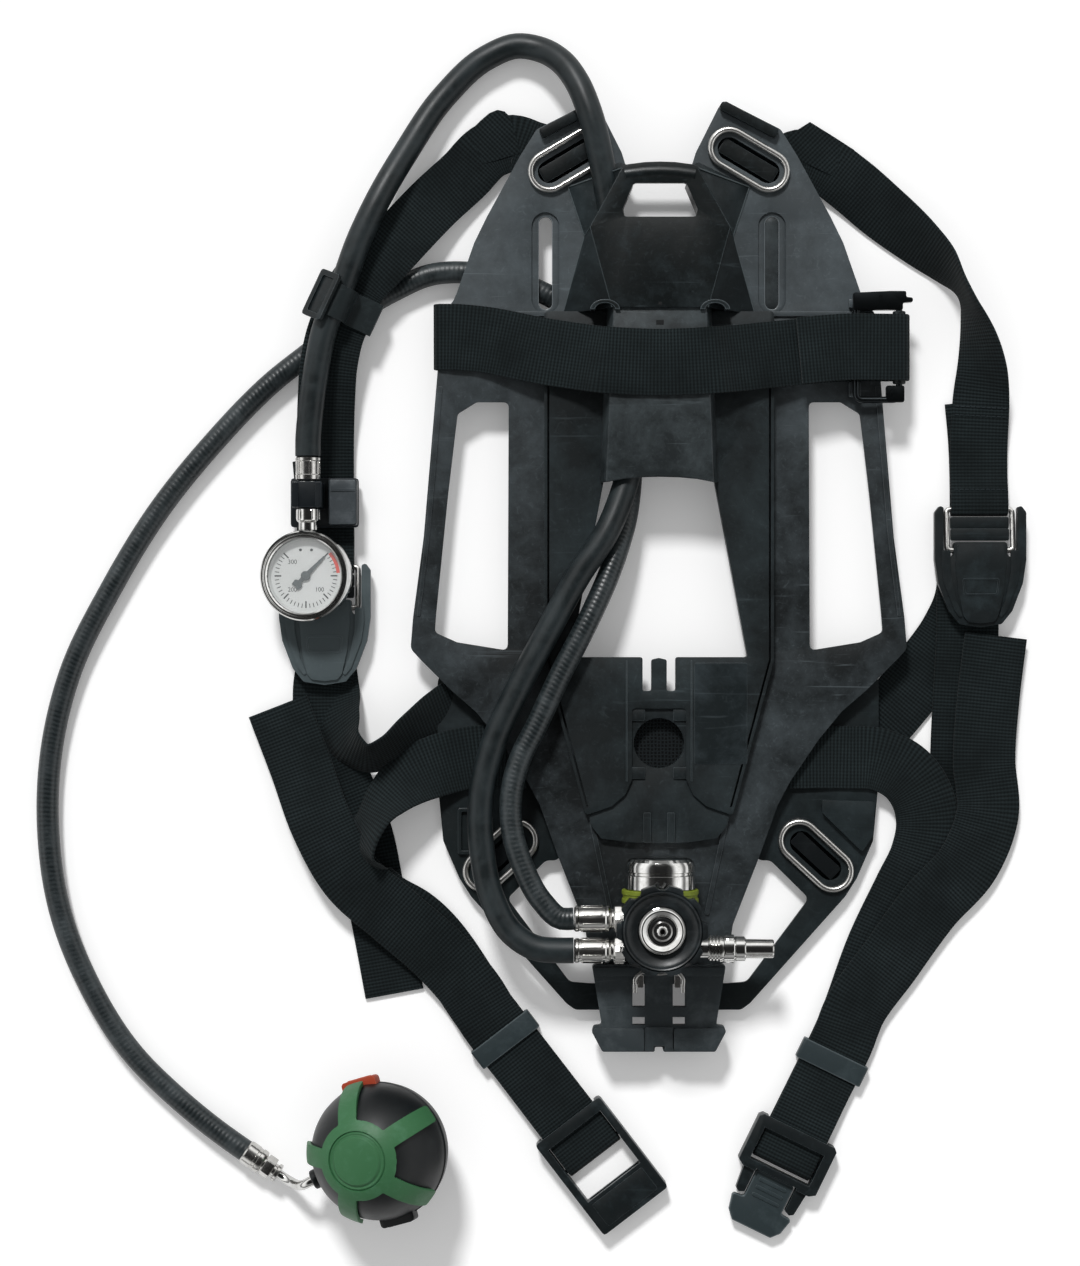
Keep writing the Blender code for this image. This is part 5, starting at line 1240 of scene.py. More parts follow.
@dataclass
class Backplate:
    """The moulded plate: wings, raised spine, bridge, saddle with its handle, and the hip layer."""

    wall: float = 3.0
    hip_base: float = 6.0
    wing: float = 19.0
    spine: float = 26.0
    bridge: float = 40.0
    saddle: float = 42.0
    slot_spot: Point = (68.7, 291.0)
    hole: float = 15.2
    edge: tuple[Point, ...] = (
        (0, 346), (18, 346), (20, 350), (22.5, 358), (38.6, 390), (74, 372), (84, 356), (104.2, 319),
        (112, 303), (122.4, 273), (124.6, 268), (131.4, 260), (134.7, 218), (142.5, 125), (149, 76),
        (150.5, 57), (144, 50), (126, 32), (111, 19), (97, 2), (80, -23), (72, -38), (60.6, -70),
        (45, -110), (41.4, -134), (0, -134))
    window: tuple[Point, ...] = (
        (0, 165), (33, 161), (53.4, 52), (10, 52), (10, 31.5), (4.6, 31.5), (4.6, 50.5), (0, 51.5))
    side_window: tuple[Point, ...] = (
        (91, 206.6), (110.4, 206.6), (122, 199.4), (127.8, 150), (135, 78), (135.8, 67), (122.4, 61),
        (91.6, 56))
    handle_hole: tuple[Point, ...] = (
        (0, 336.5), (15.8, 336.5), (22.6, 320.5), (21.8, 316.2), (0, 316.2))
    handle_wall: tuple[Point, ...] = (
        (0, 313.4), (24, 313.4), (25.6, 320.5), (18.6, 336.5), (15.8, 336.5), (22.6, 320.5), (21.8, 316.2),
        (0, 316.2))
    spine_half: tuple[Point, ...] = (
        (0, 261), (69.4, 261), (69.4, 50), (44.4, -43.6), (28.5, -38), (20.5, -31), (16.4, -22),
        (16.4, 21), (0, 21))
    bridge_half: tuple[Point, ...] = (
        (0, 263), (28, 263), (32.4, 157), (22, 159), (11, 160), (0, 160.3))
    bridge_foot: tuple[Point, ...] = (
        (0, 264), (32, 264), (36.2, 157.4), (24, 159.6), (12, 160.7), (0, 161))
    groove: tuple[Point, ...] = (
        (66.3, 216), (67.6, 216), (67.6, 50.4), (44.0, -38.6), (42.7, -38.6), (66.3, 50.6))
    column: tuple[Point, ...] = ((19.1, 50), (20.1, 50), (20.1, -23), (19.1, -23))
    saddle_half: tuple[Point, ...] = (
        (0, 349.2), (9, 348.9), (19, 347.6), (22.8, 346), (42, 310), (29, 262), (0, 262))
    facets: tuple[tuple[Station, ...], ...] = (
        ((18, 347, 40.6), (22.2, 345.6, 41), (55, 337, 19.4), (24, 352, 19.4)),
        ((22.2, 345.6, 41), (41.4, 310, 41), (45, 307, 19.4), (55, 337, 19.4)),
        ((41.4, 310, 41), (28.6, 262, 41), (58, 260, 19.4), (45, 307, 19.4)))
    creases: tuple[tuple[Station, ...], ...] = (
        ((19, 347.4, 41.4), (22.4, 345.6, 41.6), (41.8, 310, 41.6), (28.8, 262, 41.6)),
        ((55, 337, 19.5), (45, 307, 19.5), (58, 260, 19.5)), ((41.8, 310, 41.4), (45, 307, 19.5)),
        ((22.4, 345.6, 41.2), (55, 337, 19.5)))
    hip_outer: tuple[Point, ...] = (
        (108, 44), (134.4, 41), (134.4, 12), (133.8, -30), (131, -60), (121, -83), (114, -94), (56, -159),
        (50.6, -163), (20, -163))
    hip_inner: tuple[Point, ...] = (
        (106, 24), (92, 4), (76, -21), (67, -38), (58, -64), (60.6, -72), (68.4, -72), (90.6, -94),
        (90.6, -97), (54, -146), (42, -147), (20, -147))
    step: tuple[Point, ...] = ((126, 32), (111, 19), (97, 2), (80, -23), (72, -38), (60.6, -70))

    def slot(self, side: int, half: float, radius: float) -> list[Point]:
        """A strap slot's outline on the right (1) or the left (-1)."""
        return stadium(side * self.slot_spot[0], self.slot_spot[1], half, radius, 90)

    def both(self, outline: Sequence[Point], low: float, high: float, edge: float = 0.6) -> Shape:
        """A rounded block on the right and its twin on the left."""
        made = Shape.slab(outline, low, high, edge, 3, 50.0)
        return made.joined(Shape.slab(flipped(outline), low, high, edge, 3, 50.0))

    def wings(self) -> Shape:
        """The flat layer with its windows, ring eyes and sunk slots.

        Returns:
            The layer.
        """
        side = rounded(self.side_window, 3.4)
        eyes = [ring_slot(UPPER_RING, s, 13.8, 7) for s in (1, -1)]
        sunk = [self.slot(s, 22.4, 8.4) for s in (1, -1)]
        holes = [rounded(mirrored(self.window), 1.6, 4), side, flipped(side),
                 stadium(0, 0, 0.01, self.hole, steps=20),
                 rounded(mirrored([(0, 341), (15.8, 341), *self.handle_hole[2:]]), 3.0), *eyes, *sunk]
        made = Shape.prism([rounded(mirrored(self.edge), 6.0), *holes], self.wing - self.wall, self.wing)
        made.bevelled(1.1, 3, 50.0)
        for s in (1, -1):
            floor = [self.slot(s, 22.8, 9.0), self.slot(s, 24, 4)]
            lining = Shape.prism(floor, self.wing - self.wall - 0.6, self.wing - 1.6)
            made.joined(lining.bevelled(0.5, 2, 50.0))
        ledge = rounded(block(66, 117, 258.6, 261.4), 0.8, 3)
        made.joined(self.both(ledge, self.wing - 1, self.wing + 1.6))
        fold = rounded([(39.6, -46), (42.4, -46), (30.4, -104), (27.6, -104)], 0.8, 3)
        made.joined(self.both(fold, self.wing - 1, self.wing + 1.4))
        rib = rounded([(134.2, 216), (131.2, 216), (138.6, 128), (144.8, 77), (146.6, 77), (141.2, 128)],
                      0.8, 3)
        return made.joined(self.both(rib, self.wing - 1, self.wing + 0.9, 0.4))

    def ridge(self) -> Shape:
        """The raised spine with its grooves, and the sunk middle round the hole.

        Returns:
            The spine.
        """
        outline = rounded(mirrored(self.spine_half), 2.4, 4)
        grooves = [list(self.groove), flipped(self.groove)]
        window = rounded(mirrored(self.window), 1.6, 4)
        made = Shape.prism([outline, window, *grooves], self.wing - 2, self.spine).bevelled(0.8, 3, 50.0)
        made.joined(self.both(self.column, self.spine - 1, self.spine + 0.6, 0.25))
        middle = mirrored([(0, 22), (17, 22), (17, -22), (21, -31), (29, -38), (42.6, -43.6), (41, -50),
                           (35, -57.6), (18, -60), (0, -60.6)])
        floor = [rounded(middle, 1.6, 4), stadium(0, 0, 0.01, self.hole, steps=24)]
        made.joined(Shape.prism(floor, self.wing - 2, self.spine - 2.2).bevelled(0.7, 3, 50.0))
        made.joined(self.both(rounded(block(5, 9.4, -60, -42), 0.8, 3), self.spine - 5, self.spine + 0.4))
        for low, high in ((13.6, 20.4), (-21.4, -14.6)):
            tab = rounded(block(8.6, 16.8, low, high), 0.8, 3)
            made.joined(self.both(tab, self.spine - 3, self.spine - 0.8, 0.4))
        return made

    def bridge_block(self) -> Shape:
        """The bridge over the hoses, with its arched lower edge."""
        top, foot = mirrored(self.bridge_half), mirrored(self.bridge_foot)
        return Shape.frustum(top, foot, self.spine - 2, self.bridge).bevelled(1.0, 3, 30.0)

    def saddle_panel(self) -> Shape:
        """The saddle with its handle hole, grip bar and hooks, and the lips and bars of the lugs beside it.

        Returns:
            The saddle.
        """
        hole = rounded(mirrored(self.handle_hole), 3.0)
        panel = rounded(mirrored(self.saddle_half), 1.6, 4)
        made = Shape.prism([panel, hole], self.saddle - 4, self.saddle).bevelled(0.9, 3, 30.0)
        made.joined(Shape.prism([mirrored(self.handle_wall)], self.wing - 1, self.saddle - 3.4))
        bar = [Vector((x, 343.4 - (x / 15) ** 2, 37.6)) for x in (-21.0, -20.2, -10, 0, 10, 20.2, 21.0)]
        made.joined(Shape.tube(bar, 5.4, sides=28))
        arch = [(9.0 * math.cos(a), 6.2 * math.sin(a)) for a in np.linspace(0, math.pi, 15)]
        hook = arch + [(x * 0.66, y * 0.62) for x, y in reversed(arch)]
        made.joined(self.both([(33 + x, 260.6 + y) for x, y in hook], 28.0, self.saddle + 0.6, 0.5))
        # The lips take the dark saddle finish: their own dark plastic, and painted shade.
        lip = rounded([(36.6, 385.4), (38.2, 388.0), (40.8, 388.2), (72.8, 371.4), (70.2, 366.2),
                       (37.6, 383.2)], 1.4, 4)
        return made.joined(self.both(lip, self.wing - 1, self.wing + 4.4, 1.9),
                           self.bars(UPPER_RING, 14.6, 19.0))

    def folds(self) -> Shape:
        """The facets from the saddle down to the wings, with a fine ridge on each fold.

        Returns:
            The facets and ridges.
        """
        made = Shape()
        for s in (1, -1):
            for facet in self.facets:
                fold = Shape()
                corners = [fold.bm.verts.new((s * x, y, z)) for x, y, z in facet]
                fold.bm.faces.new(corners)
                made.joined(fold.thickened(0.0, 2.6))
            for crease in self.creases:
                ridge = Shape.tube([Vector((s * x, y, z)) for x, y, z in crease], 0.42, sides=10)
                # The ridges take the paler edge finish: a painted highlight along each fold.
                for face in ridge.bm.faces:
                    face.material_index = 1
                made.joined(ridge)
        return made

    def hips(self, side: Side) -> Shape:
        """One side of the rear hip layer: its ring slot, its raised block and the step up to the wing.

        Args:
            side: left or right.

        Returns:
            That side of the layer.
        """
        turn = (lambda outline: list(outline)) if side is Side.RIGHT else flipped
        outline = list(self.hip_outer) + list(reversed(self.hip_inner))
        layer = [rounded(turn(outline), 6.0), turn(ring_slot(LOWER_RING, 1, 11.8, 7))]
        made = Shape.prism(layer, self.hip_base, self.hip_base + self.wall).bevelled(0.8, 3, 50.0)
        if side is Side.RIGHT:
            wedge = rounded([(99, -35), (131.6, -36), (131, -56), (124, -66.5), (100, -43)], 1.6, 4)
            made.joined(Shape.slab(wedge, self.hip_base + 2, 13.0, 1.4, 3, 50.0))
        else:
            frame = [rounded(block(-122, -110, -68, -40), 1.6, 4),
                     rounded(block(-120, -112, -66, -42), 1.0, 3)]
            made.joined(Shape.prism(frame, self.hip_base + 2, 11.6).bevelled(0.5, 2, 50.0))
        wall = [(a - 0.4, b + 0.3) for a, b in self.step]
        wall += [(a - 2.4, b + 1.8) for a, b in reversed(wall)]
        return made.joined(Shape.prism([turn(wall)], self.hip_base + 1, self.wing - 1))

    def bars(self, ring: Station, z: float, half: float) -> Shape:
        """The bars in a pair of ring slots, which the straps are sewn round.

        Args:
            ring: the right ring's place.
            z: height of the bars' middle.
            half: half their length.

        Returns:
            Both bars.
        """
        made = Shape()
        for s in (1, -1):
            bar = Shape.slab(rounded(block(-half, half, -4.7, 4.7), 1.6, 4), z - 2.8, z + 2.8, 2.2, 4, 50.0)
            made.joined(bar.placed(laid(s * ring[0], ring[1], s * ring[2])))
        return made

    def rests(self) -> Shape:
        """Blocks under the cylinder strap's buckle.

        Returns:
            The blocks.
        """
        made = Shape()
        for low, high in ((209.5, 218.5), (263.5, 268.5)):
            made.joined(Shape.slab(rounded(block(115, 122, low, high), 1.0, 3), 18, 23.6, 0.5, 2))
        return made

    def build(self, shop: Workshop) -> None:
        """Make the plate, its flush panel and the sewn loops behind the rings.

        Args:
            shop: where pieces are made.
        """
        plate = self.wings().joined(self.rests())
        shop.skin("backplate", "wings", plate, WING)
        shop.piece("backplate_hips", self.hips(Side.RIGHT).joined(self.hips(Side.LEFT)), HIP)
        shop.piece("backplate_ridge", self.ridge(), PLATE)
        shop.piece("backplate_bridge", self.bridge_block(), BRIDGE)
        shop.piece("backplate_saddle", self.saddle_panel(), SADDLE)
        shop.piece("backplate_folds", self.folds(), PLATE)
        backing = Shape.prism([self.slot(1, 23.9, 3.9)], self.wing - self.wall - 1.6, self.wing - 2.4)
        shop.piece("backplate_slot_backing", backing.bevelled(0.4, 2), BRIDGE)
        film = rounded(block(21.4, 53.2, -12.6, 48.6), 1.2, 4)
        panel = Shape.prism([film], self.spine - 0.2, self.spine + 0.3)
        shop.piece("backplate_name_panel", panel.bevelled(0.15, 2), PANEL)
        loops = self.bars(LOWER_RING, 5.2, 17.0)
        for s in (1, -1):
            loops.joined(Shape.slab(ring_slot(LOWER_RING, s, 12, 9.6), 1.2, 2.6, 0.4, 2))
            loops.joined(Shape.slab(ring_slot(UPPER_RING, s, 13.6, 9.6), 11.4, 12.8, 0.4, 2))
        shop.piece("ring_strap_backing", loops, BACKING)
        # Thin black patches over the small holes: painted shade in place of open holes.
        holes = Shape.prism([block(-2.3, 2.3, 251.6, 254.4)], self.bridge - 0.2, self.bridge + 0.1)
        holes.joined(Shape.prism([stadium(0, 264.2, 0.01, 1.1)], self.saddle - 0.2, self.saddle + 0.1))
        shop.piece("backplate_painted_hole_shade", holes, SEAL_AND_HOLE_SHADE)


@dataclass
class LumbarPad:
    """The mesh-covered pad behind the lower half of the plate."""

    half: float = 57.0
    low: float = -57.0
    high: float = 30.0
    top: float = 15.7
    shoulder: float = 12.0
    channel: float = 27.0
    fill: float = 0.7

    def build(self, shop: Workshop) -> None:
        """Make the crowned pad with sides that pull in and two sewn channels.

        Args:
            shop: where pieces are made.
        """
        middle = (self.low + self.high) / 2
        half = [(0, self.high - 3), (self.half * 0.6, self.high - 2), (self.half, self.high),
                (self.half - 3, middle), (self.half, self.low), (self.half * 0.6, self.low + 2),
                (0, self.low + 3)]
        outline = rounded(mirrored(half), 14.0, 8)

        def crown(spots: np.ndarray) -> np.ndarray:
            """The height of the crowned top at each place.

            Args:
                spots: N by 2 array of places.

            Returns:
                N heights in mm.
            """
            inside = np.clip(signed_distance(spots, outline), 0, self.shoulder) / self.shoulder
            seam = np.exp(-((np.abs(spots[:, 0]) - self.channel) / 2.2) ** 2)
            return 3.0 + (self.top - 3.2) * np.sqrt(1 - (1 - inside) ** 2) * (1 - 0.16 * seam)

        shape = Shape.flat([outline]).sliced(3.0).formed(crown)
        for vert in shape.walled():
            vert.co.z = 0.05 if vert.co.z > 3.5 else 0.6
        shape.cleaned()
        pad = shop.skin("lumbar_pad", "mesh", shape, MESH, smooth=70.0)


@dataclass
class Foot:
    """The foot that the reducer hangs on, and the spring clip that keeps it there."""

    slot: Point = (8.4, 16.0)
    base: float = 13.0
    top: float = 22.0
    wire: float = 1.2

    def build(self, shop: Workshop) -> None:
        """Make the foot and the clip.

        Args:
            shop: where pieces are made.
        """
        half = [(0, -134.3), (40.6, -134.3), (34.6, -171), (39.6, -171.6), (40.6, -175), (34.2, -187),
                (2.5, -187), (2.5, -184), (0, -184)]
        slots = []
        for low, high in ((-160, -146), (-171, -166)):
            hole = block(self.slot[0], self.slot[1], low, high)
            slots += [hole, flipped(hole)]
        layer = [rounded(mirrored(half), 2.0), *slots]
        made = Shape.prism(layer, self.base, self.top).bevelled(0.9, 3, 60.0)
        lip = [(9, -172.4), (38.9, -172.4), (39.9, -175.2), (33.8, -186.3), (9, -186.3)]
        for side in (lip, flipped(lip)):
            made.joined(Shape.slab(rounded(side, 2.0), self.top - 2, 26.0, 1.2, 3, 60.0))
        middle = [(0, -172), (8.4, -172), (8.4, -186.3), (3.5, -186.3), (3.5, -183), (0, -183)]
        made.joined(Shape.slab(rounded(mirrored(middle), 0.8, 3), self.top - 2, 24.6, 0.6, 2, 60.0))
        brow = rounded(mirrored([(0, -136), (40, -136), (39.4, -141), (0, -141)]), 1.0)
        made.joined(Shape.slab(brow, self.top - 1.5, 23.6, 0.7, 2, 60.0))
        shop.skin("foot_bracket", "moulding", made, FOOT)
        self.clip(shop)

    def clip(self, shop: Workshop) -> None:
        """Make the bent wire with its two flat legs.

        Args:
            shop: where pieces are made.
        """
        height = self.top + 0.3 + self.wire
        leg = self.slot[1] - 1.5
        path = smooth_curve([(leg, -151, height), (leg, -147.5, height), (leg, -142.5, height),
                             (leg - 2.2, -139.8, height), (0, -139.5, height),
                             (-leg + 2.2, -139.8, height), (-leg, -142.5, height), (-leg, -147.5, height),
                             (-leg, -151, height)], 1.0)
        made = Shape.tube(path, self.wire, sides=14)
        for side in (1, -1):
            strip = block(min(side * 9.4, side * 13.0), max(side * 9.4, side * 13.0), -148, -140.4)
            made.joined(Shape.slab(rounded(strip, 0.6, 2), height - 0.4, height + 0.6, 0.2, 1))
        shop.skin("reducer_clip", "wire", made, WIRE)


@dataclass
class StrapRings:
    """The four oval steel rings on the plate."""

    wire: float = 1.8
    radius: float = 11.3
    half: float = 13.8
    spots: tuple[tuple[str, Station, float], ...] = (
        ("ring_upper", UPPER_RING, 21.1), ("ring_lower", LOWER_RING, 11.1))

    def build(self, shop: Workshop) -> None:
        """Bend the rings.

        Args:
            shop: where pieces are made.
        """
        for name, spot, height in self.spots:
            for side in Side:
                loop = ring_slot(spot, side.value, self.half, self.radius, 16)
                path = [Vector((x, y, height)) for x, y in loop]
                node = f"{name}_{side.word}"
                shop.skin(node, "wire", Shape.tube(path, self.wire, loop=True, sides=18), WIRE)


def bight(x: float, y: float, heading: float, radius: float, middle: float,
          steps: int = 4) -> list[Station]:
    """Stations of a strap that turns back round a bar, under it and over it.

    Args:
        x: the bar's X.
        y: the bar's Y.
        heading: the strap's way towards the bar, in degrees.
        radius: from the bar's middle to the middle of the strap.
        middle: the bar's height.
        steps: stations in the half turn.

    Returns:
        The stations.
    """
    ahead = Vector((math.cos(math.radians(heading)), math.sin(math.radians(heading)), 0))
    centre = Vector((x, y, middle))
    stations = [centre - ahead * 4 - Vector((0, 0, radius))]
    for k in range(steps + 1):
        angle = math.radians(-90 + 180 * k / steps)
        lift = Vector((0, 0, radius * math.sin(angle)))
        stations.append(centre + ahead * (radius * math.cos(angle)) + lift)
    stations.append(centre - ahead * 4 + Vector((0, 0, radius)))
    return [tuple(s) for s in stations]


@dataclass
class Strap:
    """A webbing strap along its stations."""

    node: str
    stations: Sequence[Station]
    width: float
    rolls: dict[int, float] = field(default_factory=dict)
    stitches: tuple[float, ...] = ()
    spacing: float = 2.6
    stitch_pitch: float = 3.2
    stitch_length: float = 2.3
    stitch_margin: float = 2.2
    stitch_rise: float = 0.35
    thread_radius: float = 0.45

    def line(self) -> tuple[list[Vector], list[Vector]]:
        """The strap's centre line and its way across at each point.

        Returns:
            Points and unit vectors.
        """
        path = smooth_curve(self.stations, self.spacing)
        tilt = [self.rolls.get(0, 0.0)]
        for i, (a, b) in enumerate(zip(self.stations, self.stations[1:])):
            steps = max(1, round((Vector(b) - Vector(a)).length / self.spacing))
            first, last = self.rolls.get(i, 0.0), self.rolls.get(i + 1, 0.0)
            tilt += [first + (last - first) * k / steps for k in range(1, steps + 1)]
        window = np.ones(9) / 9
        tilt = list(np.convolve(np.pad(np.array(tilt), 4, mode="edge"), window, mode="valid"))
        across: list[Vector] = []
        last = None
        for i, _ in enumerate(path):
            run = (path[min(i + 1, len(path) - 1)] - path[max(i - 1, 0)]).normalized()
            flat = Vector((-run.y, run.x, 0))
            if flat.length > 0.35 or last is None:
                side = flat.normalized()
                if last is not None and side.dot(last) < 0:
                    side = -side
            else:
                side = (last - run * last.dot(run)).normalized()
            last = side
            across.append(Matrix.Rotation(math.radians(tilt[i]), 3, run) @ side)
        return path, across

    def build(self, shop: Workshop) -> None:
        """Weave the strap and sew its cross seams.

        Args:
            shop: where pieces are made.
        """
        path, across = self.line()
        half, thick = self.width / 2, WEB / 2 - 0.05
        upper = [(half, 0.35 * thick), (half - 0.25, 0.8 * thick), (half - 0.9, thick),
                 (half * 0.5, thick), (0, thick)]
        top = upper + [(-a, b) for a, b in reversed(upper[:-1])]
        section = top + [(a, -b) for a, b in reversed(top)]
        labels = [a for a, _ in section] + [section[0][0]]
        made = Shape.swept(path, across, section, labels)
        shop.skin(self.node, "webbing", made, WEBBING, smooth=40.0)
        if self.stitches:
            self.sew(shop, path, across)

    def sew(self, shop: Workshop, path: Sequence[Vector], across: Sequence[Vector]) -> None:
        """Lay rows of thread across the strap at some distances along it.

        Args:
            shop: where pieces are made.
            path: points of the centre line.
            across: the strap's way across at each point.
        """
        made = Shape()
        total = 0.0
        wanted = sorted(self.stitches)
        for i in range(1, len(path) - 1):
            total += (path[i] - path[i - 1]).length
            while wanted and total >= wanted[0]:
                wanted.pop(0)
                run = (path[i + 1] - path[i - 1]).normalized()
                up = run.cross(across[i]).normalized()
                for k in range(int(self.width // self.stitch_pitch)):
                    a = -self.width / 2 + self.stitch_margin + self.stitch_pitch * k
                    start = path[i] + across[i] * a + up * (WEB / 2)
                    end = start + across[i] * self.stitch_length
                    middle = (start + end) / 2 + up * self.stitch_rise
                    made.joined(Shape.tube([start, middle, end], self.thread_radius, sides=6))
        shop.piece(self.node + "_stitches", made, THREAD)


@dataclass
class CylinderStrap:
    """The strap over the bridge, its wire buckle and the roller that it turns round."""

    roller_x: float = 145.0
    buckle_y: float = 239.0
    height: float = 25.9
    width: float = 40.0
    seam: float = 316.0
    reach: float = 26.0
    half: float = 31.5
    wire: float = 2.0

    def build(self, shop: Workshop) -> None:
        """Make strap, buckle and roller.

        Args:
            shop: where pieces are made.
        """
        x, y, h = self.roller_x, self.buckle_y, self.height
        outer = self.wire + 0.3 + 1.6
        turn = outer + 1.5
        low, rise, top = 20.5, 29.5, 41.5
        stations = [(-112, 245.5, 14.5), (-126, 246, 13.7), (-134.4, 246, 15.4), (-135.6, 246, 17.5),
                    (-134.4, 246, 19.8), (-128, 246, low + 0.7), (-108, 244.5, low + 1.5),
                    (-72, 237, rise), (-43, 232, 36.5), (-34, 230.5, top - 0.3), (-27, 230, top + 0.2),
                    (0, 229, top), (27, 230, top + 0.2), (34, 230.5, top - 0.3), (43, 231.5, 36.5),
                    (72, 235, rise), (108, 238.5, low + 0.8), (128, y, h - turn), *bight(x, y, 0, turn, h),
                    (112, y, h + turn + 0.8), (84, 236.5, h + turn + 3.6)]
        Strap("cylinder_strap", stations, self.width, stitches=(self.seam,)).build(shop)
        near = x - self.reach
        frame = rounded([(x, -self.half), (x, self.half), (near, self.half), (near, -self.half)], 4.0, 6)
        path = [Vector((a, y + b, h)) for a, b in frame]
        made = Shape.tube(path, self.wire, loop=True, sides=16)
        head = rounded([(117, 22.6), (117, 33), (139, 34), (149, 34), (149, 30.4), (153, 30), (153, 27.4),
                        (147, 27), (147, 22.6)], 1.2, 4)
        made.joined(Shape.slab([(a, y + b) for a, b in head], h - 2.4, h + 3.2, 1.2, 3, 50.0))
        foot = rounded(block(137, 148, y - 33, y - 23), 1.4, 4)
        made.joined(Shape.slab(foot, h - 2.4, h + 2.2, 1.0, 3, 50.0))
        shop.skin("strap_buckle", "wire", made, BLACK_STEEL)
        bore, half = self.wire + 0.3, 22.0
        roller = Shape.turned([(outer, half - 0.5), (outer - 0.5, half), (bore, half), (bore, -half),
                               (outer - 0.5, -half), (outer, -half + 0.5)], 40, True)
        shop.skin("strap_roller", "sleeve", roller.placed(Axis.Y.matrix(x, y, h)), ACETAL, Body.ROLLER)


@dataclass
class Adjuster:
    """A strap adjuster: a moulded body with a raised panel that tilts on a bent steel frame."""

    side: Side
    spot: Point
    body: Body
    finish: Finish
    base: float = 5.6
    top: float = 14.6
    hinge: float = 10.0
    rise: float = 25.0
    far: float = 5.5
    frame_half: float = 20.1
    wire: float = 1.7

    def shell(self) -> Shape:
        """The body about its hinge: side ears, tongue, raised panel and grip ridges.

        Returns:
            The body.
        """
        low, high = self.base - self.hinge, self.top - self.hinge
        room = self.frame_half + self.wire + 0.6
        ear = room + 5.4
        half = [(0, 5), (room - 6, 5), (room - 6, -4), (room, -4), (room, 26), (room + 2.4, 27), (ear, 23),
                (ear, -6), (ear - 2, -20), (ear - 8.5, -37), (ear - 15, -45), (0, -47)]
        made = Shape.slab(rounded(mirrored(half), 2.5), low, high - 1.6, 1.6, 3, 50.0)
        panel = [(0, 3.6), (14.6, 3.6), (15.4, -8), (13.8, -26), (10.6, -40), (8, -43.6), (0, -44.6)]
        made.joined(Shape.slab(rounded(mirrored(panel), 2.0), high - 4, high, 1.3, 3, 50.0))
        for side in (1, -1):
            rail = [(18.4, 0), (23.6, 0), (24.2, -8), (22.4, -20), (16.2, -36.5), (12.6, -41), (11, -40),
                    (14.8, -31), (18.2, -14)]
            rail = rail if side == 1 else flipped(rail)
            made.joined(Shape.slab(rounded(rail, 1.2), high - 4, high - 0.5, 0.9, 3, 50.0))
        frame = rounded(mirrored([(0, -17), (11.4, -17), (10.4, -27.5), (0, -27.5)]), 2.0)
        inner = rounded(mirrored([(0, -18.1), (10.2, -18.1), (9.3, -26.4), (0, -26.4)]), 1.6)
        made.joined(Shape.prism([frame, inner], high - 1, high + 0.35).bevelled(0.15, 1, 50.0))
        return made

    def build(self, shop: Workshop) -> None:
        """Make the body and its frame.

        Args:
            shop: where pieces are made.
        """
        here = Matrix.Translation((*self.spot, self.hinge))
        word = self.side.word
        shop.skin(f"adjuster_body_{word}", "moulding", self.shell().placed(here), self.finish, self.body)
        drop = self.far - self.hinge
        loop = rounded([(self.frame_half, 0), (self.frame_half, self.rise), (-self.frame_half, self.rise),
                        (-self.frame_half, 0)], 2.6, 6)
        path = [here @ Vector((x, y, drop * y / self.rise)) for x, y in loop]
        shop.skin(f"adjuster_frame_{word}", "wire", Shape.tube(path, self.wire, loop=True, sides=16), WIRE)
        bars = Shape()
        for low, high in ((5.9, 13.3), (13.1, 20.4)):
            z = drop * (low + high) / 2 / self.rise
            bars.joined(Shape.slab(rounded(block(-17.8, 17.8, low, high), 1.4), z - 1.9, z + 1.9, 1.3, 3))
        shop.piece(f"adjuster_frame_{word}_bars", bars.placed(here), ADJUSTER)


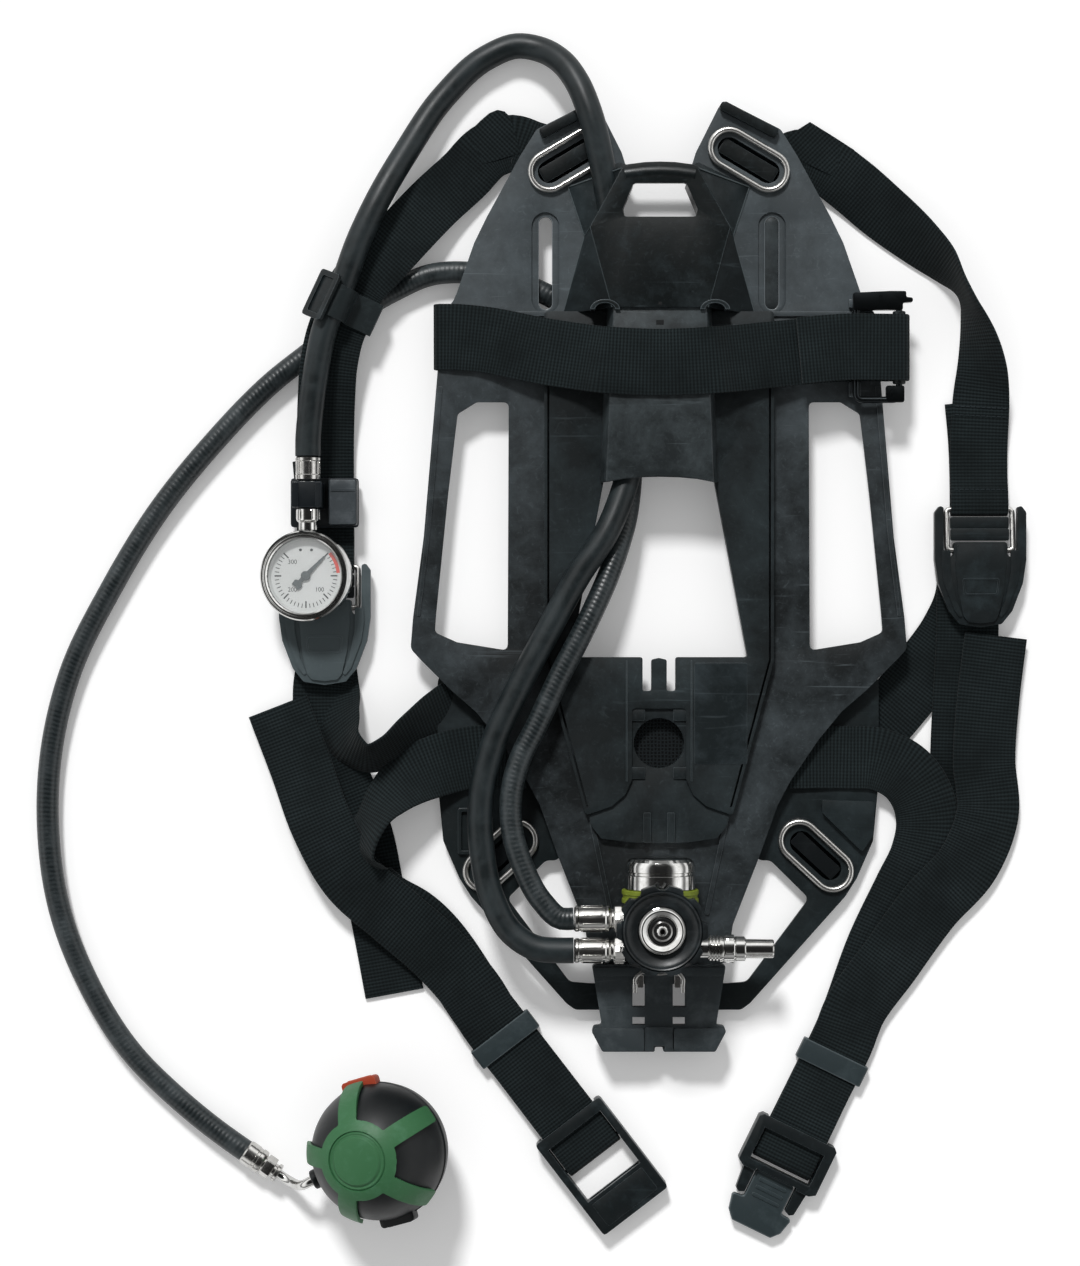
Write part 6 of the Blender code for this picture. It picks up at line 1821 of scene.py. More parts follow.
@dataclass
class Harness:
    """Shoulder straps, adjusters, pull straps, waist belts and keepers."""

    right_adjuster: Point = (196.0, 117.0)
    left_adjuster: Point = (-203.0, 82.0)
    shoulder_width: float = 35.0
    belt_width: float = 38.0
    bar_turn: float = 3.4
    bar_z: float = 4.8
    belt_low: float = 3.4
    belt_high: float = 6.0
    # Distances from the buckle halves back to the keepers and on to the bars.
    right_keeper: float = 46.0
    left_keeper: float = 62.0
    plug_bar: float = 21.6
    socket_bar: float = 25.0
    # Stations of the shoulder straps from behind their lugs to their adjusters.
    right_run: tuple[Station, ...] = (
        (36, 337, 9.5), (58, 344.4, 9.5), (77, 352.6, 8.5), (89, 356.6, 7), (102, 352, 5), (116, 342, 4.8),
        (137, 323.5, 7.6), (158, 305, 12.8), (173.5, 290, 16.4), (185, 274, 18.8), (193, 252, 17),
        (197, 228, 12.6), (197, 207, 6.6))
    left_run: tuple[Station, ...] = (
        (-36, 348, 9.5), (-58, 355, 9.5), (-77, 361.2, 8.5), (-89, 365.2, 7), (-102, 361.4, 6),
        (-118.5, 345.5, 6), (-136, 329, 9), (-152.5, 311, 14.5), (-168, 293.5, 17.8), (-183, 276.8, 18.2),
        (-189, 264, 18.2), (-195, 251.2, 18.2), (-200, 231, 17), (-202, 208, 12), (-203, 184, 6))
    # Outlines of the folded corners beside the lugs.
    right_fold: tuple[Station, ...] = (
        (84, 356, 9.0), (78, 368.8, 9.3), (92.6, 378.2, 8.2), (107, 369.6, 6.6), (120, 361.4, 5.6),
        (106, 346, 5.8))
    left_fold: tuple[Station, ...] = (
        (-84, 359, 9.0), (-90, 381, 8.6), (-93.6, 384.6, 8.3), (-98, 385.6, 8.0), (-103, 383.6, 7.6),
        (-108, 379.4, 7.2), (-116, 371.6, 6.8), (-106, 353, 6.8))
    # Stations of the waist belts out to their keepers, and of their tails.
    right_belt: tuple[Station, ...] = (
        (80, -9, 12.2), (114, -9, 10.8), (135, -10.5, 11), (151, -19, 9.8), (161, -33, 7),
        (164.5, -50, 4.4), (161, -69, 3.9), (151, -90, 3.4), (136, -121, 3.4))
    right_tail: tuple[Station, ...] = (
        (118, -168, 6), (142, -133, 6), (166, -100, 6.2), (190, -73, 6.4), (201, -44, 6.8),
        (199, -11, 6.8), (201.5, 26, 6.8), (206.2, 65, 6.8))
    left_belt: tuple[Station, ...] = (
        (-80, -9, 12.2), (-109, -8.5, 10.8), (-130, -12.7, 12.5), (-150, -21, 16), (-166, -35, 18.5),
        (-177, -52, 19.5), (-183, -67, 13.5), (-181, -82, 7.5), (-168, -97, 5), (-150, -108, 4))
    left_tail: tuple[Station, ...] = (
        (-112, -154.5, 6), (-133, -130, 6.6), (-160, -106, 9.5), (-187, -81, 16), (-204, -51, 16),
        (-218, -14, 9.5), (-232, 22, 6.8))

    def shoulder(self, shop: Workshop, side: Side, run: Sequence[Station], spot: Point,
                 rolls: dict[int, float], stitches: tuple[float, ...]) -> None:
        """A shoulder strap from behind its lug to the loop round its adjuster's frame.

        Args:
            shop: where pieces are made.
            side: left or right.
            run: stations down to the adjuster.
            spot: the adjuster's place.
            rolls: tilt about the run by station, in degrees.
            stitches: distances of its seams along it.
        """
        x, y = spot
        bar = y + Adjuster.rise
        turn = Adjuster.wire + 0.5 + WEB / 2
        loop = bight(x, bar, -90, turn, Adjuster.far)[::-1]
        stations = [*run, (x, bar + 36, 4.1), (x, bar + 22, 4.4), *loop, (x, bar + 18, 1.5),
                    (x - 1, bar + 44, STRAP_LIES), (x - 3, bar + 66, STRAP_LIES)]
        Strap(f"shoulder_strap_{side.word}", stations, self.shoulder_width, rolls, stitches).build(shop)

    def corner(self, shop: Workshop, side: Side, spots: Sequence[Station]) -> None:
        """The folded corner where a shoulder strap comes out from behind its lug.

        Args:
            shop: where pieces are made.
            side: left or right.
            spots: the fold's outline, its last side lying across the strap.
        """
        made = Shape()
        made.bm.faces.new([made.bm.verts.new(spot) for spot in spots])
        made.thickened(0.0, WEB - 0.3)
        run = Vector((side.value, -1.0, 0.0)).normalized()
        across = Vector((1.0, side.value, 0.0)).normalized()
        layer = made.bm.loops.layers.uv.new(WEAVE)
        for face in made.bm.faces:
            for spot in face.loops:
                spot[layer].uv = (spot.vert.co.dot(run), spot.vert.co.dot(across))
        shop.piece(f"shoulder_strap_{side.word}_fold", made, WEBBING)

    def belt(self, shop: Workshop, side: Side, outward: Sequence[Station], keeper_back: float,
             buckle: Station, bar_u: float, homeward: Sequence[Station], rolls: dict[int, float]) -> None:
        """A waist belt out to its buckle, round the bar and back as a tail.

        Args:
            shop: where pieces are made.
            side: left or right.
            outward: stations out to the keeper.
            keeper_back: distance from the buckle back to the keeper.
            buckle: the buckle half's place.
            bar_u: distance from there to its bar.
            homeward: stations of the tail.
            rolls: tilt about the run by station, in degrees.
        """
        heading = math.radians(buckle[2])
        ahead = Vector((math.cos(heading), math.sin(heading)))
        bar = Vector(buckle[:2]) + ahead * bar_u
        spot = Vector(buckle[:2]) - ahead * keeper_back
        near, far, gate = spot - ahead * 18, spot + ahead * 18, Vector(buckle[:2]) + ahead * 3
        stations = [*outward, (*near, self.belt_low), (*far, self.belt_low),
                    (*gate, self.bar_z - self.bar_turn + 0.4),
                    *bight(*bar, buckle[2], self.bar_turn, self.bar_z),
                    (*gate, self.bar_z + self.bar_turn - 0.5), (*far, self.belt_high),
                    (*near, self.belt_high), *homeward]
        Strap(f"waist_belt_{side.word}", stations, self.belt_width, rolls).build(shop)
        self.keeper(shop, side, laid(*spot, buckle[2]))

    def keeper(self, shop: Workshop, side: Side, here: Matrix) -> None:
        """The loop that slides on a belt, with rounded rims and a shallow waist.

        Args:
            shop: where pieces are made.
            side: left or right.
            here: the keeper's place.
        """
        half = self.belt_width / 2 + 0.8
        low, high = self.belt_low - WEB / 2 - 0.3, self.belt_high + WEB / 2 + 0.3
        outer = rounded(block(-half - 1.8, half + 1.8, low - 1.8, high + 1.8), 1.9, 5)
        made = Shape.prism([outer, block(-half, half, low, high)], -6.5, 6.5).bevelled(0.7, 3, 50.0)
        turn = spin(90) @ spin(90, "X")
        body = Body.RIGHT_KEEPER if side is Side.RIGHT else Body.LEFT_KEEPER
        shop.skin(f"belt_keeper_{side.word}", "loop", made.placed(here @ turn), KEEPER_AND_LIT_LATCH, body)

    def build(self, shop: Workshop) -> None:
        """Make both sides.

        Args:
            shop: where pieces are made.
        """
        Adjuster(Side.RIGHT, self.right_adjuster, Body.RIGHT_ADJUSTER, ADJUSTER).build(shop)
        Adjuster(Side.LEFT, self.left_adjuster, Body.LEFT_ADJUSTER, PALE_ADJUSTER).build(shop)
        self.shoulder(shop, Side.RIGHT, self.right_run, self.right_adjuster,
                      {5: 6, 6: 21, 7: 42, 8: 62, 9: 92, 10: 66, 11: 40, 12: 16}, (259.0, 262.0, 308.0))
        self.shoulder(shop, Side.LEFT, self.left_run, self.left_adjuster, {}, ())
        self.corner(shop, Side.RIGHT, self.right_fold)
        self.corner(shop, Side.LEFT, self.left_fold)
        step = WEB + 0.6
        under = [(110, -16, 3), (128, 2, 3), (146, 22, 2), (164, 45, STRAP_LIES), (179, 66, STRAP_LIES),
                 (188, 86, STRAP_LIES)]
        back = [(189, 62, STRAP_LIES + step), (187.5, 35, STRAP_LIES + step), (186, 5, 2.6),
                (185, -30, STRAP_LIES), (182, -74, STRAP_LIES)]
        Strap("pull_strap_right", under + bight(190, 100, 86, step / 2, STRAP_LIES + step / 2) + back,
              self.belt_width).build(shop)
        under = [(-106, 30, 2.6), (-122, 22, 6), (-137, 14, 11), (-150, 5.5, 15), (-164, -5, 17.6),
                 (-176, -9.5, 18.2), (-187, -3, 16.5), (-194, 10, 11), (-198.5, 24, 4),
                 (-201.5, 40, STRAP_LIES)]
        back = [(-205, 32, STRAP_LIES + step), (-203, 4, STRAP_LIES + step), (-193, -24, STRAP_LIES),
                (-180, -57, STRAP_LIES), (-173, -91, STRAP_LIES), (-166, -127, STRAP_LIES),
                (-161, -154, STRAP_LIES)]
        Strap("pull_strap_left", under + bight(-203, 56, 94, step / 2, STRAP_LIES + step / 2) + back,
              self.belt_width - 2,
              rolls={1: -14, 2: -34, 3: -51, 4: -60, 5: -62, 6: -56, 7: -35, 8: -10}).build(shop)
        self.belt(shop, Side.RIGHT, self.right_belt, self.right_keeper, PLUG, self.plug_bar,
                  self.right_tail, {})
        self.belt(shop, Side.LEFT, self.left_belt, self.left_keeper, SOCKET, self.socket_bar,
                  self.left_tail, {2: 6, 3: 24, 4: 50, 5: 66, 6: 40, 7: 15, 8: 3})


@dataclass
class HoseKeeper:
    """The rubber band that holds the gauge hose on its strap, and the slide on the band's end."""

    place: Point = (-189.0, 264.0)
    heading: float = -115.0
    slide: Station = (0.5, -15.6, 34.8)
    tilt: float = 42.0

    def build(self, shop: Workshop) -> None:
        """Dress the band and lay the slide on it.

        Args:
            shop: where pieces are made.
        """
        shop.solid("hose_keeper", BAND, 0.5)
        frame = [rounded(block(-15, 15, -8.5, 8.5), 2.4), rounded(block(-11.6, 11.6, -5.2, 5.2), 1.4)]
        here = laid(*self.place, self.heading)
        here = here @ Matrix.Translation(self.slide) @ spin(self.tilt, "X")
        made = Shape.prism(frame, -1.2, 1.2).bevelled(0.7, 3, 50.0)
        made.joined(Shape.slab(block(-12.4, 12.4, -6, 6), -0.9, 0.1, 0.2, 2))
        shop.piece("hose_keeper_slide", made.placed(here), ACETAL)


@dataclass
class BeltBuckle:
    """Both halves of the belt buckle and the springy latch."""

    edge: float = 0.8
    grips: tuple[float, ...] = (37.0, 42.0, 47.0)

    def build(self, shop: Workshop) -> None:
        """Dress socket, plug and latch, and add their ribs.

        Args:
            shop: where pieces are made.
        """
        shop.solid("buckle_socket", ACETAL, self.edge, segments=3)
        shop.solid("buckle_plug", ACETAL, self.edge, segments=3)
        # The latch and its grips take the paler keeper finish: painted light on the latch's inclined face.
        shop.solid("buckle_latch", KEEPER_AND_LIT_LATCH, self.edge, Body.LATCH, 3)
        ribs = Shape.slab(rounded(block(49.5, 66, -19, 19), 1.5), 12.0, 12.75, 0.4, 2)
        shop.piece("buckle_socket_panel", ribs.placed(laid(*SOCKET)), ACETAL)
        grips = Shape()
        for u in self.grips:
            grips.joined(Shape.slab(rounded(block(u - 1.0, u + 1.0, -9, 9), 0.9, 3), 8.0, 9.0, 0.4, 2))
        shop.piece("buckle_latch_grips", grips.placed(laid(*PLUG)), KEEPER_AND_LIT_LATCH, Body.LATCH)


def hexagon(radius: float, turn: float = 0.0) -> list[Point]:
    """A hexagon by its corner radius."""
    return [(radius * math.cos(math.radians(60 * k + turn)), radius * math.sin(math.radians(60 * k + turn)))
            for k in range(6)]


def fluted(made: Shape, size: Point, depth: float, edge: float, spot: Point, start: float = 0.0) -> None:
    """Set six flutes round a crimped ferrule.

    Args:
        made: the ferrule, about Z.
        size: half length and half width of a flute.
        depth: how far it stands out.
        edge: its rounding.
        spot: its radius and height on the ferrule.
        start: turn of the first one, in degrees.
    """
    half, wide = size
    for k in range(6):
        flute = Shape.slab(rounded(block(-half, half, -wide, wide), wide - 0.1, 4), 0, depth, edge)
        here = spin(60 * k + start) @ Matrix.Translation((spot[0], 0, spot[1])) @ spin(90, "Y")
        made.joined(flute.placed(here))


@dataclass
class Reducer:
    """The pressure reducer with its cap, collar, connector, handwheel and fittings."""

    wheel_r: float = 26.5
    lobes: int = 10

    def shell(self, shop: Workshop) -> None:
        """The body, its cap and its olive collar.

        Args:
            shop: where pieces are made.
        """
        along = REDUCER @ Axis.Y.matrix()
        body = Shape.turned([(0, -24), (17, -24), (18.4, -23.4), (19, -22), (19, -12), (18.5, -11.4),
                             (18.5, -10), (19, -9.4), (19, 22), (15, 22), (15, -16), (0, -16)])
        body.placed(along)
        boss = Shape.turned([(0, 30), (12.6, 30), (13.4, 29.2), (13.4, 16), (0, 16)]).placed(REDUCER)
        lug = Shape.slab(block(-9, 9, -27, -18), -20, -10, 0.8, 2).placed(REDUCER)
        body.joined(boss, lug)
        for x in (1, -1):
            pad = Shape.slab(rounded(block(-11, 11, -10, 10), 3.0), 0, 4.0, 0.8, 2)
            body.joined(pad.placed(REDUCER @ Matrix.Translation((x * 16.5, -8, 0)) @ spin(90 * x, "Y")))
        shop.skin("reducer_body", "casting", body, BODY)
        cap = Shape.turned([(0, 41), (16.4, 41), (18.6, 40.4), (20.2, 38.8), (21, 36.6), (21, 33),
                            (20.4, 32.4), (20.4, 31.2), (21, 30.6), (21, 22.6), (20.6, 22.3), (15, 22.3),
                            (15, 37), (0, 37)], 96)
        shop.skin("reducer_cap", "chrome", cap.placed(along), CHROME)
        collar = Shape.turned([(22.6, 22), (23, 21.6), (23, 19.4), (22.4, 18.8), (22.4, 17.2), (23, 16.6),
                               (23, 14.4), (22.6, 14), (19.3, 14), (19.3, 22)], 96, True)
        shop.skin("reducer_collar", "band", collar.placed(along), OLIVE)

    def wheel(self, shop: Workshop) -> None:
        """The lobed handwheel with its dished face.

        Args:
            shop: where pieces are made.
        """
        count = self.lobes * 12
        rim = []
        for k in range(count):
            angle = 2 * math.pi * k / count
            dip = max(0.0, -math.cos(self.lobes * angle)) ** 0.7
            reach = self.wheel_r + 0.4 - 3.2 * dip
            rim.append((reach * math.cos(angle), reach * math.sin(angle)))
        circle = stadium(0, 0, 0.001, 24.0, steps=40)[:-1]
        outer = Shape.prism([rim, circle[:40] + circle[41:]], 24.6, 36.6).bevelled(1.2, 3, 55.0)
        dish = Shape.turned([(24.3, 34.8), (23.6, 36.2), (22.9, 36.9), (22.2, 36.6), (21.6, 35.6),
                             (20.4, 34.6), (17, 33.5), (14.6, 33.2), (14.0, 32.6), (14.0, 30.4),
                             (16, 30.4), (24.3, 28)], 96, True)
        outer.joined(dish)
        shop.skin("handwheel", "moulding", outer.placed(REDUCER), WHEEL, Body.WHEEL)

    def connector(self, shop: Workshop) -> None:
        """The threaded connector with its seal.

        Args:
            shop: where pieces are made.
        """
        thread = [(13.0, 37.6)]
        for k in range(4):
            z = 37.0 - 1.6 * k
            thread += [(13.6, z), (13.6, z - 0.5), (12.7, z - 0.9), (12.7, z - 1.2)]
        nipple = Shape.turned([(7.9, 35.2), (9.0, 36.0), (10.6, 37.2), (11.6, 37.9), (12.4, 38), *thread,
                               (13.0, 30.3), (1.6, 30.3), (1.6, 37.2), (2.4, 37.5), (3.2, 36.9),
                               (4.6, 36.9), (5.2, 37.5), (6.0, 37.2), (6.3, 36.8), (6.3, 34.5),
                               (7.9, 34.5)], 96, True)
        shop.skin("connector_nipple", "turned", nipple.placed(REDUCER), CHROME)
        # Six thin black marks on the connector's face: painted shade of its port slots.
        marks = Shape()
        for k in range(6):
            mark = Shape.prism([rounded(block(2.9, 5.0, -0.45, 0.45), 0.3, 2)], 36.4, 37.15)
            marks.joined(mark.placed(REDUCER @ spin(60 * k + 20)))
        shop.piece("connector_port_shade_marks", marks, SEAL_AND_HOLE_SHADE)
        seal = Shape.turned([(7.6, 35.8), (7.4, 36.1), (6.9, 36.1), (6.6, 35.8), (6.6, 34.9), (7.6, 34.9)],
                            72, True)
        shop.skin("connector_seal", "ring", seal.placed(REDUCER), SEAL_AND_HOLE_SHADE)

    def fittings(self, shop: Workshop) -> None:
        """The two hose ends and the whistle.

        Args:
            shop: where pieces are made.
        """
        for name, y, r in (("supply_ferrule", 4.4, 7.9), ("gauge_ferrule", -14.6, 7.5)):
            here = REDUCER @ Axis.MINUS_X.matrix(0, y, 0)
            made = Shape.turned([(0, 51.6), (r - 0.9, 51.6), (r, 50.6), (r, 49.2), (r - 0.5, 48.6),
                                 (r - 0.5, 33), (r, 32.2), (r, 31), (r - 1.4, 29.6), (6.0, 29),
                                 (6.0, 28.2), (7.2, 27.9), (7.8, 27), (7.8, 21.4), (6.6, 20.6),
                                 (5.6, 19.3), (0, 19.3)], 48)
            nut = Shape.slab(hexagon(8.9), 22.0, 27.4, 0.5, 2, 50.0)
            made.joined(nut)
            fluted(made, (6.6, 1.7), 1.1, 0.5, (r - 1.0, 40.8), 30.0)
            shop.skin(name, "crimped", made.placed(here), SATIN_CHROME)
        rings = []
        for k in range(4):
            z = 36.4 - 2.0 * k
            rings += [(8.4, z), (8.4, z - 0.9), (7.3, z - 1.2), (7.3, z - 1.6)]
        whistle = Shape.turned([(0, 68), (2.6, 68), (2.6, 64), (4.6, 64), (4.6, 68), (5.2, 68),
                                (5.75, 67.2), (5.75, 51.4), (7.0, 51), (7.4, 50.4), (7.4, 45.4),
                                (7.0, 44.8), (8.2, 44.4), (8.4, 44), (8.4, 38.2), (8.0, 37.8), *rings,
                                (6.2, 28.5), (6.2, 19.3), (0, 19.3)], 60)
        here = REDUCER @ Axis.X.matrix(0, -13.5, 0)
        whistle.joined(Shape.slab(hexagon(8.9, 12), 39.0, 43.6, 0.4, 2, 50.0))
        slot = Shape.slab(rounded(block(-7.5, 7.5, -1.0, 1.0), 0.9, 3), 5.3, 6.1, 0.2, 1)
        whistle.joined(slot.placed(Matrix.Translation((0, 0, 59.5)) @ spin(90, "Y")))
        shop.skin("whistle", "turned", whistle.placed(here), CHROME)

    def build(self, shop: Workshop) -> None:
        """Make the reducer; its piston and spring stay inside as they are.

        Args:
            shop: where pieces are made.
        """
        self.shell(shop)
        self.wheel(shop)
        self.connector(shop)
        self.fittings(shop)
        for node in ("reducer_piston", "reducer_spring"):
            shop.hidden(node, WIRE)


@dataclass
class HoseEnd:
    """The supply hose's far end: crimped ferrule and the bent tube into the demand valve."""

    start: Station = Hoses.supply_route[-1]
    before: Station = Hoses.supply_route[-2]
    reach: float = 41.0
    radius: float = 3.1
    bends: tuple[Station, ...] = ((-222.6, -267.4, 14.4), (-218.0, -268.0, 20.4), (-214.4, -266.7, 25.4))

    def inlet(self, reach: float) -> Vector:
        """A point on the valve's inlet axis."""
        x, y = reach * math.cos(math.radians(INLET_TURN)), reach * math.sin(math.radians(INLET_TURN))
        return Vector((VALVE_SPOT[0] + x, VALVE_SPOT[1] + y, INLET_Z))

    def build(self, shop: Workshop) -> list[bpy.types.Object]:
        """Make ferrule and elbow.

        Args:
            shop: where pieces are made.

        Returns:
            Both pieces.
        """
        start = Vector(self.start)
        run = (start - Vector(self.before)).normalized()
        here = Matrix.Translation(start) @ aimed(run)
        made = Shape.turned([(0, 25), (4.6, 25), (6.0, 24.4), (6.0, 22.6), (4.6, 22), (4.6, 20.4),
                             (5.4, 20), (5.4, 13.6), (7.2, 13), (7.6, 12), (7.6, 9.6), (7.1, 9.2),
                             (7.1, 7.6), (7.6, 7.2), (7.6, 1.2), (7.0, 0.3), (0, 0.3)], 48)
        made.joined(Shape.slab(hexagon(7.3), 14.2, 20.2, 0.4, 2, 50.0))
        ferrule = shop.skin("valve_ferrule", "crimped", made.placed(here), SATIN_CHROME)
        end = start + run * 24.8
        route = [end, end + run * 4, *self.bends, self.inlet(self.reach + 7), self.inlet(self.reach + 4)]
        path = [*smooth_curve(route, 1.2), self.inlet(self.reach - 4.2)]
        elbow = shop.skin("swivel_elbow", "tube", Shape.tube(path, self.radius, sides=20), CHROME)
        return [ferrule, elbow]


@dataclass
class Gauge:
    """The pressure gauge: case, bezel, glass, printed dial, pointer, stem and the holder on the strap."""

    dial_top: float = 5.6
    zero: float = 45.0
    sweep: float = 270.0
    ticks: int = 36
    numbers: tuple[str, ...] = ("0", "100", "200", "300")
    number_radius: float = 11.8
    number_size: float = 3.8

    def marks(self, shop: Workshop) -> None:
        """Print the scale: ticks, numbers and the red low range.

        Args:
            shop: where pieces are made.
        """
        low, high = self.dial_top - 0.05, self.dial_top + 0.06
        ticks = Shape()
        for k in range(self.ticks + 1):
            angle = self.zero - self.sweep * k / self.ticks
            long = k % 6 == 0
            half = 0.42 if long else 0.24
            tick = Shape.prism([block(15.2 if long else 16.8, 19.4, -half, half)], low, high)
            ticks.joined(tick.placed(GAUGE @ spin(angle)))
        for k, word in enumerate(self.numbers):
            angle = math.radians(self.zero - self.sweep * k / (len(self.numbers) - 1))
            spot = Vector((math.cos(angle), math.sin(angle), 0)) * self.number_radius + Vector((0, 0, high))
            ticks.joined(self.text(word, self.number_size, spot))
        for x in (-3.4, 3.4):
            ticks.joined(Shape.prism([stadium(x, 15.6, 0.01, 0.9)], low, high).placed(GAUGE))
        shop.piece("gauge_scale_print", ticks, INK)
        arc = [math.radians(self.zero - 2 - 2 * k) for k in range(20)]
        ring = [(21.0 * math.cos(a), 21.0 * math.sin(a)) for a in arc]
        ring += [(18.9 * math.cos(a), 18.9 * math.sin(a)) for a in reversed(arc)]
        shop.piece("gauge_red_range_print", Shape.prism([ring], low, high + 0.02).placed(GAUGE), RED_INK)

    def text(self, word: str, size: float, spot: Vector) -> Shape:
        """A flat word on the dial, as a shape.

        Args:
            word: the digits.
            size: their height in mm.
            spot: the middle of the word on the dial.

        Returns:
            The word in place.
        """
        data = bpy.data.curves.new(word, "FONT")
        data.body = word
        data.size = size
        data.align_x = "CENTER"
        data.align_y = "CENTER"
        data.extrude = 0.02
        data.resolution_u = 3
        obj = added(word, data)
        bpy.context.view_layer.update()
        mesh = bpy.data.meshes.new_from_object(obj.evaluated_get(bpy.context.evaluated_depsgraph_get()))
        made = Shape()
        made.bm.from_mesh(mesh)
        bpy.data.objects.remove(obj)
        bpy.data.meshes.remove(mesh)
        return made.placed(GAUGE @ Matrix.Translation(spot))

    def build(self, shop: Workshop) -> None:
        """Make the gauge and its holder.

        Args:
            shop: where pieces are made.
        """
        case = Shape.turned([(0, -8), (20.5, -8), (20.5, 4.5), (22.8, 4.5), (22.8, 8.5), (25.9, 8.5),
                             (25.9, -7), (25.2, -9), (23.6, -10), (0, -10)], 96)
        shop.skin("gauge_case", "drawn", case.placed(GAUGE), CHROME)
        bezel = Shape.turned([(22.7, 10.4), (22.9, 11.2), (23.6, 11.8), (24.3, 11.7), (24.7, 11.0),
                              (25.1, 10.9), (25.6, 11.3), (26.4, 11.3), (27.2, 10.4), (27.5, 9), (27.5, 3),
                              (27.1, 2.4), (27.1, 1.6), (26.6, 1), (26.2, 1), (26.2, 10.4)], 110, True)
        shop.skin("gauge_bezel", "rolled", bezel.placed(GAUGE), CHROME)
        lens = Shape.turned([(0, 10.1), (25, 10.1), (25, 8.8), (0, 8.8)], 72)
        shop.skin("gauge_lens", "glass", lens.placed(GAUGE), GLASS)
        dial = Shape.turned([(1.8, 5.6), (22.5, 5.6), (22.5, 4.8), (1.8, 4.8)], 72, True)
        wall = [(22.5, 8.6), (22.75, 8.6), (22.75, 5.0), (21.6, 5.62), (21.6, 5.9)]
        dial.joined(Shape.turned(wall, 72, True))
        shop.skin("gauge_dial", "plate", dial.placed(GAUGE), DIAL)
        self.marks(shop)
        turn = GAUGE @ spin(self.zero)
        needle = rounded([(0, 1.5), (16.2, 0.5), (17, 0), (16.2, -0.5), (0, -1.5), (-5, -1.2), (-6, -3),
                          (-9.6, -2.6), (-9.0, 0), (-9.6, 2.6), (-6, 3), (-5, 1.2)], 0.4, 2)
        pointer = Shape.slab(needle, 6.1, 6.9, 0.15, 1)
        pointer.joined(Shape.turned([(0, 7.6), (2.2, 7.6), (2.9, 7.1), (2.9, 6.0), (0, 6.0)], 40))
        shop.skin("gauge_pointer", "stamped", pointer.placed(turn), NEEDLE, Body.POINTER)
        along = GAUGE @ Axis.Y.matrix()
        stem = Shape.turned([(0, 57), (5, 57), (5, 41.6), (6.4, 41), (7.0, 40.2), (7.0, 33.6), (6.4, 32.8),
                             (5.6, 32.2), (5.6, 27.8), (0, 27.8)], 40)
        stem.joined(Shape.slab(hexagon(7.5), 34, 40, 0.5, 2, 50.0))
        shop.skin("gauge_stem", "turned", stem.placed(along), CHROME)
        ferrule = Shape.turned([(0, 72), (6.9, 72), (7.7, 71.2), (7.7, 69.6), (7.2, 69), (7.2, 61.4),
                                (7.7, 60.8), (7.4, 58.4), (6.2, 57.3), (0, 57.3)], 48)
        fluted(ferrule, (4.0, 1.6), 1.0, 0.4, (6.5, 65.2))
        shop.skin("stem_ferrule", "crimped", ferrule.placed(along), SATIN_CHROME)
        self.holder(shop)
        for node in ("gauge_movement", "bourdon_tube"):
            shop.hidden(node, WIRE)

    def holder(self, shop: Workshop) -> None:
        """The clip round the gauge's stem and the paler block beside it.

        Args:
            shop: where pieces are made.
        """
        clip = Shape.copied(shop.nodes["gauge_holder"]).bevelled(0.7, 3)
        shop.skin("gauge_holder", "clip", clip, CLIP_DARK)
        x, y, _ = GAUGE_SPOT
        face = Shape.slab(rounded(block(x + 12.6, x + 28.4, y + 31.6, y + 58.4), 1.4), 20.6, 21.8, 0.5, 2)
        brow = rounded(block(x + 12.9, x + 28.1, y + 51.5, y + 58.0), 1.0)
        face.joined(Shape.slab(brow, 21.4, 22.4, 0.5, 2))
        shop.piece("gauge_holder_face", face, CLIP_GREY)
        ribs = Shape()
        for a, b in ((-9.3, -5.4), (5.0, 8.3)):
            jaw = rounded(block(x + a, x + b, y + 41.6, y + 56.4), 0.8, 3)
            ribs.joined(Shape.slab(jaw, 34, 36.9, 0.6, 2))
        shop.piece("gauge_holder_jaws", ribs, CLIP_DARK)


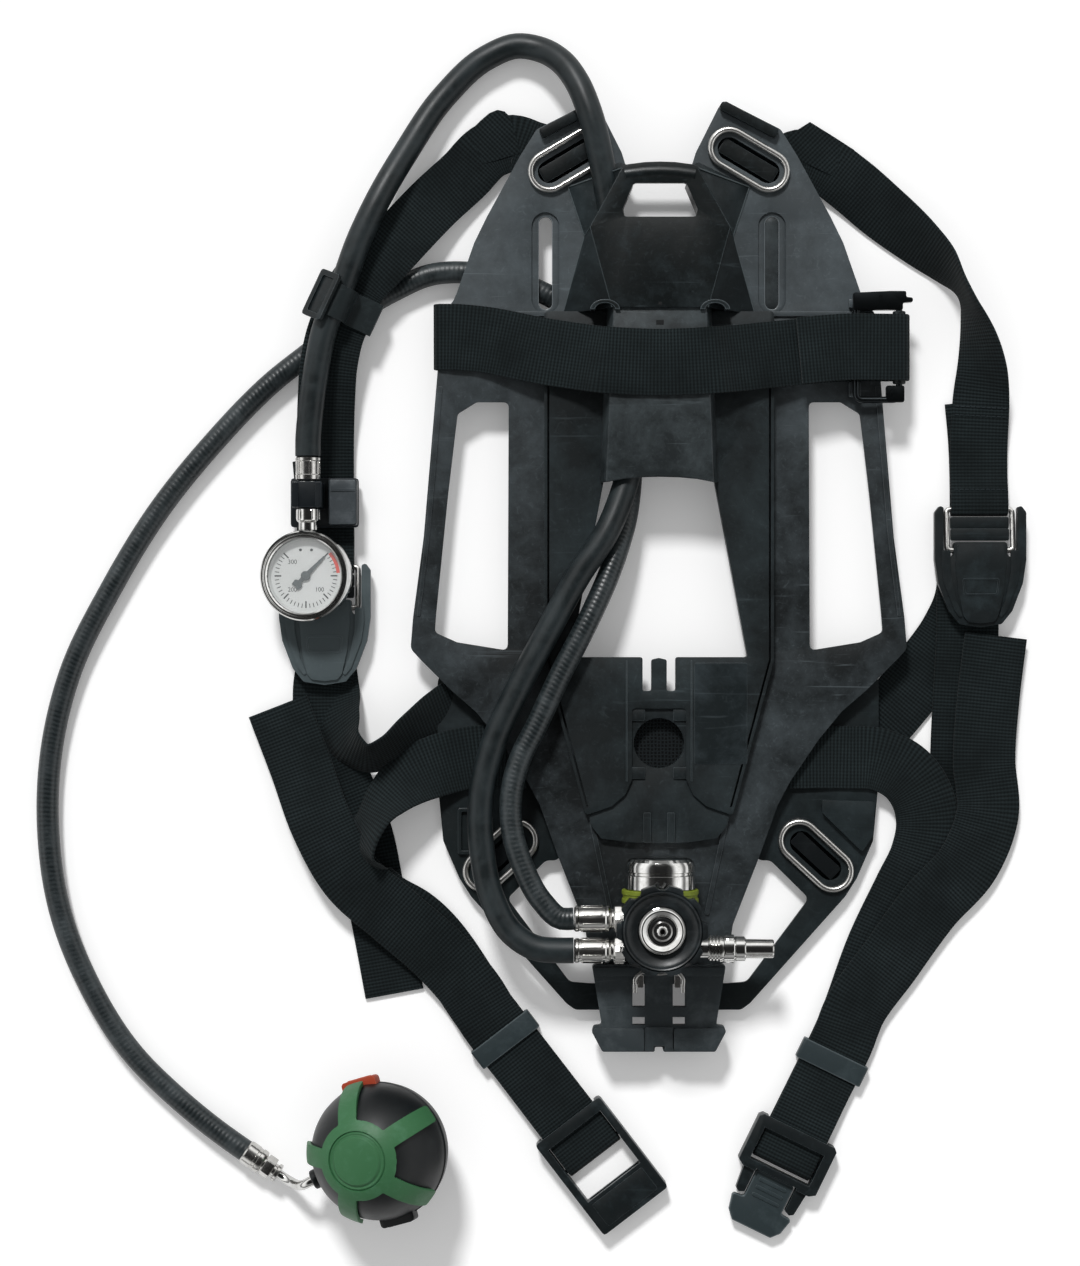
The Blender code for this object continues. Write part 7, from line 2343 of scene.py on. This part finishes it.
@dataclass
class DemandValve:
    """The demand valve: soft black ball, green ribbed cover, purge button and two side buttons."""

    radius: float = 41.0
    cover_gap: float = 0.6
    cover_wall: float = 2.4
    ring: float = 24.4
    button: float = 17.4
    seam: float = -1.5
    arm_root: float = 6.0
    arm_end: float = 7.6
    arm_reach: float = 60.0
    arms: tuple[float, ...] = (180.0, 108.0, 36.0, -36.0, -108.0)

    def arc(self, radius: float, low: float, high: float, steps: int = 24) -> list[Point]:
        """A ball's profile between two heights, from the top down.

        Args:
            radius: the ball's radius.
            low: the lower height.
            high: the upper height.
            steps: segments of the profile.

        Returns:
            (radius, height) points.
        """
        first, last = math.acos(high / radius), math.acos(low / radius)
        angles = [first + (last - first) * k / steps for k in range(steps + 1)]
        return [(radius * math.sin(a), radius * math.cos(a)) for a in angles]

    def ball(self, shop: Workshop) -> None:
        """The housing with its inlet boss, its outlet and the seam round its middle.

        Args:
            shop: where pieces are made.
        """
        outer = self.arc(self.radius, -38.2, 35.8)
        mouth = [(14.6, -38.2), (13.4, -37.4), (11, -37.4), (11, -35.2)]
        profile = outer + mouth + self.arc(38.5, -35.2, 32.9)[::-1]
        made = Shape.turned(profile, 110, True).placed(VALVE)
        z = self.seam
        r = math.sqrt(self.radius ** 2 - z ** 2)
        bead = [(r - 0.6, z + 1.1), (r + 0.45, z + 0.7), (r + 0.55, z), (r + 0.45, z - 0.7),
                (r - 0.6, z - 1.1)]
        made.joined(Shape.turned(bead, 110, True).placed(VALVE))
        turn = math.radians(INLET_TURN)
        inlet = Vector((math.cos(turn), math.sin(turn), 0))
        here = Matrix.Translation((*VALVE_SPOT[:2], INLET_Z)) @ aimed(inlet)
        boss = Shape.turned([(3.5, 46), (5.0, 46), (5.8, 45.4), (6.0, 44.4), (6.0, 42), (7.4, 40.6),
                             (8, 36), (3.5, 36)], 40, True)
        made.joined(boss.placed(here))
        shop.skin("valve_housing", "ball", made, SHELL, Body.VALVE)
        shop.hidden("valve_diaphragm", SEAL_AND_HOLE_SHADE)

    def star(self) -> list[Point]:
        """The cover's outline unrolled about its middle: a ring with five arms that widen outwards.

        Returns:
            The outline.
        """
        spots: list[Point] = []
        root, end = self.arm_root, self.arm_end
        near = math.sqrt(self.ring ** 2 - root * root)
        gap = math.degrees(math.asin(root / self.ring))
        angles = sorted(self.arms)
        for angle, following in zip(angles, [*angles[1:], angles[0] + 360]):
            base = math.radians(angle)
            for a, r in ((-root, near), (-end, self.arm_reach), (end, self.arm_reach), (root, near)):
                spots.append((r * math.cos(base) - a * math.sin(base),
                              r * math.sin(base) + a * math.cos(base)))
            first, last = angle + gap, following - gap
            for j in range(1, 10):
                a = math.radians(first + (last - first) * j / 10)
                spots.append((self.ring * math.cos(a), self.ring * math.sin(a)))
        return rounded(spots, 2.2, 4)

    def cover(self, shop: Workshop) -> None:
        """The green cover wrapped over the ball.

        Args:
            shop: where pieces are made.
        """
        hole = stadium(0, 0, 0.001, self.button + 0.4, steps=40)
        made = Shape.flat([self.star(), hole]).sliced(2.4)
        low = self.radius + self.cover_gap
        for vert in made.bm.verts:
            reach = math.hypot(vert.co.x, vert.co.y)
            polar, turn = reach / (low + 1.0), math.atan2(vert.co.y, vert.co.x)
            out = math.sin(polar)
            vert.co = Vector((out * math.cos(turn), out * math.sin(turn), math.cos(polar))) * low
        for vert in made.walled():
            vert.co *= (low + self.cover_wall) / low
        made.cleaned().bevelled(0.7, 3, 55.0)
        shop.skin("valve_cover", "wrapped", made.placed(VALVE), GREEN, Body.VALVE, smooth=45.0)

    def buttons(self, shop: Workshop) -> None:
        """The purge button and the two side buttons.

        Args:
            shop: where pieces are made.
        """
        r = self.button
        purge = Shape.turned([(0, 42.6), (6, 42.45), (11, 42.0), (13.8, 41.5), (14.4, 41.0), (14.9, 40.2),
                              (15.5, 40.0), (16.4, 40.2), (17.0, 39.8), (r, 39.2), (r, 34), (0, 34)], 90)
        shop.skin("purge_button", "domed", purge.placed(VALVE), GREEN, Body.PURGE)
        sides = (("bypass_button", 107.0, RED, Body.BYPASS), ("release_button", -73.0, SHELL, Body.RELEASE))
        for name, angle, finish, body in sides:
            made = Shape.slab(rounded(block(34, 44.8, -11, 11), 2.6), -4, 4, 0.8, 3, 50.0)
            ridge = Shape.slab(rounded(block(44.2, 45.2, -7.5, 7.5), 0.5, 2), -1.4, 1.4, 0.3, 2)
            made.joined(ridge).placed(VALVE @ spin(angle))
            shop.skin(name, "cap", made, finish, body)

    def build(self, shop: Workshop) -> None:
        """Make the valve.

        Args:
            shop: where pieces are made.
        """
        self.ball(shop)
        self.cover(shop)
        self.buttons(shop)


def main() -> None:
    """Build every sub-assembly in order."""
    logging.basicConfig(level=logging.INFO, format="%(message)s")
    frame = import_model()
    shop = Workshop(frame["nodes"])
    Studio().build()
    Hoses().build(shop, HoseEnd().build(shop))
    Backplate().build(shop)
    LumbarPad().build(shop)
    Foot().build(shop)
    StrapRings().build(shop)
    CylinderStrap().build(shop)
    Harness().build(shop)
    BeltBuckle().build(shop)
    HoseKeeper().build(shop)
    Reducer().build(shop)
    Gauge().build(shop)
    DemandValve().build(shop)


if __name__ == "__main__":
    main()
